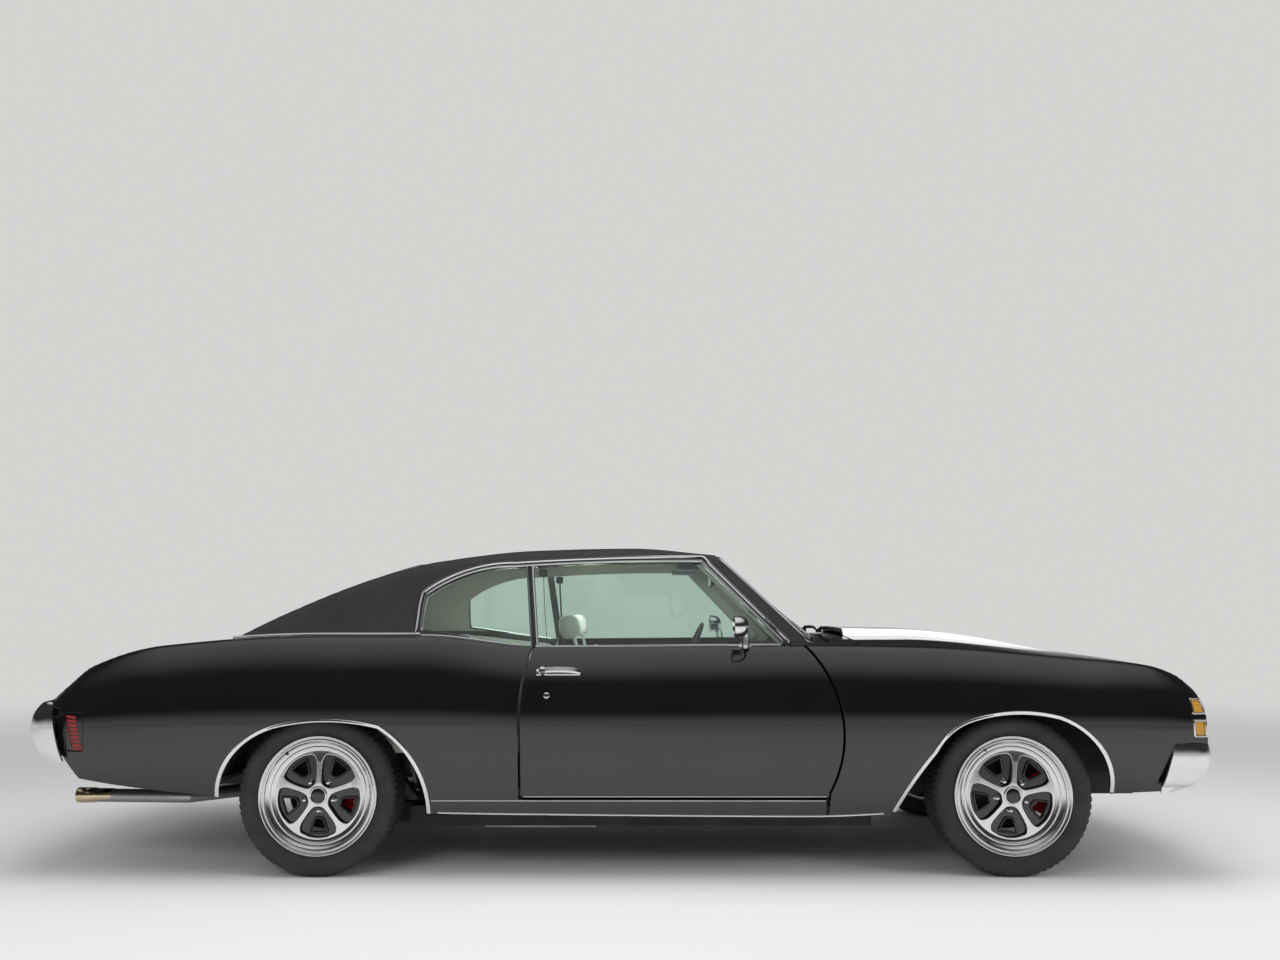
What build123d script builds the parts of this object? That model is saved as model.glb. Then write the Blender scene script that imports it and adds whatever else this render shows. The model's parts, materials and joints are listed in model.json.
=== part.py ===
"""Two-door hardtop muscle car, built panel by panel around a perimeter frame.

Millimetres. +X points to the front of the car, +Y to its left side and +Z up. The origin lies on
the ground, midway between the bumper tips and on the centre plane. Pairs are made on the left
and mirrored. A block's x, y and z are each a (from, to) pair.
"""

import math
import os
from collections import namedtuple

from build123d import *

# ---------------------------------------------------------------- driving dimensions
overall_length = 5016
front_overhang = 900
wheelbase = 2845
track = 1525
clear = 0.3  # between pieces that rest against each other
panel_gap = 6  # around the lids
hood_nose_gap = 12  # ahead of the hood, which swings up from its rear edge
door_gap = 9  # around the doors
skin = 20  # body panel with its inner stamping
ledge = 14  # gutter flange under a lid's edge
gutter_reach = 24  # how far the gutter runs to each side of the lid's edge

front_tip_x = overall_length / 2
rear_tip_x = -overall_length / 2
front_axle_x = front_tip_x - front_overhang
rear_axle_x = front_axle_x - wheelbase
wheel_y = track / 2

# Body shell, one row per cross-section from tail to nose. Each half section runs from its bottom
# edge (low) out to the widest point (wide), in to the shoulder (edge) and over to the centre.
Section = namedtuple("Section", "x low_z low_y wide_z wide_y edge_z edge_y crown_z")
BODY_SECTIONS = [
    Section(rear_tip_x + 108, 425, 790, 600, 862, 668, 805, 700),
    Section(rear_tip_x + 188, 405, 810, 605, 888, 742, 806, 776),
    Section(rear_tip_x + 283, 385, 825, 610, 907, 819, 808, 850),
    Section(rear_tip_x + 588, 345, 850, 620, 938, 906, 828, 938),
    Section(-1250, 285, 868, 630, 955, 946, 850, 982),
    Section(-820, 252, 866, 625, 950, 946, 848, 985),
    Section(-350, 244, 864, 620, 946, 902, 843, 950),
    Section(780, 236, 864, 620, 947, 908, 846, 972),
    Section(1250, 258, 866, 625, 955, 902, 852, 972),
    Section(front_tip_x - 608, 325, 862, 620, 950, 855, 852, 904),
    Section(front_tip_x - 308, 338, 850, 615, 930, 825, 846, 866),
    Section(front_tip_x - 188, 342, 842, 610, 918, 785, 838, 830),
    Section(front_tip_x - 108, 345, 835, 600, 905, 725, 828, 774),
]
shoulder_width = 42  # rounded corner between body side and top
shoulder_rise = 26
tail_top = (rear_tip_x + 104, 700)  # slanted tail plane, in side view
tail_foot = (rear_tip_x + 272, 380)

# Greenhouse, one row per cross-section from tail to nose: roof rail height and centre height.
RoofSection = namedtuple("RoofSection", "x rail_z crown_z")
ROOF_SECTIONS = [
    RoofSection(-1625, 950, 996),
    RoofSection(-1450, 1022, 1066),
    RoofSection(-1100, 1172, 1216),
    RoofSection(-800, 1256, 1314),
    RoofSection(-400, 1300, 1364),
    RoofSection(50, 1308, 1376),
    RoofSection(430, 1284, 1338),
    RoofSection(900, 1230, 1284),
]
roof_foot_z = 880
belt_z = 930
belt_y = 800  # half width of the greenhouse at the belt
tumblehome = 0.54  # how far the side leans in for each unit of height
rail_width = 75  # rounded roof rail
rail_rise = 38
roof_skin = 34

# Windshield, as horizontal arcs: height, x at the centre, x and y at the corner.
GlassArc = namedtuple("GlassArc", "z centre_x corner_x corner_y")
WINDSHIELD_LOW = GlassArc(960, 910, 795, 725)
WINDSHIELD_HIGH = GlassArc(1312, 452, 425, 575)
glass_thickness = 6
glass_inset = 8  # glass surface below the surrounding panel
windshield_top_z = 1300
rear_glass_front = (-900, 500)  # x and half width of the rear window's upper edge
rear_glass_back = (-1548, 598)

# ---------------------------------------------------------------- panel lines
door_bottom_z = 318
door_rear_x = -408
door_front_foot = (841, door_bottom_z)
door_front_belly = (907, 610)
door_front_head = (768, 935)
door_rear_bend = (door_rear_x, 560)
door_rear_mid = (-400, 780)
door_rear_head = (-367, 925)
door_inner_y = 772  # inner face of the door
door_rear_slant = 35  # how much shorter the door is inside than outside
door_top_z = 1000
pillar_foot_x = (690, 762)  # windshield pillar's foot, inboard of the door
pillar_foot_z = 908
door_hinge_x = 855
door_hinge_y = 912
door_hinge_z = (430, 700)
door_swing_radius = 66  # room behind the fender's rear edge for the door's front edge
fender_lip = 5
hinge_pillar_x = 922  # clear of the door's swing
sill_y = 720  # inner face of the rocker
sill_front_x = door_front_foot[0]
sill_rear_x = -790
hood_rear_x = 1010
hood_front_x = front_tip_x - 156
hood_rear_y = 762
hood_front_y = 742
bulge_width = 290  # half width of the raised centre of the hood
bulge_slope = 50
deck_front_x = -1650
deck_rear_x = rear_tip_x + 138
deck_front_y = 690
deck_rear_y = 640
cabin_y = 742  # half width of the opening under the greenhouse
cabin_rear_x = -1590
cowl_front_x = hood_rear_x - panel_gap
# Raised centre of the hood: x, height of the hood's middle there, height of the bulge above it.
BULGE_SECTIONS = [(hood_rear_x + panel_gap / 2, 972, 32), (2150, 870, 0)]

# Side windows in side view: quarter window, upper edge and front pillar line.
window_rear_foot = (-848, 1002)
window_rear_head = (-840, 1150)
window_bend = (-458, 1273)
window_top_rear = (-700, 1229)
window_top_mid = (-60, 1292)
window_top_front = (350, 1295)
window_front_foot = (689, 945)
quarter_window_front = (door_rear_x, 934)
glass_split_top = (-395, 1285)  # line between door glass and quarter glass
glass_split_foot = (-352, 925)
glass_gap = 6

# Wheel arches in side view, from the axle: x offset and height of each arc's middle and end.
REAR_ARCH_START = (-403, 200)
REAR_ARCH = [((-328, 505), (-169, 606)), ((47, 632), (255, 606)), ((380, 491), (447, 200))]
FRONT_ARCH_START = (-523, 180)
FRONT_ARCH = [
    ((-430, 365), (-328, 508)),
    ((-268, 583), (-168, 636)),
    ((32, 662), (177, 642)),
    ((320, 545), (362, 180)),
]

# ---------------------------------------------------------------- wheels, axles and steering
tyre_radius = 325
tyre_width = 245
tread_width = 214
rim_width = 226
rim_radius = 243
bead_radius = 226
barrel_wall = 12
flange_width = 10
wheel_face = 100  # wheel face outboard of the wheel's middle
hub_radius = 62
hub_bore = 36
web_thickness = 22
spoke_count = 5
spoke_height = 26
disc_radius = 150
disc_thickness = 26
disc_y = wheel_y - 28  # middle of the brake disc
disc_clearance = 6
caliper_radius = 174
caliper_depth = 60
caliper_span = 62  # degrees
axle_z = tyre_radius
kingpin_y = 690
kingpin_radius = 22
arm_end = 24
arm_low_z = (196, 224)  # lower control arm
arm_high_z = (440, 458)
steering_arm = (-125, 0)  # from the kingpin to the tie rod's eye
steering_arm_z = (238, 256)
tie_rod_radius = 9
tie_rod_eye = 20
tie_rod_z = 226
tie_rod_pin = 8
tie_rod_eye_height = 11.5  # half

# ---------------------------------------------------------------- chassis and cabin
rail_z = (165, 248)
floor_z = 250
floor_thickness = 14
rear_floor_z = 380
axle_floor_z = 470
trunk_floor_z = 400
kick_x = -640  # step up to the rear seat
axle_kick_x = -980
trunk_x = -1640
firewall_x = (985, 1000)
kick_y = 715  # inner face of the kick panels
tunnel_y = 160
tunnel_z = 420
sheet = 12
wheelhouse_radius = 402
wheelhouse_y = (600, 900)
front_rail_y = (350, 430)
front_rail_z = (272, 366)
side_rail_y = (545, 622)
rear_rail_y = (450, 520)
engine_x = (1085, 1720)
engine_y = 290
engine_z = (270, 835)
apron_y = 444
transmission_x = (560, 1084.7)
shaft_radius = 38
axle_tube_radius = 38
differential_radius = 118

exhaust_radius = 28
exhaust_wall = 4
exhaust_z = rail_z[0] - clear - exhaust_radius
EXHAUST_ROUTE = [
    (1180, 250, exhaust_z + 70), (1040, 240, exhaust_z), (-880, 240, exhaust_z),
    (-1080, 300, 402), (-1400, 330, 402), (-1660, 430, 290), (-1860, 600, 285),
    (rear_tip_x + 175, 600, 290),
]
EXHAUST_JOINT = (-800, 240, exhaust_z)  # where the tail pipe meets the front pipe
muffler_x = (-620, -120)
muffler_y = (175, 305)

seat_middle_y = 385
seat_width = 440
dash_y = kick_y - clear
steering_wheel_at = (330, seat_middle_y, 850)
steering_tilt = 24  # column below the horizontal, degrees
steering_wheel_radius = 186

Block = namedtuple("Block", "x y z")

os.makedirs("parts", exist_ok=True)


# ---------------------------------------------------------------- helpers
def block(x, y, z, mode=Mode.ADD):
    """A box between two corners, added to the part being built."""
    with Locations(((x[0] + x[1]) / 2, (y[0] + y[1]) / 2, (z[0] + z[1]) / 2)):
        Box(x[1] - x[0], y[1] - y[0], z[1] - z[0], mode=mode)


def tube(start, end, radius, mode=Mode.ADD):
    """A round bar from one point to another, added to the part being built."""
    axis = Vector(*end) - Vector(*start)
    with BuildSketch(Plane(start, z_dir=axis)) as disc:
        Circle(radius)
    extrude(disc.sketch, amount=axis.length, mode=mode)


def side_prism(outline, y_from, y_to, mode=Mode.ADD):
    """Extrudes a side-view sketch between two widths, in the part being built."""
    extrude(outline.moved(Location((0, y_from, 0))), amount=-(y_to - y_from), mode=mode)


def mirrored(part):
    """The same piece for the other side of the car."""
    return mirror(part, about=Plane.XZ)


def save(name, *shapes):
    """Writes one node, which may hold like pieces that don't touch."""
    pieces = [piece for shape in shapes for piece in shape.solids()]
    node = pieces[0] if len(pieces) == 1 else Compound(children=pieces)
    node.label = name
    export_step(node, f"parts/{name}.step")


# ---------------------------------------------------------------- body and roof volumes
def body_volume(inset=0.0, foot_drop=5.0):
    """Solid inside the body surface, moved in by inset; foot_drop lowers its open bottom."""
    with BuildPart() as volume:
        for s in BODY_SECTIONS:
            with BuildSketch(Plane.YZ.offset(s.x)):
                with BuildLine():
                    low = (s.low_y - inset, s.low_z)
                    wide = (s.wide_y - inset, s.wide_z)
                    edge = (s.edge_y - inset, s.edge_z - inset)
                    top = (edge[0] - shoulder_width, edge[1] + shoulder_rise)
                    foot = (low[0], low[1] - foot_drop)
                    Polyline((-low[0], low[1]), (-foot[0], foot[1]), foot, low)
                    for side in (1, -1):
                        TangentArc(
                            (side * wide[0], wide[1]), (side * low[0], low[1]), tangent=(0, -1)
                        )
                        flank = TangentArc(
                            (side * wide[0], wide[1]), (side * edge[0], edge[1]), tangent=(0, 1)
                        )
                        TangentArc(flank @ 1, (side * top[0], top[1]), tangent=flank % 1)
                    ThreePointArc((-top[0], top[1]), (0, s.crown_z - inset), top)
                make_face()
        loft(ruled=True)
        split(bisect_by=tail_plane(inset), keep=Keep.TOP)
    return volume.part


def tail_plane(inset=0.0):
    """Slanted plane of the tail, moved forward by inset; its normal points forward."""
    along = Vector(tail_foot[0] - tail_top[0], 0, tail_foot[1] - tail_top[1]).normalized()
    normal = Vector(-along.Z, 0, along.X)
    origin = Vector(tail_top[0], 0, tail_top[1]) + normal * inset
    return Plane(origin, x_dir=(0, 1, 0), z_dir=normal)


def roof_side_y(z, inset=0.0):
    """Half width of the greenhouse at a height."""
    return belt_y - (z - belt_z) * tumblehome - inset


def roof_volume(inset=0.0):
    """Solid inside the roof surface, moved in by inset."""
    with BuildPart() as volume:
        for s in ROOF_SECTIONS:
            with BuildSketch(Plane.YZ.offset(s.x)):
                with BuildLine():
                    foot = (roof_side_y(roof_foot_z, inset), roof_foot_z)
                    rail = (roof_side_y(s.rail_z, inset), s.rail_z - inset)
                    top = (rail[0] - rail_width, rail[1] + rail_rise)
                    Line((-foot[0], foot[1]), foot)
                    for side in (1, -1):
                        flank = Line((side * foot[0], foot[1]), (side * rail[0], rail[1]))
                        TangentArc(flank @ 1, (side * top[0], top[1]), tangent=flank % 1)
                    ThreePointArc((-top[0], top[1]), (0, s.crown_z - inset), top)
                make_face()
        loft(ruled=True)
    return volume.part


def windshield_zone(inset=0.0):
    """All that lies behind the windshield's surface, moved back by inset."""
    half_width = 900
    with BuildPart() as zone:
        for z in (roof_foot_z - 10, windshield_top_z + 80):
            share = (z - WINDSHIELD_LOW.z) / (WINDSHIELD_HIGH.z - WINDSHIELD_LOW.z)
            arc = [a + (b - a) * share for a, b in zip(WINDSHIELD_LOW, WINDSHIELD_HIGH)]
            centre_x = arc[1] - inset
            side_x = centre_x - (arc[1] - arc[2]) * (half_width / arc[3]) ** 2
            with BuildSketch(Plane.XY.offset(z)):
                with BuildLine():
                    ThreePointArc((side_x, -half_width), (centre_x, 0), (side_x, half_width))
                    Polyline(
                        (side_x, half_width),
                        (cabin_rear_x - 200, half_width),
                        (cabin_rear_x - 200, -half_width),
                        (side_x, -half_width),
                    )
                make_face()
        loft(ruled=True)
    return zone.part


def arch_outline(axle_x, start, arcs):
    """Wheel arch in side view, closed below the body."""
    with BuildSketch(Plane.XZ) as outline:
        with BuildLine():
            at = (axle_x + start[0], start[1])
            first = at
            for middle, end in arcs:
                end = (axle_x + end[0], end[1])
                ThreePointArc(at, (axle_x + middle[0], middle[1]), end)
                at = end
            Line(at, first)
        make_face()
    return outline.sketch


def door_outline(grow):
    """Door edge in side view, grown by a margin."""
    with BuildSketch(Plane.XZ) as outline:
        with BuildLine():
            ThreePointArc(door_front_foot, door_front_belly, door_front_head)
            Polyline(
                door_front_head,
                (door_front_head[0], door_top_z),
                (door_rear_head[0], door_top_z),
                door_rear_head,
            )
            ThreePointArc(door_rear_head, door_rear_mid, door_rear_bend)
            Polyline(door_rear_bend, (door_rear_x, door_bottom_z), door_front_foot)
        make_face()
        offset(amount=grow)
    return outline.sketch


def lid_prism(front_x, front_y, rear_x, rear_y, grow, z):
    """Region of a lid, from its plan view, grown by a margin."""
    with BuildPart() as prism:
        with BuildSketch(Plane.XY.offset(z[0])):
            with BuildLine():
                Polyline(
                    (front_x + grow, front_y + grow),
                    (front_x + grow, -front_y - grow),
                    (rear_x - grow, -rear_y - grow),
                    (rear_x - grow, rear_y + grow),
                    close=True,
                )
            make_face()
        extrude(amount=z[1] - z[0])
    return prism.part


def hood_prism(grow):
    """Region of the hood, grown by a margin."""
    return lid_prism(hood_front_x, hood_front_y, hood_rear_x, hood_rear_y, grow, (700, 1200))


def deck_prism(grow):
    """Region of the deck lid, grown by a margin."""
    return lid_prism(deck_front_x, deck_front_y, deck_rear_x, deck_rear_y, grow, (690, 1200))


def window_outline():
    """Opening of the side windows in side view, down to the door's top."""
    with BuildSketch(Plane.XZ) as outline:
        with BuildLine():
            Line(window_rear_foot, window_rear_head)
            ThreePointArc(window_rear_head, window_top_rear, window_bend)
            ThreePointArc(window_bend, window_top_mid, window_top_front)
            Polyline(
                window_top_front,
                window_front_foot,
                (window_front_foot[0], roof_foot_z - 10),
                (door_rear_x - door_gap, roof_foot_z - 10),
                quarter_window_front,
                window_rear_foot,
            )
        make_face()
    return outline.sketch


def side_glass(inset, thickness, x):
    """Leaning sheet in the side window's plane."""
    low_z, high_z = roof_foot_z, window_top_mid[1] + 20
    with BuildPart() as sheet_part:
        with BuildSketch(Plane.YZ.offset(x[0])):
            with BuildLine():
                Polyline(
                    (roof_side_y(low_z, inset), low_z),
                    (roof_side_y(high_z, inset), high_z),
                    (roof_side_y(high_z, inset + thickness), high_z),
                    (roof_side_y(low_z, inset + thickness), low_z),
                    close=True,
                )
            make_face()
        extrude(amount=x[1] - x[0])
    return sheet_part.part


body_outer = body_volume()
body_inner = body_volume(skin, 200)
body_seat = body_volume(-clear)
body_lining = body_volume(skin + clear, 200)
gutter_floor = body_volume(skin + ledge, 200)
roof_outer = roof_volume()
wide = 1200  # wider than the car
far = 3000

# ---------------------------------------------------------------- doors
with BuildPart() as door_left:
    add(body_outer)
    side_prism(door_outline(-door_gap / 3), door_inner_y, wide, mode=Mode.INTERSECT)
    with BuildSketch(Plane.XY.offset(door_bottom_z - 50)):
        with BuildLine():
            Polyline(
                (door_rear_x - 20, door_inner_y - 5),
                (door_rear_x + door_gap / 3 + door_rear_slant, door_inner_y - 5),
                (door_rear_x + door_gap / 3, door_inner_y + 180),
                (door_rear_x - 20, door_inner_y + 180),
                close=True,
            )
        make_face()
    extrude(amount=door_top_z, mode=Mode.SUBTRACT)
    block((pillar_foot_x[0] - 12, door_front_belly[0]), (door_inner_y - 5, belt_y + 6),
          (pillar_foot_z - 8, door_top_z), mode=Mode.SUBTRACT)
    add(side_glass(glass_inset - clear, glass_thickness + 2 * clear, (-800, 800)),
        mode=Mode.SUBTRACT)
    for z in door_hinge_z:
        with BuildSketch(Plane.XY.offset(z - 18)):
            with BuildLine():
                Polyline(
                    (door_hinge_x - 14, door_hinge_y + 9),
                    (door_hinge_x + 90, door_hinge_y + 9),
                    (door_hinge_x + 90, door_hinge_y - 160),
                    (door_hinge_x - 14, door_hinge_y - 60),
                    close=True,
                )
            make_face()
        extrude(amount=36, mode=Mode.SUBTRACT)
        tube((door_hinge_x, door_hinge_y, z - 45), (door_hinge_x, door_hinge_y, z + 45),
             6 + clear, mode=Mode.SUBTRACT)

with BuildPart() as door_glass_left:
    add(side_glass(glass_inset, glass_thickness, (-500, 800)))
    side_prism(window_outline(), 0, wide, mode=Mode.INTERSECT)
    with BuildSketch(Plane.XZ):
        with BuildLine():
            Polyline(
                (glass_split_foot[0] + 5, roof_foot_z + 8),
                (glass_split_foot[0] + 5, glass_split_foot[1]),
                (glass_split_top[0] + 4, glass_split_top[1]),
                (window_bend[0] + 120, window_bend[1] + 6),
                (window_top_mid[0], window_top_mid[1] - glass_gap),
                (window_top_front[0] - 5, window_top_front[1] - glass_gap),
                (window_front_foot[0] - 9, window_front_foot[1]),
                (window_front_foot[0] - 9, roof_foot_z + 8),
                close=True,
            )
        make_face()
    extrude(amount=-wide, mode=Mode.INTERSECT)

# ---------------------------------------------------------------- bumpers
# Bumper outline in plan at each height: how far its nose stands back from the bumper's tip.
BumperRow = namedtuple("BumperRow", "z back")
FRONT_BUMPER = [BumperRow(336, 186), BumperRow(360, 74), BumperRow(415, 28), BumperRow(492, 0),
                BumperRow(538, 12)]
REAR_BUMPER = [BumperRow(462, 96), BumperRow(500, 62), BumperRow(560, 22), BumperRow(612, 0),
               BumperRow(668, 22), BumperRow(704, 50)]
bumper_bow = 80  # how far the tip stands ahead of the corners
bumper_corner_y = 850
bumper_corner = 78
bumper_wall = 26
front_bumper_depth = 285
rear_bumper_depth = 225


def bumper_volume(rows, tip_x, depth, inset):
    """Solid behind the bumper's face, moved in by inset, for a bumper facing +X."""
    with BuildPart() as volume:
        for row in rows:
            nose = tip_x - row.back - inset
            back = tip_x - depth - inset
            corner_y = bumper_corner_y - inset / 2
            corner_x = nose - bumper_bow
            side_y = corner_y + bumper_corner - inset / 2
            side_x = max(corner_x - bumper_corner, back + 20)
            with BuildSketch(Plane.XY.offset(row.z)):
                with BuildLine():
                    ThreePointArc((corner_x, -corner_y), (nose, 0), (corner_x, corner_y))
                    mid_x = side_x + (corner_x - side_x) * 0.68
                    mid_y = corner_y + (side_y - corner_y) * 0.68
                    ThreePointArc((corner_x, corner_y), (mid_x, mid_y), (side_x, side_y))
                    ThreePointArc((corner_x, -corner_y), (mid_x, -mid_y), (side_x, -side_y))
                    Polyline((side_x, side_y), (back, side_y), (back, -side_y),
                             (side_x, -side_y))
                make_face()
        loft(ruled=True)
    return volume.part


with BuildPart() as front_bumper:
    add(bumper_volume(FRONT_BUMPER, front_tip_x, front_bumper_depth, 0))
    add(bumper_volume(FRONT_BUMPER, front_tip_x, front_bumper_depth + 60, bumper_wall),
        mode=Mode.SUBTRACT)
with BuildPart() as rear_bumper_forward:
    add(bumper_volume(REAR_BUMPER, front_tip_x, rear_bumper_depth, 0))
    add(bumper_volume(REAR_BUMPER, front_tip_x, rear_bumper_depth + 60, bumper_wall),
        mode=Mode.SUBTRACT)

with BuildPart() as rear_bumper:
    add(mirror(rear_bumper_forward.part, about=Plane.YZ))
with BuildPart() as rear_bumper_room:
    add(bumper_volume(REAR_BUMPER, front_tip_x, rear_bumper_depth, -clear))
    add(bumper_volume(REAR_BUMPER, front_tip_x, rear_bumper_depth + 60, bumper_wall + clear),
        mode=Mode.SUBTRACT)

# ---------------------------------------------------------------- body panels
door_opening = door_outline(door_gap * 2 / 3)
rear_arch = arch_outline(rear_axle_x, REAR_ARCH_START, REAR_ARCH)
front_arch = arch_outline(front_axle_x, FRONT_ARCH_START, FRONT_ARCH)
lamp_pocket_x = (front_tip_x - 172, front_tip_x)
marker_x = (rear_tip_x + 235, rear_tip_x + 315)
marker_z = (505, 660)
lamp_pocket_y = (800, wide)
CORNER_LAMPS_Z = [(562, 636), (654, 722)]  # indicator below, parking lamp above

with BuildPart() as quarter_panels:
    add(body_outer)
    add(body_inner, mode=Mode.SUBTRACT)
    block((-far, door_rear_head[0] + 40), (-wide, wide), (0, far), mode=Mode.INTERSECT)
    add(deck_prism(panel_gap / 2), mode=Mode.SUBTRACT)
    block((cabin_rear_x, far), (-cabin_y, cabin_y), (sill_y, far), mode=Mode.SUBTRACT)
with BuildPart() as deck_gutter:
    add(body_lining)
    add(gutter_floor, mode=Mode.SUBTRACT)
    add(deck_prism(gutter_reach), mode=Mode.INTERSECT)
    add(deck_prism(-gutter_reach), mode=Mode.SUBTRACT)
with BuildPart() as deck_gutter_wall:
    add(body_outer)
    add(gutter_floor, mode=Mode.SUBTRACT)
    add(deck_prism(gutter_reach), mode=Mode.INTERSECT)
    add(deck_prism(panel_gap / 2), mode=Mode.SUBTRACT)
with BuildPart() as rockers:
    add(body_outer)
    block((sill_rear_x - 40, sill_front_x), (-wide, wide), (0, door_bottom_z - panel_gap),
          mode=Mode.INTERSECT)
    block((-far, far), (-sill_y, sill_y), (0, far), mode=Mode.SUBTRACT)
with BuildPart() as quarter_joined:
    add(quarter_panels.part)
    add(deck_gutter.part)
    add(deck_gutter_wall.part)
    add(rockers.part)
    side_prism(door_opening, -wide, wide, mode=Mode.SUBTRACT)
    side_prism(rear_arch, -wide, wide, mode=Mode.SUBTRACT)
    add(mirror(rear_bumper_room.part, about=Plane.YZ), mode=Mode.SUBTRACT)
    for side in (1, -1):
        block(marker_x, sorted((side * 700, side * wide)), marker_z, mode=Mode.SUBTRACT)

with BuildPart() as door_swing:
    for side in (1, -1):
        tube((door_hinge_x, side * door_hinge_y, 0), (door_hinge_x, side * door_hinge_y, 1100),
             door_swing_radius)
    add(body_volume(fender_lip, 200), mode=Mode.INTERSECT)
with BuildPart() as front_fenders:
    add(body_outer)
    add(body_inner, mode=Mode.SUBTRACT)
    block((door_front_head[0] + panel_gap, far), (-wide, wide), (0, far), mode=Mode.INTERSECT)
    block((0, sill_front_x + panel_gap), (-wide, wide), (0, door_bottom_z + panel_gap),
          mode=Mode.SUBTRACT)
    side_prism(door_opening, -wide, wide, mode=Mode.SUBTRACT)
    side_prism(front_arch, -wide, wide, mode=Mode.SUBTRACT)
    add(door_swing.part, mode=Mode.SUBTRACT)
    block((front_tip_x - front_bumper_depth - clear, far), (-wide, wide),
          (0, FRONT_BUMPER[-1].z + clear), mode=Mode.SUBTRACT)
    add(hood_prism(panel_gap / 2), mode=Mode.SUBTRACT)
    block((0, hood_rear_x + panel_gap), (-hood_rear_y - panel_gap, hood_rear_y + panel_gap),
          (sill_y, far), mode=Mode.SUBTRACT)
    for z in CORNER_LAMPS_Z:
        for y in (lamp_pocket_y, (-lamp_pocket_y[1], -lamp_pocket_y[0])):
            block(lamp_pocket_x, y, z, mode=Mode.SUBTRACT)

with BuildPart() as hood_bulge:
    for x, crown_z, rise in BULGE_SECTIONS:
        with BuildSketch(Plane.YZ.offset(x)):
            with BuildLine():
                foot_y = bulge_width + bulge_slope
                Polyline(
                    (-foot_y, crown_z - 12), (-bulge_width, crown_z + rise - 6),
                    (0, crown_z + rise), (bulge_width, crown_z + rise - 6),
                    (foot_y, crown_z - 12), (foot_y, crown_z - 40), (-foot_y, crown_z - 40),
                    close=True,
                )
            make_face()
    loft(ruled=True)
with BuildPart() as hood:
    add(body_outer)
    add(hood_prism(-panel_gap / 2), mode=Mode.INTERSECT)
    add(hood_bulge.part)
    add(body_inner, mode=Mode.SUBTRACT)
    block((hood_front_x + panel_gap / 2 - hood_nose_gap, far), (-wide, wide), (0, far),
          mode=Mode.SUBTRACT)

with BuildPart() as deck_lid:
    add(body_outer)
    add(deck_prism(-panel_gap / 2), mode=Mode.INTERSECT)
    add(body_inner, mode=Mode.SUBTRACT)

with BuildPart() as corner_lamps_left:
    for z in CORNER_LAMPS_Z:
        block((lamp_pocket_x[0] + clear, lamp_pocket_x[1]), (lamp_pocket_y[0] + clear, wide),
              (z[0] + clear, z[1] - clear))
    add(body_outer, mode=Mode.INTERSECT)

# ---------------------------------------------------------------- roof and glass
zone = windshield_zone()
with BuildPart() as pillar_feet:
    add(roof_outer)
    block(pillar_foot_x, (-belt_y, belt_y), (pillar_foot_z, window_front_foot[1] + 15),
          mode=Mode.INTERSECT)
    block((0, far), (-kick_y - 1, kick_y + 1), (0, far), mode=Mode.SUBTRACT)
with BuildPart() as roof:
    add(roof_outer)
    add(roof_volume(roof_skin), mode=Mode.SUBTRACT)
    add(body_seat, mode=Mode.SUBTRACT)
    add(pillar_feet.part)
    add(zone, mode=Mode.INTERSECT)
    side_prism(window_outline(), -wide, wide, mode=Mode.SUBTRACT)
    with BuildSketch(Plane.YZ) as front_window:
        with BuildLine():
            low_y = roof_side_y(belt_z, roof_skin)
            high_y = roof_side_y(windshield_top_z, roof_skin)
            Polyline((-low_y, belt_z), (low_y, belt_z), (high_y, windshield_top_z),
                     (-high_y, windshield_top_z), close=True)
        make_face()
    extrude(amount=far, mode=Mode.SUBTRACT)
    add(lid_prism(rear_glass_front[0], rear_glass_front[1], rear_glass_back[0],
                  rear_glass_back[1], 0, (700, 1400)), mode=Mode.SUBTRACT)

with BuildPart() as windshield:
    add(windshield_zone(glass_inset))
    add(windshield_zone(glass_inset + glass_thickness), mode=Mode.SUBTRACT)
    extrude(offset(front_window.sketch, amount=-clear), amount=far, mode=Mode.INTERSECT)
    add(body_seat, mode=Mode.SUBTRACT)

with BuildPart() as rear_window:
    add(roof_volume(glass_inset))
    add(roof_volume(glass_inset + glass_thickness), mode=Mode.SUBTRACT)
    add(lid_prism(rear_glass_front[0], rear_glass_front[1], rear_glass_back[0],
                  rear_glass_back[1], -clear, (700, 1400)), mode=Mode.INTERSECT)
    add(body_seat, mode=Mode.SUBTRACT)

with BuildPart() as quarter_glass_left:
    add(side_glass(glass_inset, glass_thickness, (-900, -300)))
    extrude(offset(window_outline(), amount=-clear), amount=-wide, mode=Mode.INTERSECT)
    with BuildSketch(Plane.XZ):
        with BuildLine():
            Polyline(
                (glass_split_foot[0] - 4, roof_foot_z),
                (glass_split_foot[0] - 4, glass_split_foot[1]),
                (glass_split_top[0] - 4, glass_split_top[1]),
                (window_rear_head[0] - 40, glass_split_top[1]),
                (window_rear_head[0] - 40, roof_foot_z),
                close=True,
            )
        make_face()
    extrude(amount=-wide, mode=Mode.INTERSECT)
    block((-far, 0), (0, wide), (0, quarter_window_front[1] + 2), mode=Mode.SUBTRACT)

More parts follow.
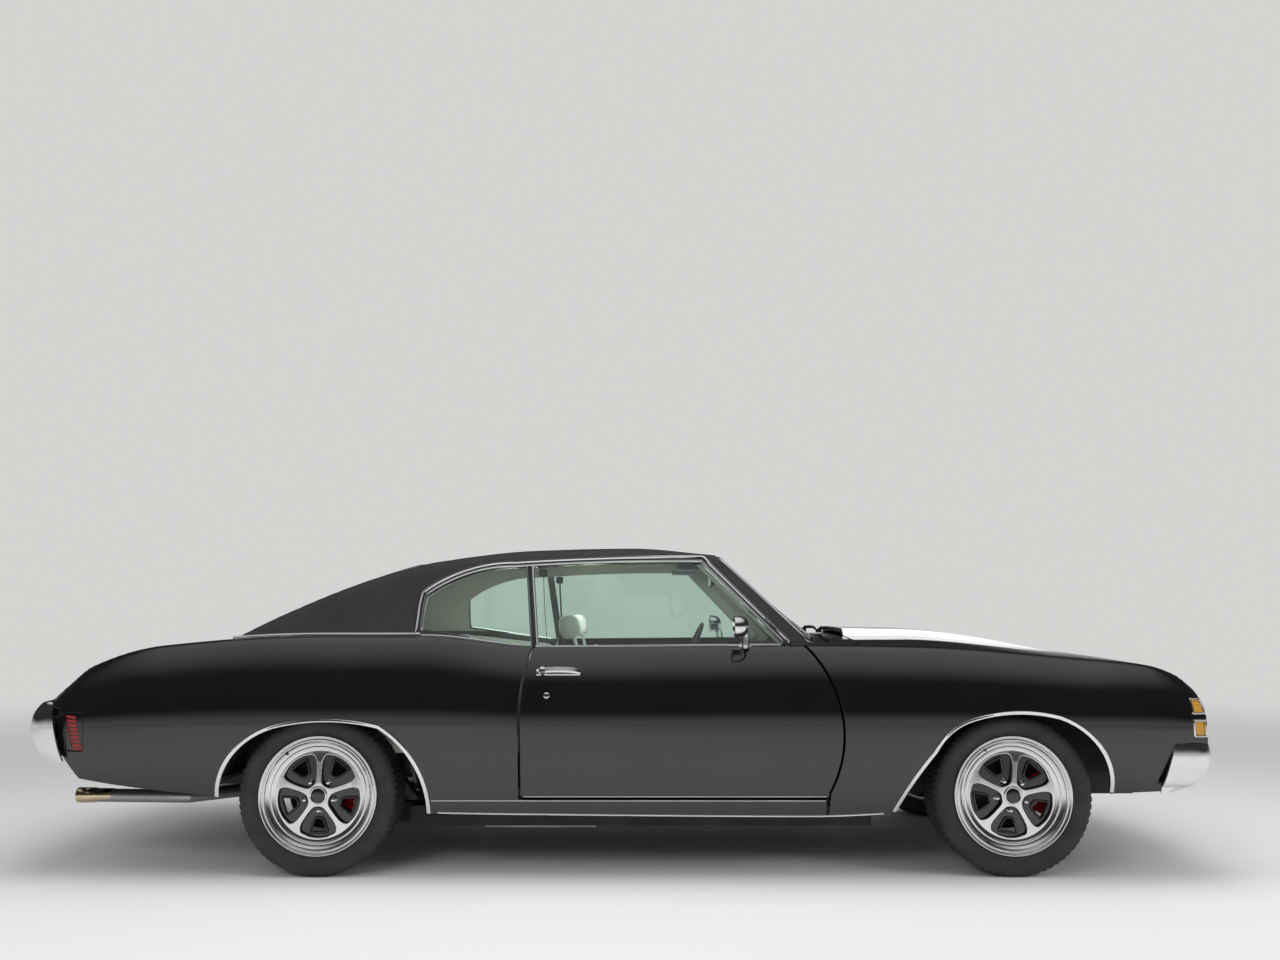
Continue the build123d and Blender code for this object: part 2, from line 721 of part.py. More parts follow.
with BuildPart() as hinge_pillars:
    add(body_lining)
    block((hinge_pillar_x, firewall_x[1]), (-wide, wide), (340, 880), mode=Mode.INTERSECT)
    block((0, far), (-750, 750), (0, far), mode=Mode.SUBTRACT)
with BuildPart() as cowl:
    add(body_outer)
    add(body_inner, mode=Mode.SUBTRACT)
    block((door_front_head[0] + panel_gap, cowl_front_x), (-hood_rear_y, hood_rear_y),
          (sill_y, far), mode=Mode.INTERSECT)
    block((0, 860), (-cabin_y + 40, cabin_y - 40), (sill_y, far), mode=Mode.SUBTRACT)
    block(firewall_x, (-757, 757), (330, 940))
    for side in (1, -1):
        kick = sorted((side * kick_y, side * 757))
        block((pillar_foot_x[0], firewall_x[1]), kick, (330, pillar_foot_z - clear))
    add(hinge_pillars.part)
    block((900, firewall_x[1] + 10), (-148, 148), (300, 408), mode=Mode.SUBTRACT)

save("quarter_panels", quarter_joined.part)
save("front_fenders", front_fenders.part)
save("hood", hood.part)
save("deck_lid", deck_lid.part)
save("corner_lamps", corner_lamps_left.part, mirrored(corner_lamps_left.part))
save("roof", roof.part)
save("windshield", windshield.part)
save("rear_window", rear_window.part)
save("quarter_glass", quarter_glass_left.part, mirrored(quarter_glass_left.part))
save("cowl", cowl.part)
# ---------------------------------------------------------------- grille and lamps
grille_z = (562, 726)
grille_x = (front_tip_x - 150, front_tip_x - 118)
grille_bars = 6
headlamp_y = 655
headlamp_z = 640
headlamp_radius = 88
bezel = 104  # half size of the headlamp's square bezel
grille_y = headlamp_y - bezel - clear
tail_lamp_y = (560, 715)
tail_lamp_z = 600
tail_lamp_radius = 46

with BuildPart() as grille:
    block(grille_x, (-grille_y, grille_y), grille_z)
    block((grille_x[0] + sheet, far), (-grille_y + sheet, grille_y - sheet),
          (grille_z[0] + sheet, grille_z[1] - sheet), mode=Mode.SUBTRACT)
    pitch = (grille_z[1] - grille_z[0]) / (grille_bars + 1)
    for bar in range(1, grille_bars + 1):
        bar_z = grille_z[0] + bar * pitch
        block((grille_x[0], grille_x[1] - 8), (-grille_y, grille_y), (bar_z - 4, bar_z + 4))

with BuildPart() as headlamp_left:
    with BuildSketch(Plane.YZ.offset(grille_x[0])):
        with Locations((headlamp_y, headlamp_z)):
            Rectangle(2 * bezel, 2 * bezel)
            Circle(headlamp_radius, mode=Mode.SUBTRACT)
    extrude(amount=grille_x[1] - grille_x[0])
    with BuildSketch(Plane.YZ.offset(grille_x[0])):
        with Locations((headlamp_y, headlamp_z)):
            Circle(headlamp_radius)
    extrude(amount=18)
    add(body_lining, mode=Mode.INTERSECT)

with BuildPart() as rear_marker_left:
    block([x + grow for x, grow in zip(marker_x, (clear, -clear))], (700, wide),
          [z + grow for z, grow in zip(marker_z, (clear, -clear))])
    add(body_outer, mode=Mode.INTERSECT)
    add(body_inner, mode=Mode.SUBTRACT)

with BuildPart() as tail_lamps:
    for side in (1, -1):
        for y in tail_lamp_y:
            tube((rear_tip_x, side * y, tail_lamp_z), (rear_tip_x + 120, side * y, tail_lamp_z),
                 tail_lamp_radius)
    add(rear_bumper.part, mode=Mode.INTERSECT)
with BuildPart() as rear_bumper_cut:
    add(rear_bumper.part)
    for side in (1, -1):
        for y in tail_lamp_y:
            tube((rear_tip_x, side * y, tail_lamp_z), (rear_tip_x + 120, side * y, tail_lamp_z),
                 tail_lamp_radius + clear, mode=Mode.SUBTRACT)

# ---------------------------------------------------------------- chassis
RAILS = [
    Block((1060, front_tip_x - 240), front_rail_y, front_rail_z),
    Block((880, 1070), (front_rail_y[0], side_rail_y[1]), rail_z),
    Block((1000, 1075), front_rail_y, (rail_z[0], front_rail_z[1])),
    Block((-890, 890), side_rail_y, rail_z),
    Block((-900, -820), (rear_rail_y[0], side_rail_y[1]), rail_z),
    Block((-1060, -880), rear_rail_y, rail_z),
    Block((-1060, -1000), rear_rail_y, (rail_z[0], axle_floor_z - clear)),
    Block((-1630, -1000), rear_rail_y, (axle_floor_z - 62, axle_floor_z - clear)),
    Block((-1638, -1580), rear_rail_y, (326, axle_floor_z - clear)),
    Block((rear_tip_x + 300, -1590), rear_rail_y, (326, trunk_floor_z - clear)),
]
CROSSMEMBERS = [
    Block((1548, 1680), (-front_rail_y[1], front_rail_y[1]), (178, 262)),
    Block((610, 690), (-side_rail_y[1], side_rail_y[1]), (rail_z[0], 230)),
    Block((-1680, -1620), (-rear_rail_y[1], rear_rail_y[1]), (340, 390)),
    Block((rear_tip_x + 300, rear_tip_x + 340), (-rear_rail_y[1], rear_rail_y[1]), (335, 390)),
    Block((front_tip_x - 280, front_tip_x - 240), (-front_rail_y[1], front_rail_y[1]),
          front_rail_z),
]
with BuildPart() as frame:
    for rail in RAILS:
        for side in (1, -1):
            block(rail.x, sorted((side * rail.y[0], side * rail.y[1])), rail.z)
    for member in CROSSMEMBERS:
        block(*member)
    for side in (1, -1):
        block((1600, 1680), sorted((side * front_rail_y[0], side * front_rail_y[1])),
              (178, front_rail_z[1]))
        block((1300, 1380), sorted((side * (engine_y + clear), side * front_rail_y[1])),
              (300, front_rail_z[1]))

with BuildPart() as floor_pan:
    for side in (1, -1):
        block((kick_x + clear, firewall_x[0] - clear),
              sorted((side * (tunnel_y + clear), side * (sill_y - clear))),
              (floor_z, floor_z + floor_thickness))
with BuildPart() as tunnel:
    block((kick_x + clear, firewall_x[0] - clear), (-tunnel_y, tunnel_y), (floor_z, tunnel_z))
    block((kick_x, firewall_x[0]), (-tunnel_y + sheet, tunnel_y - sheet),
          (floor_z - 10, tunnel_z - sheet), mode=Mode.SUBTRACT)

REAR_FLOOR = [
    Block((kick_x - sheet, kick_x), (-sill_y + clear, sill_y - clear),
          (floor_z, rear_floor_z + sheet)),
    Block((axle_kick_x, kick_x), (-700, 700), (rear_floor_z, rear_floor_z + sheet)),
    Block((axle_kick_x - sheet, axle_kick_x), (-700, 700), (rear_floor_z, axle_floor_z + sheet)),
    Block((trunk_x, axle_kick_x), (-wheelhouse_y[0], wheelhouse_y[0]),
          (axle_floor_z, axle_floor_z + sheet)),
    Block((trunk_x - sheet, trunk_x), (-700, 700), (trunk_floor_z, axle_floor_z + sheet)),
    Block((rear_tip_x + 330, trunk_x), (-700, 700), (trunk_floor_z, trunk_floor_z + sheet)),
    Block((-1560, -1240), (-690, 690), (900, 900 + sheet)),
    Block((-1262, -1250), (-wheelhouse_y[0], wheelhouse_y[0]), (axle_floor_z, 902)),
]
with BuildPart() as rear_floor:
    for panel in REAR_FLOOR:
        block(*panel)
    block((kick_x - sheet - 1, kick_x + 1), (-tunnel_y + sheet, tunnel_y - sheet),
          (floor_z - 10, tunnel_z - sheet), mode=Mode.SUBTRACT)
    for side in (1, -1):
        y0, y1 = wheelhouse_y
        for radius, inner_y, mode in ((wheelhouse_radius + sheet, y0, Mode.ADD),
                                      (wheelhouse_radius, y0 + sheet, Mode.SUBTRACT)):
            tube((rear_axle_x, side * inner_y, axle_z), (rear_axle_x, side * (y1 + 20), axle_z),
                 radius, mode=mode)
        block((-far, far), sorted((side * y1, side * (y1 + 30))), (0, far), mode=Mode.SUBTRACT)
        block((rear_axle_x - 500, rear_axle_x + 500), sorted((side * (y0 - 1), side * wide)),
              (-200, rear_floor_z - clear), mode=Mode.SUBTRACT)
    for rail in RAILS:
        for side in (1, -1):
            block((rail.x[0] - clear, rail.x[1] + clear),
                  sorted((side * (rail.y[0] - clear), side * (rail.y[1] + clear))),
                  (rail.z[0] - clear, rail.z[1] + clear), mode=Mode.SUBTRACT)
    add(body_lining, mode=Mode.INTERSECT)

with BuildPart() as hood_gutter:
    add(body_lining)
    add(gutter_floor, mode=Mode.SUBTRACT)
    add(hood_prism(gutter_reach), mode=Mode.INTERSECT)
    add(hood_prism(-gutter_reach), mode=Mode.SUBTRACT)
    block((0, cowl_front_x + 30), (-wide, wide), (0, far), mode=Mode.SUBTRACT)
    block((grille_x[0] - 1, far), (-wide, wide), (0, far), mode=Mode.SUBTRACT)
with BuildPart() as fender_ledges:
    add(body_lining)
    block((cowl_front_x + 30, front_tip_x - 258), (-755, 755), (690, far), mode=Mode.INTERSECT)
    block((0, far), (-742, 742), (0, far), mode=Mode.SUBTRACT)
    block((0, front_tip_x), (-wide, wide), (880, far), mode=Mode.SUBTRACT)
with BuildPart() as inner_fenders:
    add(hood_gutter.part)
    add(fender_ledges.part)
    for side in (1, -1):
        block((firewall_x[1] + clear, front_tip_x - 270),
              sorted((side * apron_y, side * (apron_y + sheet))), (front_rail_z[1] + clear, 700))
        block((firewall_x[1] + clear, front_tip_x - 270), sorted((side * apron_y, side * 790)),
              (690, 702))
    block((front_tip_x - 270, front_tip_x - 258), (-750, 750), (front_rail_z[1] + clear, 780))

with BuildPart() as engine:
    block(engine_x, (-engine_y, engine_y), engine_z)

with BuildPart() as driveline:
    block(transmission_x, (-125, 125), (256, 396))
    tube((transmission_x[0], 0, axle_z), (rear_axle_x + differential_radius + 4, 0, axle_z),
         shaft_radius)

with BuildPart() as fuel_tank:
    block((-2120, -1720), (-400, 400), (trunk_floor_z - clear - 125, trunk_floor_z - clear))

with BuildPart() as exhaust_left:
    tube(EXHAUST_ROUTE[0], EXHAUST_ROUTE[1], exhaust_radius)
    tube(EXHAUST_ROUTE[1], EXHAUST_JOINT, exhaust_radius)
    with Locations(EXHAUST_ROUTE[1]):
        Sphere(exhaust_radius)
    block(muffler_x, muffler_y, (exhaust_z - 32, rail_z[0] - 2))
with BuildPart() as tail_pipe_left:
    tube((EXHAUST_JOINT[0] - clear, *EXHAUST_JOINT[1:]), EXHAUST_ROUTE[2], exhaust_radius)
    for start, end in zip(EXHAUST_ROUTE[2:], EXHAUST_ROUTE[3:]):
        tube(start, end, exhaust_radius)
    for bend in EXHAUST_ROUTE[2:-1]:
        with Locations(bend):
            Sphere(exhaust_radius)
    tube((rear_tip_x, *EXHAUST_ROUTE[-1][1:]), (rear_tip_x + 240, *EXHAUST_ROUTE[-1][1:]),
         exhaust_radius - exhaust_wall, mode=Mode.SUBTRACT)

with BuildPart() as front_suspension_left:
    with BuildSketch(Plane.XY.offset(arm_low_z[0])):
        with BuildLine():
            Polyline(
                (front_axle_x - arm_end, kingpin_y), (front_axle_x + arm_end, kingpin_y),
                (front_axle_x + 110, front_rail_y[1] + clear),
                (front_axle_x - 60, front_rail_y[1] + clear), close=True,
            )
        make_face()
    extrude(amount=arm_low_z[1] - arm_low_z[0])
    with BuildSketch(Plane.XY.offset(arm_high_z[0])):
        with BuildLine():
            Polyline(
                (front_axle_x - arm_end, kingpin_y), (front_axle_x + arm_end, kingpin_y),
                (front_axle_x + 90, apron_y + sheet + clear),
                (front_axle_x - 90, apron_y + sheet + clear), close=True,
            )
        make_face()
    extrude(amount=arm_high_z[1] - arm_high_z[0])
    tube((front_axle_x, 520, arm_low_z[1] - 1), (front_axle_x, 520, arm_high_z[0] + 1), 50)
    for low, high in (arm_low_z, arm_high_z):
        tube((front_axle_x, kingpin_y, low), (front_axle_x, kingpin_y, high), arm_end)

# ---------------------------------------------------------------- wheels, knuckles and steering
with BuildPart() as tyre:
    with BuildSketch(Plane.XY):
        with BuildLine():
            bead = rim_width / 2 - flange_width - clear
            low, shoulder = bead_radius + clear, tyre_radius - 12
            Polyline((-bead, rim_radius + 1), (-bead, low), (bead, low), (bead, rim_radius + 1))
            for side in (1, -1):
                ThreePointArc(
                    (side * bead, rim_radius + 1), (side * tyre_width / 2, 286),
                    (side * (tread_width / 2 + 6), shoulder),
                )
                Line((side * (tread_width / 2 + 6), shoulder),
                     (side * (tread_width / 2 - 8), tyre_radius - 1))
            ThreePointArc((-(tread_width / 2 - 8), tyre_radius - 1), (0, tyre_radius),
                          (tread_width / 2 - 8, tyre_radius - 1))
        make_face()
    revolve(axis=Axis.X)

with BuildPart() as rim:
    with BuildSketch(Plane.XY):
        with BuildLine():
            half = rim_width / 2
            well = bead_radius - barrel_wall
            Polyline(
                (-half, rim_radius), (-half + flange_width, rim_radius),
                (-half + flange_width, bead_radius), (half - flange_width, bead_radius),
                (half - flange_width, rim_radius), (half, rim_radius), (half, well),
                (-half, well), close=True,
            )
        make_face()
    revolve(axis=Axis.X)
    with BuildSketch(Plane.YZ.offset(wheel_face - spoke_height - web_thickness)):
        Circle(well + 2)
        Circle(hub_bore, mode=Mode.SUBTRACT)
        with PolarLocations(0, spoke_count, start_angle=90 + 180 / spoke_count):
            Polygon((142, -26), (186, -44), (186, 44), (142, 26), align=None, mode=Mode.SUBTRACT)
    extrude(amount=web_thickness)
    with BuildSketch(Plane.YZ.offset(wheel_face - spoke_height)):
        Circle(hub_radius)
        with PolarLocations(0, spoke_count, start_angle=90):
            Polygon((50, -36), (well + 4, -25), (well + 4, 25), (50, 36), align=None)
        Circle(hub_bore, mode=Mode.SUBTRACT)
    extrude(amount=spoke_height)
    with BuildSketch(Plane.YZ.offset(wheel_face - spoke_height)):
        Circle(hub_bore + 2)
    extrude(amount=spoke_height + 6)

disc_offset = disc_y - wheel_y
with BuildPart() as brake_disc:
    with BuildSketch(Plane.YZ.offset(disc_offset - disc_thickness / 2)):
        Circle(disc_radius)
        Circle(hub_bore, mode=Mode.SUBTRACT)
    extrude(amount=disc_thickness)
    with BuildSketch(Plane.YZ.offset(disc_offset)):
        Circle(hub_radius)
        Circle(hub_bore, mode=Mode.SUBTRACT)
    extrude(amount=wheel_face - spoke_height - web_thickness - disc_offset - clear)

with BuildPart() as caliper:
    reach = disc_thickness / 2 + disc_clearance
    with BuildSketch(Plane.YZ.offset(disc_offset - caliper_depth / 2)):
        with BuildLine():
            arc = CenterArc((0, 0), caliper_radius, 90 - caliper_span / 2, caliper_span)
            inner = CenterArc((0, 0), 98, 90 - caliper_span / 2, caliper_span)
            Line(arc @ 0, inner @ 0)
            Line(arc @ 1, inner @ 1)
        make_face()
    extrude(amount=caliper_depth)
    with BuildSketch(Plane.YZ.offset(disc_offset - reach)):
        Circle(disc_radius + disc_clearance)
    extrude(amount=2 * reach, mode=Mode.SUBTRACT)
    with BuildSketch(Plane.YZ.offset(disc_offset - caliper_depth / 2)):
        with Locations((0, 62)):
            Rectangle(70, 124)
        Circle(hub_bore + 14)
    extrude(amount=caliper_depth / 2 - reach)


def at_wheel(part, axle_x, side, spin=0):
    """A part made with its outboard face on +X, set at a wheel centre."""
    turned = part.rotate(Axis.X, spin).rotate(Axis.Z, 90 * side)
    return turned.moved(Location((axle_x, side * wheel_y, axle_z)))


spindle_end = wheel_y + wheel_face - spoke_height - 12
front_caliper = at_wheel(caliper.part.rotate(Axis.X, 90), front_axle_x, 1)
rear_caliper = at_wheel(caliper.part.rotate(Axis.X, 90), rear_axle_x, 1)
with BuildPart() as knuckle_left:
    add(front_caliper)
    tube((front_axle_x, kingpin_y, arm_low_z[1] + clear),
         (front_axle_x, kingpin_y, arm_high_z[0] - clear), kingpin_radius)
    tube((front_axle_x, kingpin_y, axle_z), (front_axle_x, spindle_end, axle_z),
         hub_bore - clear)
    with BuildSketch(Plane.XY.offset(steering_arm_z[0])):
        with BuildLine():
            end_x, end_y = front_axle_x + steering_arm[0], kingpin_y + steering_arm[1]
            Polyline((front_axle_x, kingpin_y + 14), (end_x - 12, end_y + 10),
                     (end_x - 12, end_y - 10), (front_axle_x, kingpin_y - 14), close=True)
        make_face()
    extrude(amount=steering_arm_z[1] - steering_arm_z[0])
    tube((end_x, end_y, tie_rod_z - 16), (end_x, end_y, steering_arm_z[1]), tie_rod_pin)

with BuildPart() as tie_rod:
    tube((end_x, -end_y, tie_rod_z), (end_x, end_y, tie_rod_z), tie_rod_radius)
    for side in (1, -1):
        eye = (end_x, side * end_y)
        tube((*eye, tie_rod_z - tie_rod_eye_height), (*eye, tie_rod_z + tie_rod_eye_height),
             tie_rod_eye)
    for side in (1, -1):
        eye = (end_x, side * end_y)
        tube((*eye, tie_rod_z - 40), (*eye, tie_rod_z + 40), tie_rod_pin + clear,
             mode=Mode.SUBTRACT)

with BuildPart() as rear_axle:
    add(rear_caliper)
    add(mirrored(rear_caliper))
    tube((rear_axle_x, -spindle_end, axle_z), (rear_axle_x, spindle_end, axle_z),
         hub_bore - clear)
    tube((rear_axle_x, -650, axle_z), (rear_axle_x, 650, axle_z), axle_tube_radius)
    tube((rear_axle_x, -70, axle_z), (rear_axle_x, 70, axle_z), differential_radius)

with BuildPart() as rear_spring_left:
    tube((rear_axle_x, sum(rear_rail_y) / 2, axle_z + axle_tube_radius + clear),
         (rear_axle_x, sum(rear_rail_y) / 2, axle_floor_z - 62 - clear), 34)

# ---------------------------------------------------------------- cabin
with BuildPart() as front_seat_left:
    with BuildSketch(Plane.XZ.offset(-(seat_middle_y - seat_width / 2))):
        with BuildLine():
            Polyline(
                (-120, floor_z + floor_thickness + clear), (330, floor_z + floor_thickness + clear),
                (400, 480), (395, 535), (40, 520), (-30, 560), (-160, 930), (-240, 935),
                (-150, 420), close=True,
            )
        make_face()
    extrude(amount=-seat_width)
    block((-300, -190), (seat_middle_y - 130, seat_middle_y + 130), (900, 1062))

with BuildPart() as rear_seat:
    with BuildSketch(Plane.XZ.offset(590)):
        with BuildLine():
            Polyline(
                (axle_kick_x + clear, rear_floor_z + sheet + clear),
                (kick_x - clear, rear_floor_z + sheet + clear),
                (kick_x - clear, tunnel_z + clear), (kick_x + 150, tunnel_z + 20),
                (kick_x + 150, 530), (-830, 560), (-1010, 880), (-1110, 880),
                (-1010, axle_floor_z + sheet + clear),
                (axle_kick_x + clear, axle_floor_z + sheet + clear), close=True,
            )
        make_face()
    extrude(amount=-1180)

column = Vector(-math.cos(math.radians(steering_tilt)), 0, math.sin(math.radians(steering_tilt)))
wheel_centre = Vector(*steering_wheel_at)
with BuildPart() as dashboard:
    with BuildSketch(Plane.XZ.offset(dash_y)):
        with BuildLine():
            Polyline((560, 900), (850, 915), (850, 700), (640, 640), (560, 720), close=True)
        make_face()
    extrude(amount=-2 * dash_y)
    tube(tuple(wheel_centre - column * (11 + clear)), tuple(wheel_centre - column * 420), 26)

with BuildPart() as steering_wheel:
    with BuildSketch(Plane(wheel_centre, z_dir=column)):
        Circle(steering_wheel_radius)
        Circle(steering_wheel_radius - 22, mode=Mode.SUBTRACT)
        Rectangle(2 * steering_wheel_radius - 30, 34)
        Circle(44)
    extrude(amount=11, both=True)

with BuildPart() as mirror_left:
    with BuildSketch(Plane.YZ.offset(470)):
        with Locations((885, 1018)):
            RectangleRounded(126, 84, 26)
    extrude(amount=52)
    tube((496, 872, 990), (520, 822, 905), 15)
    add(body_volume(-clear), mode=Mode.SUBTRACT)

with BuildPart() as door_hinges_left:
    for z in door_hinge_z:
        tube((door_hinge_x, door_hinge_y, z - 40), (door_hinge_x, door_hinge_y, z + 40), 6)
        with BuildSketch(Plane.XY.offset(z - 12)):
            with BuildLine():
                Polyline(
                    (door_hinge_x - 7, door_hinge_y + 3), (door_hinge_x + 6, door_hinge_y + 5),
                    (hinge_pillar_x - clear, door_hinge_y - 98),
                    (hinge_pillar_x - clear, door_hinge_y - 130), close=True,
                )
            make_face()
        extrude(amount=24)

# ---------------------------------------------------------------- write the nodes
WHEELS = [
    ("front_left", front_axle_x, 1, -7), ("front_right", front_axle_x, -1, -7),
    ("rear_left", rear_axle_x, 1, 0), ("rear_right", rear_axle_x, -1, 0),
]
for name, axle_x, side, spin in WHEELS:
    save(f"tyre_{name}", at_wheel(tyre.part, axle_x, side))
    save(f"wheel_{name}", at_wheel(rim.part, axle_x, side, spin),
         at_wheel(brake_disc.part, axle_x, side))
save("knuckle_left", knuckle_left.part)
save("knuckle_right", mirrored(knuckle_left.part))
save("tie_rod", tie_rod.part)
save("front_bumper", front_bumper.part)
save("rear_bumper", rear_bumper_cut.part)
save("tail_lamps", tail_lamps.part)
save("rear_markers", rear_marker_left.part, mirrored(rear_marker_left.part))
save("rear_axle", rear_axle.part)
save("suspension", front_suspension_left.part, mirrored(front_suspension_left.part),
     rear_spring_left.part, mirrored(rear_spring_left.part))
save("grille", grille.part)
save("headlamps", headlamp_left.part, mirrored(headlamp_left.part))
save("frame", frame.part)
save("floor_pan", floor_pan.part)
save("tunnel", tunnel.part)
save("rear_floor", rear_floor.part)
save("inner_fenders", inner_fenders.part)
save("engine", engine.part)
save("driveline", driveline.part)
save("fuel_tank", fuel_tank.part)
save("exhaust", exhaust_left.part, mirrored(exhaust_left.part))
save("tail_pipes", tail_pipe_left.part, mirrored(tail_pipe_left.part))
save("front_seats", front_seat_left.part, mirrored(front_seat_left.part))
save("rear_seat", rear_seat.part)
save("dashboard", dashboard.part)
save("steering_wheel", steering_wheel.part)
save("mirror_left", mirror_left.part)
save("mirror_right", mirrored(mirror_left.part))
save("door_hinges", door_hinges_left.part, mirrored(door_hinges_left.part))
save("door_left", door_left.part)
save("door_right", mirrored(door_left.part))
save("door_glass_left", door_glass_left.part)
save("door_glass_right", mirrored(door_glass_left.part))
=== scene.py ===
"""Finish, trim and soft parts of a two-door hardtop muscle car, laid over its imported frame.

Each sub-assembly is a class that holds its own sizes and builds and dresses its own meshes. Sizes
are in millimetres, in the frame of the part: +X to the front, +Y to the left, +Z up from the floor.
"""

import json
import logging
import math
from collections import Counter
from collections.abc import Callable, Sequence
from dataclasses import dataclass, field
from enum import Enum

import bpy
import numpy as np
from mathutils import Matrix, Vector
from mathutils.geometry import delaunay_2d_cdt

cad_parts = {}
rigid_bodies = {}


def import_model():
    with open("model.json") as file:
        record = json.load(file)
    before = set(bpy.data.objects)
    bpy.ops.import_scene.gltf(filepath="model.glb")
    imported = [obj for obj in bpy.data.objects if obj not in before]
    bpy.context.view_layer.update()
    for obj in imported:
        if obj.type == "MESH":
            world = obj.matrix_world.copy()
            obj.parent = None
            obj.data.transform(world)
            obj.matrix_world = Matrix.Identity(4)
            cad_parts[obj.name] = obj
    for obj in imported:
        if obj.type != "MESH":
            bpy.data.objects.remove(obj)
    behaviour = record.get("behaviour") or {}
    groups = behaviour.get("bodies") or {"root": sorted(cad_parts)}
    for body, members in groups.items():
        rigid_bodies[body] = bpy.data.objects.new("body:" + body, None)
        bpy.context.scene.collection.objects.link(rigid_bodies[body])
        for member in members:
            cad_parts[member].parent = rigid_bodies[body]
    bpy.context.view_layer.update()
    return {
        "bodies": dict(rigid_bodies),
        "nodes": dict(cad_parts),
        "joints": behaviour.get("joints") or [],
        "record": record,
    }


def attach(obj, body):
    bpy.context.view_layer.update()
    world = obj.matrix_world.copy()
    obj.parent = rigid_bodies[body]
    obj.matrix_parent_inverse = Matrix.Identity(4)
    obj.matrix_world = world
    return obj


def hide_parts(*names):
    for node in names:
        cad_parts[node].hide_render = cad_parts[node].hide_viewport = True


LOG = logging.getLogger("muscle_car")
MM = 0.001
Array = np.ndarray
Colour = tuple[float, float, float]
ORIGIN = (0, 0, 0)
AHEAD = (1, 0, 0)
OUTBOARD = (0, 1, 0)
UP = (0, 0, 1)


class Side(Enum):
    """The car's left (+Y) and right (-Y) side."""

    LEFT = 1
    RIGHT = -1

    @property
    def label(self) -> str:
        """The word used for this side in node names."""
        return self.name.lower()


# ---------------------------------------------------------------- shader node groups
@dataclass(frozen=True)
class Noise:
    """A noise pattern: cells per metre, detail and roughness of its octaves."""

    scale: float
    detail: float = 3.0
    roughness: float = 0.55


class MixSockets(Enum):
    """Where a mix node keeps its inputs A and B and its result, for each data type."""

    RGBA = (6, 7, 2)
    VECTOR = (4, 5, 1)


class TreeBuilder:
    """Adds and joins the nodes of one shader tree."""

    def __init__(self, tree: bpy.types.NodeTree) -> None:
        """Takes the tree."""
        self.tree, self.nodes = tree, tree.nodes

    def node(self, kind: str, **settings: object) -> bpy.types.Node:
        """Adds a node and sets its properties."""
        made = self.nodes.new(kind)
        for key, setting in settings.items():
            setattr(made, key, setting)
        return made

    def link(self, source: bpy.types.NodeSocket, target: bpy.types.NodeSocket) -> None:
        """Joins two sockets."""
        self.tree.links.new(source, target)

    def ramp(self, source: bpy.types.NodeSocket, low: float, high: float,
             to_low: float = 0.0, to_high: float = 1.0,
             smooth: bool = False) -> bpy.types.NodeSocket:
        """Maps a value's range to another, clamped.

        Args:
            source: The value to map.
            low: Where the input range starts.
            high: Where the input range ends.
            to_low: Output at low.
            to_high: Output at high.
            smooth: Whether it eases in and out.

        Returns:
            The mapped value's socket.
        """
        made = self.node("ShaderNodeMapRange",
                         interpolation_type="SMOOTHSTEP" if smooth else "LINEAR")
        self.link(source, made.inputs["Value"])
        for label, number in zip(("From Min", "From Max", "To Min", "To Max"),
                                 (low, high, to_low, to_high)):
            made.inputs[label].default_value = number
        return made.outputs["Result"]

    def math(self, operation: str, a: object, b: object) -> bpy.types.NodeSocket:
        """Adds a math node whose operands are sockets or numbers."""
        made = self.node("ShaderNodeMath", operation=operation)
        for socket, operand in zip(made.inputs, (a, b)):
            if isinstance(operand, bpy.types.NodeSocket):
                self.link(operand, socket)
            else:
                socket.default_value = operand
        return made.outputs["Value"]

    def mix(self, factor: bpy.types.NodeSocket, a: object, b: object) -> bpy.types.NodeSocket:
        """Blends two colours, each a socket or an (r, g, b) colour."""
        made = self.node("ShaderNodeMix", data_type="RGBA")
        self.link(factor, made.inputs["Factor"])
        first, second, result = MixSockets.RGBA.value
        for index, operand in ((first, a), (second, b)):
            if isinstance(operand, bpy.types.NodeSocket):
                self.link(operand, made.inputs[index])
            else:
                made.inputs[index].default_value = (*operand, 1.0)
        return made.outputs[result]


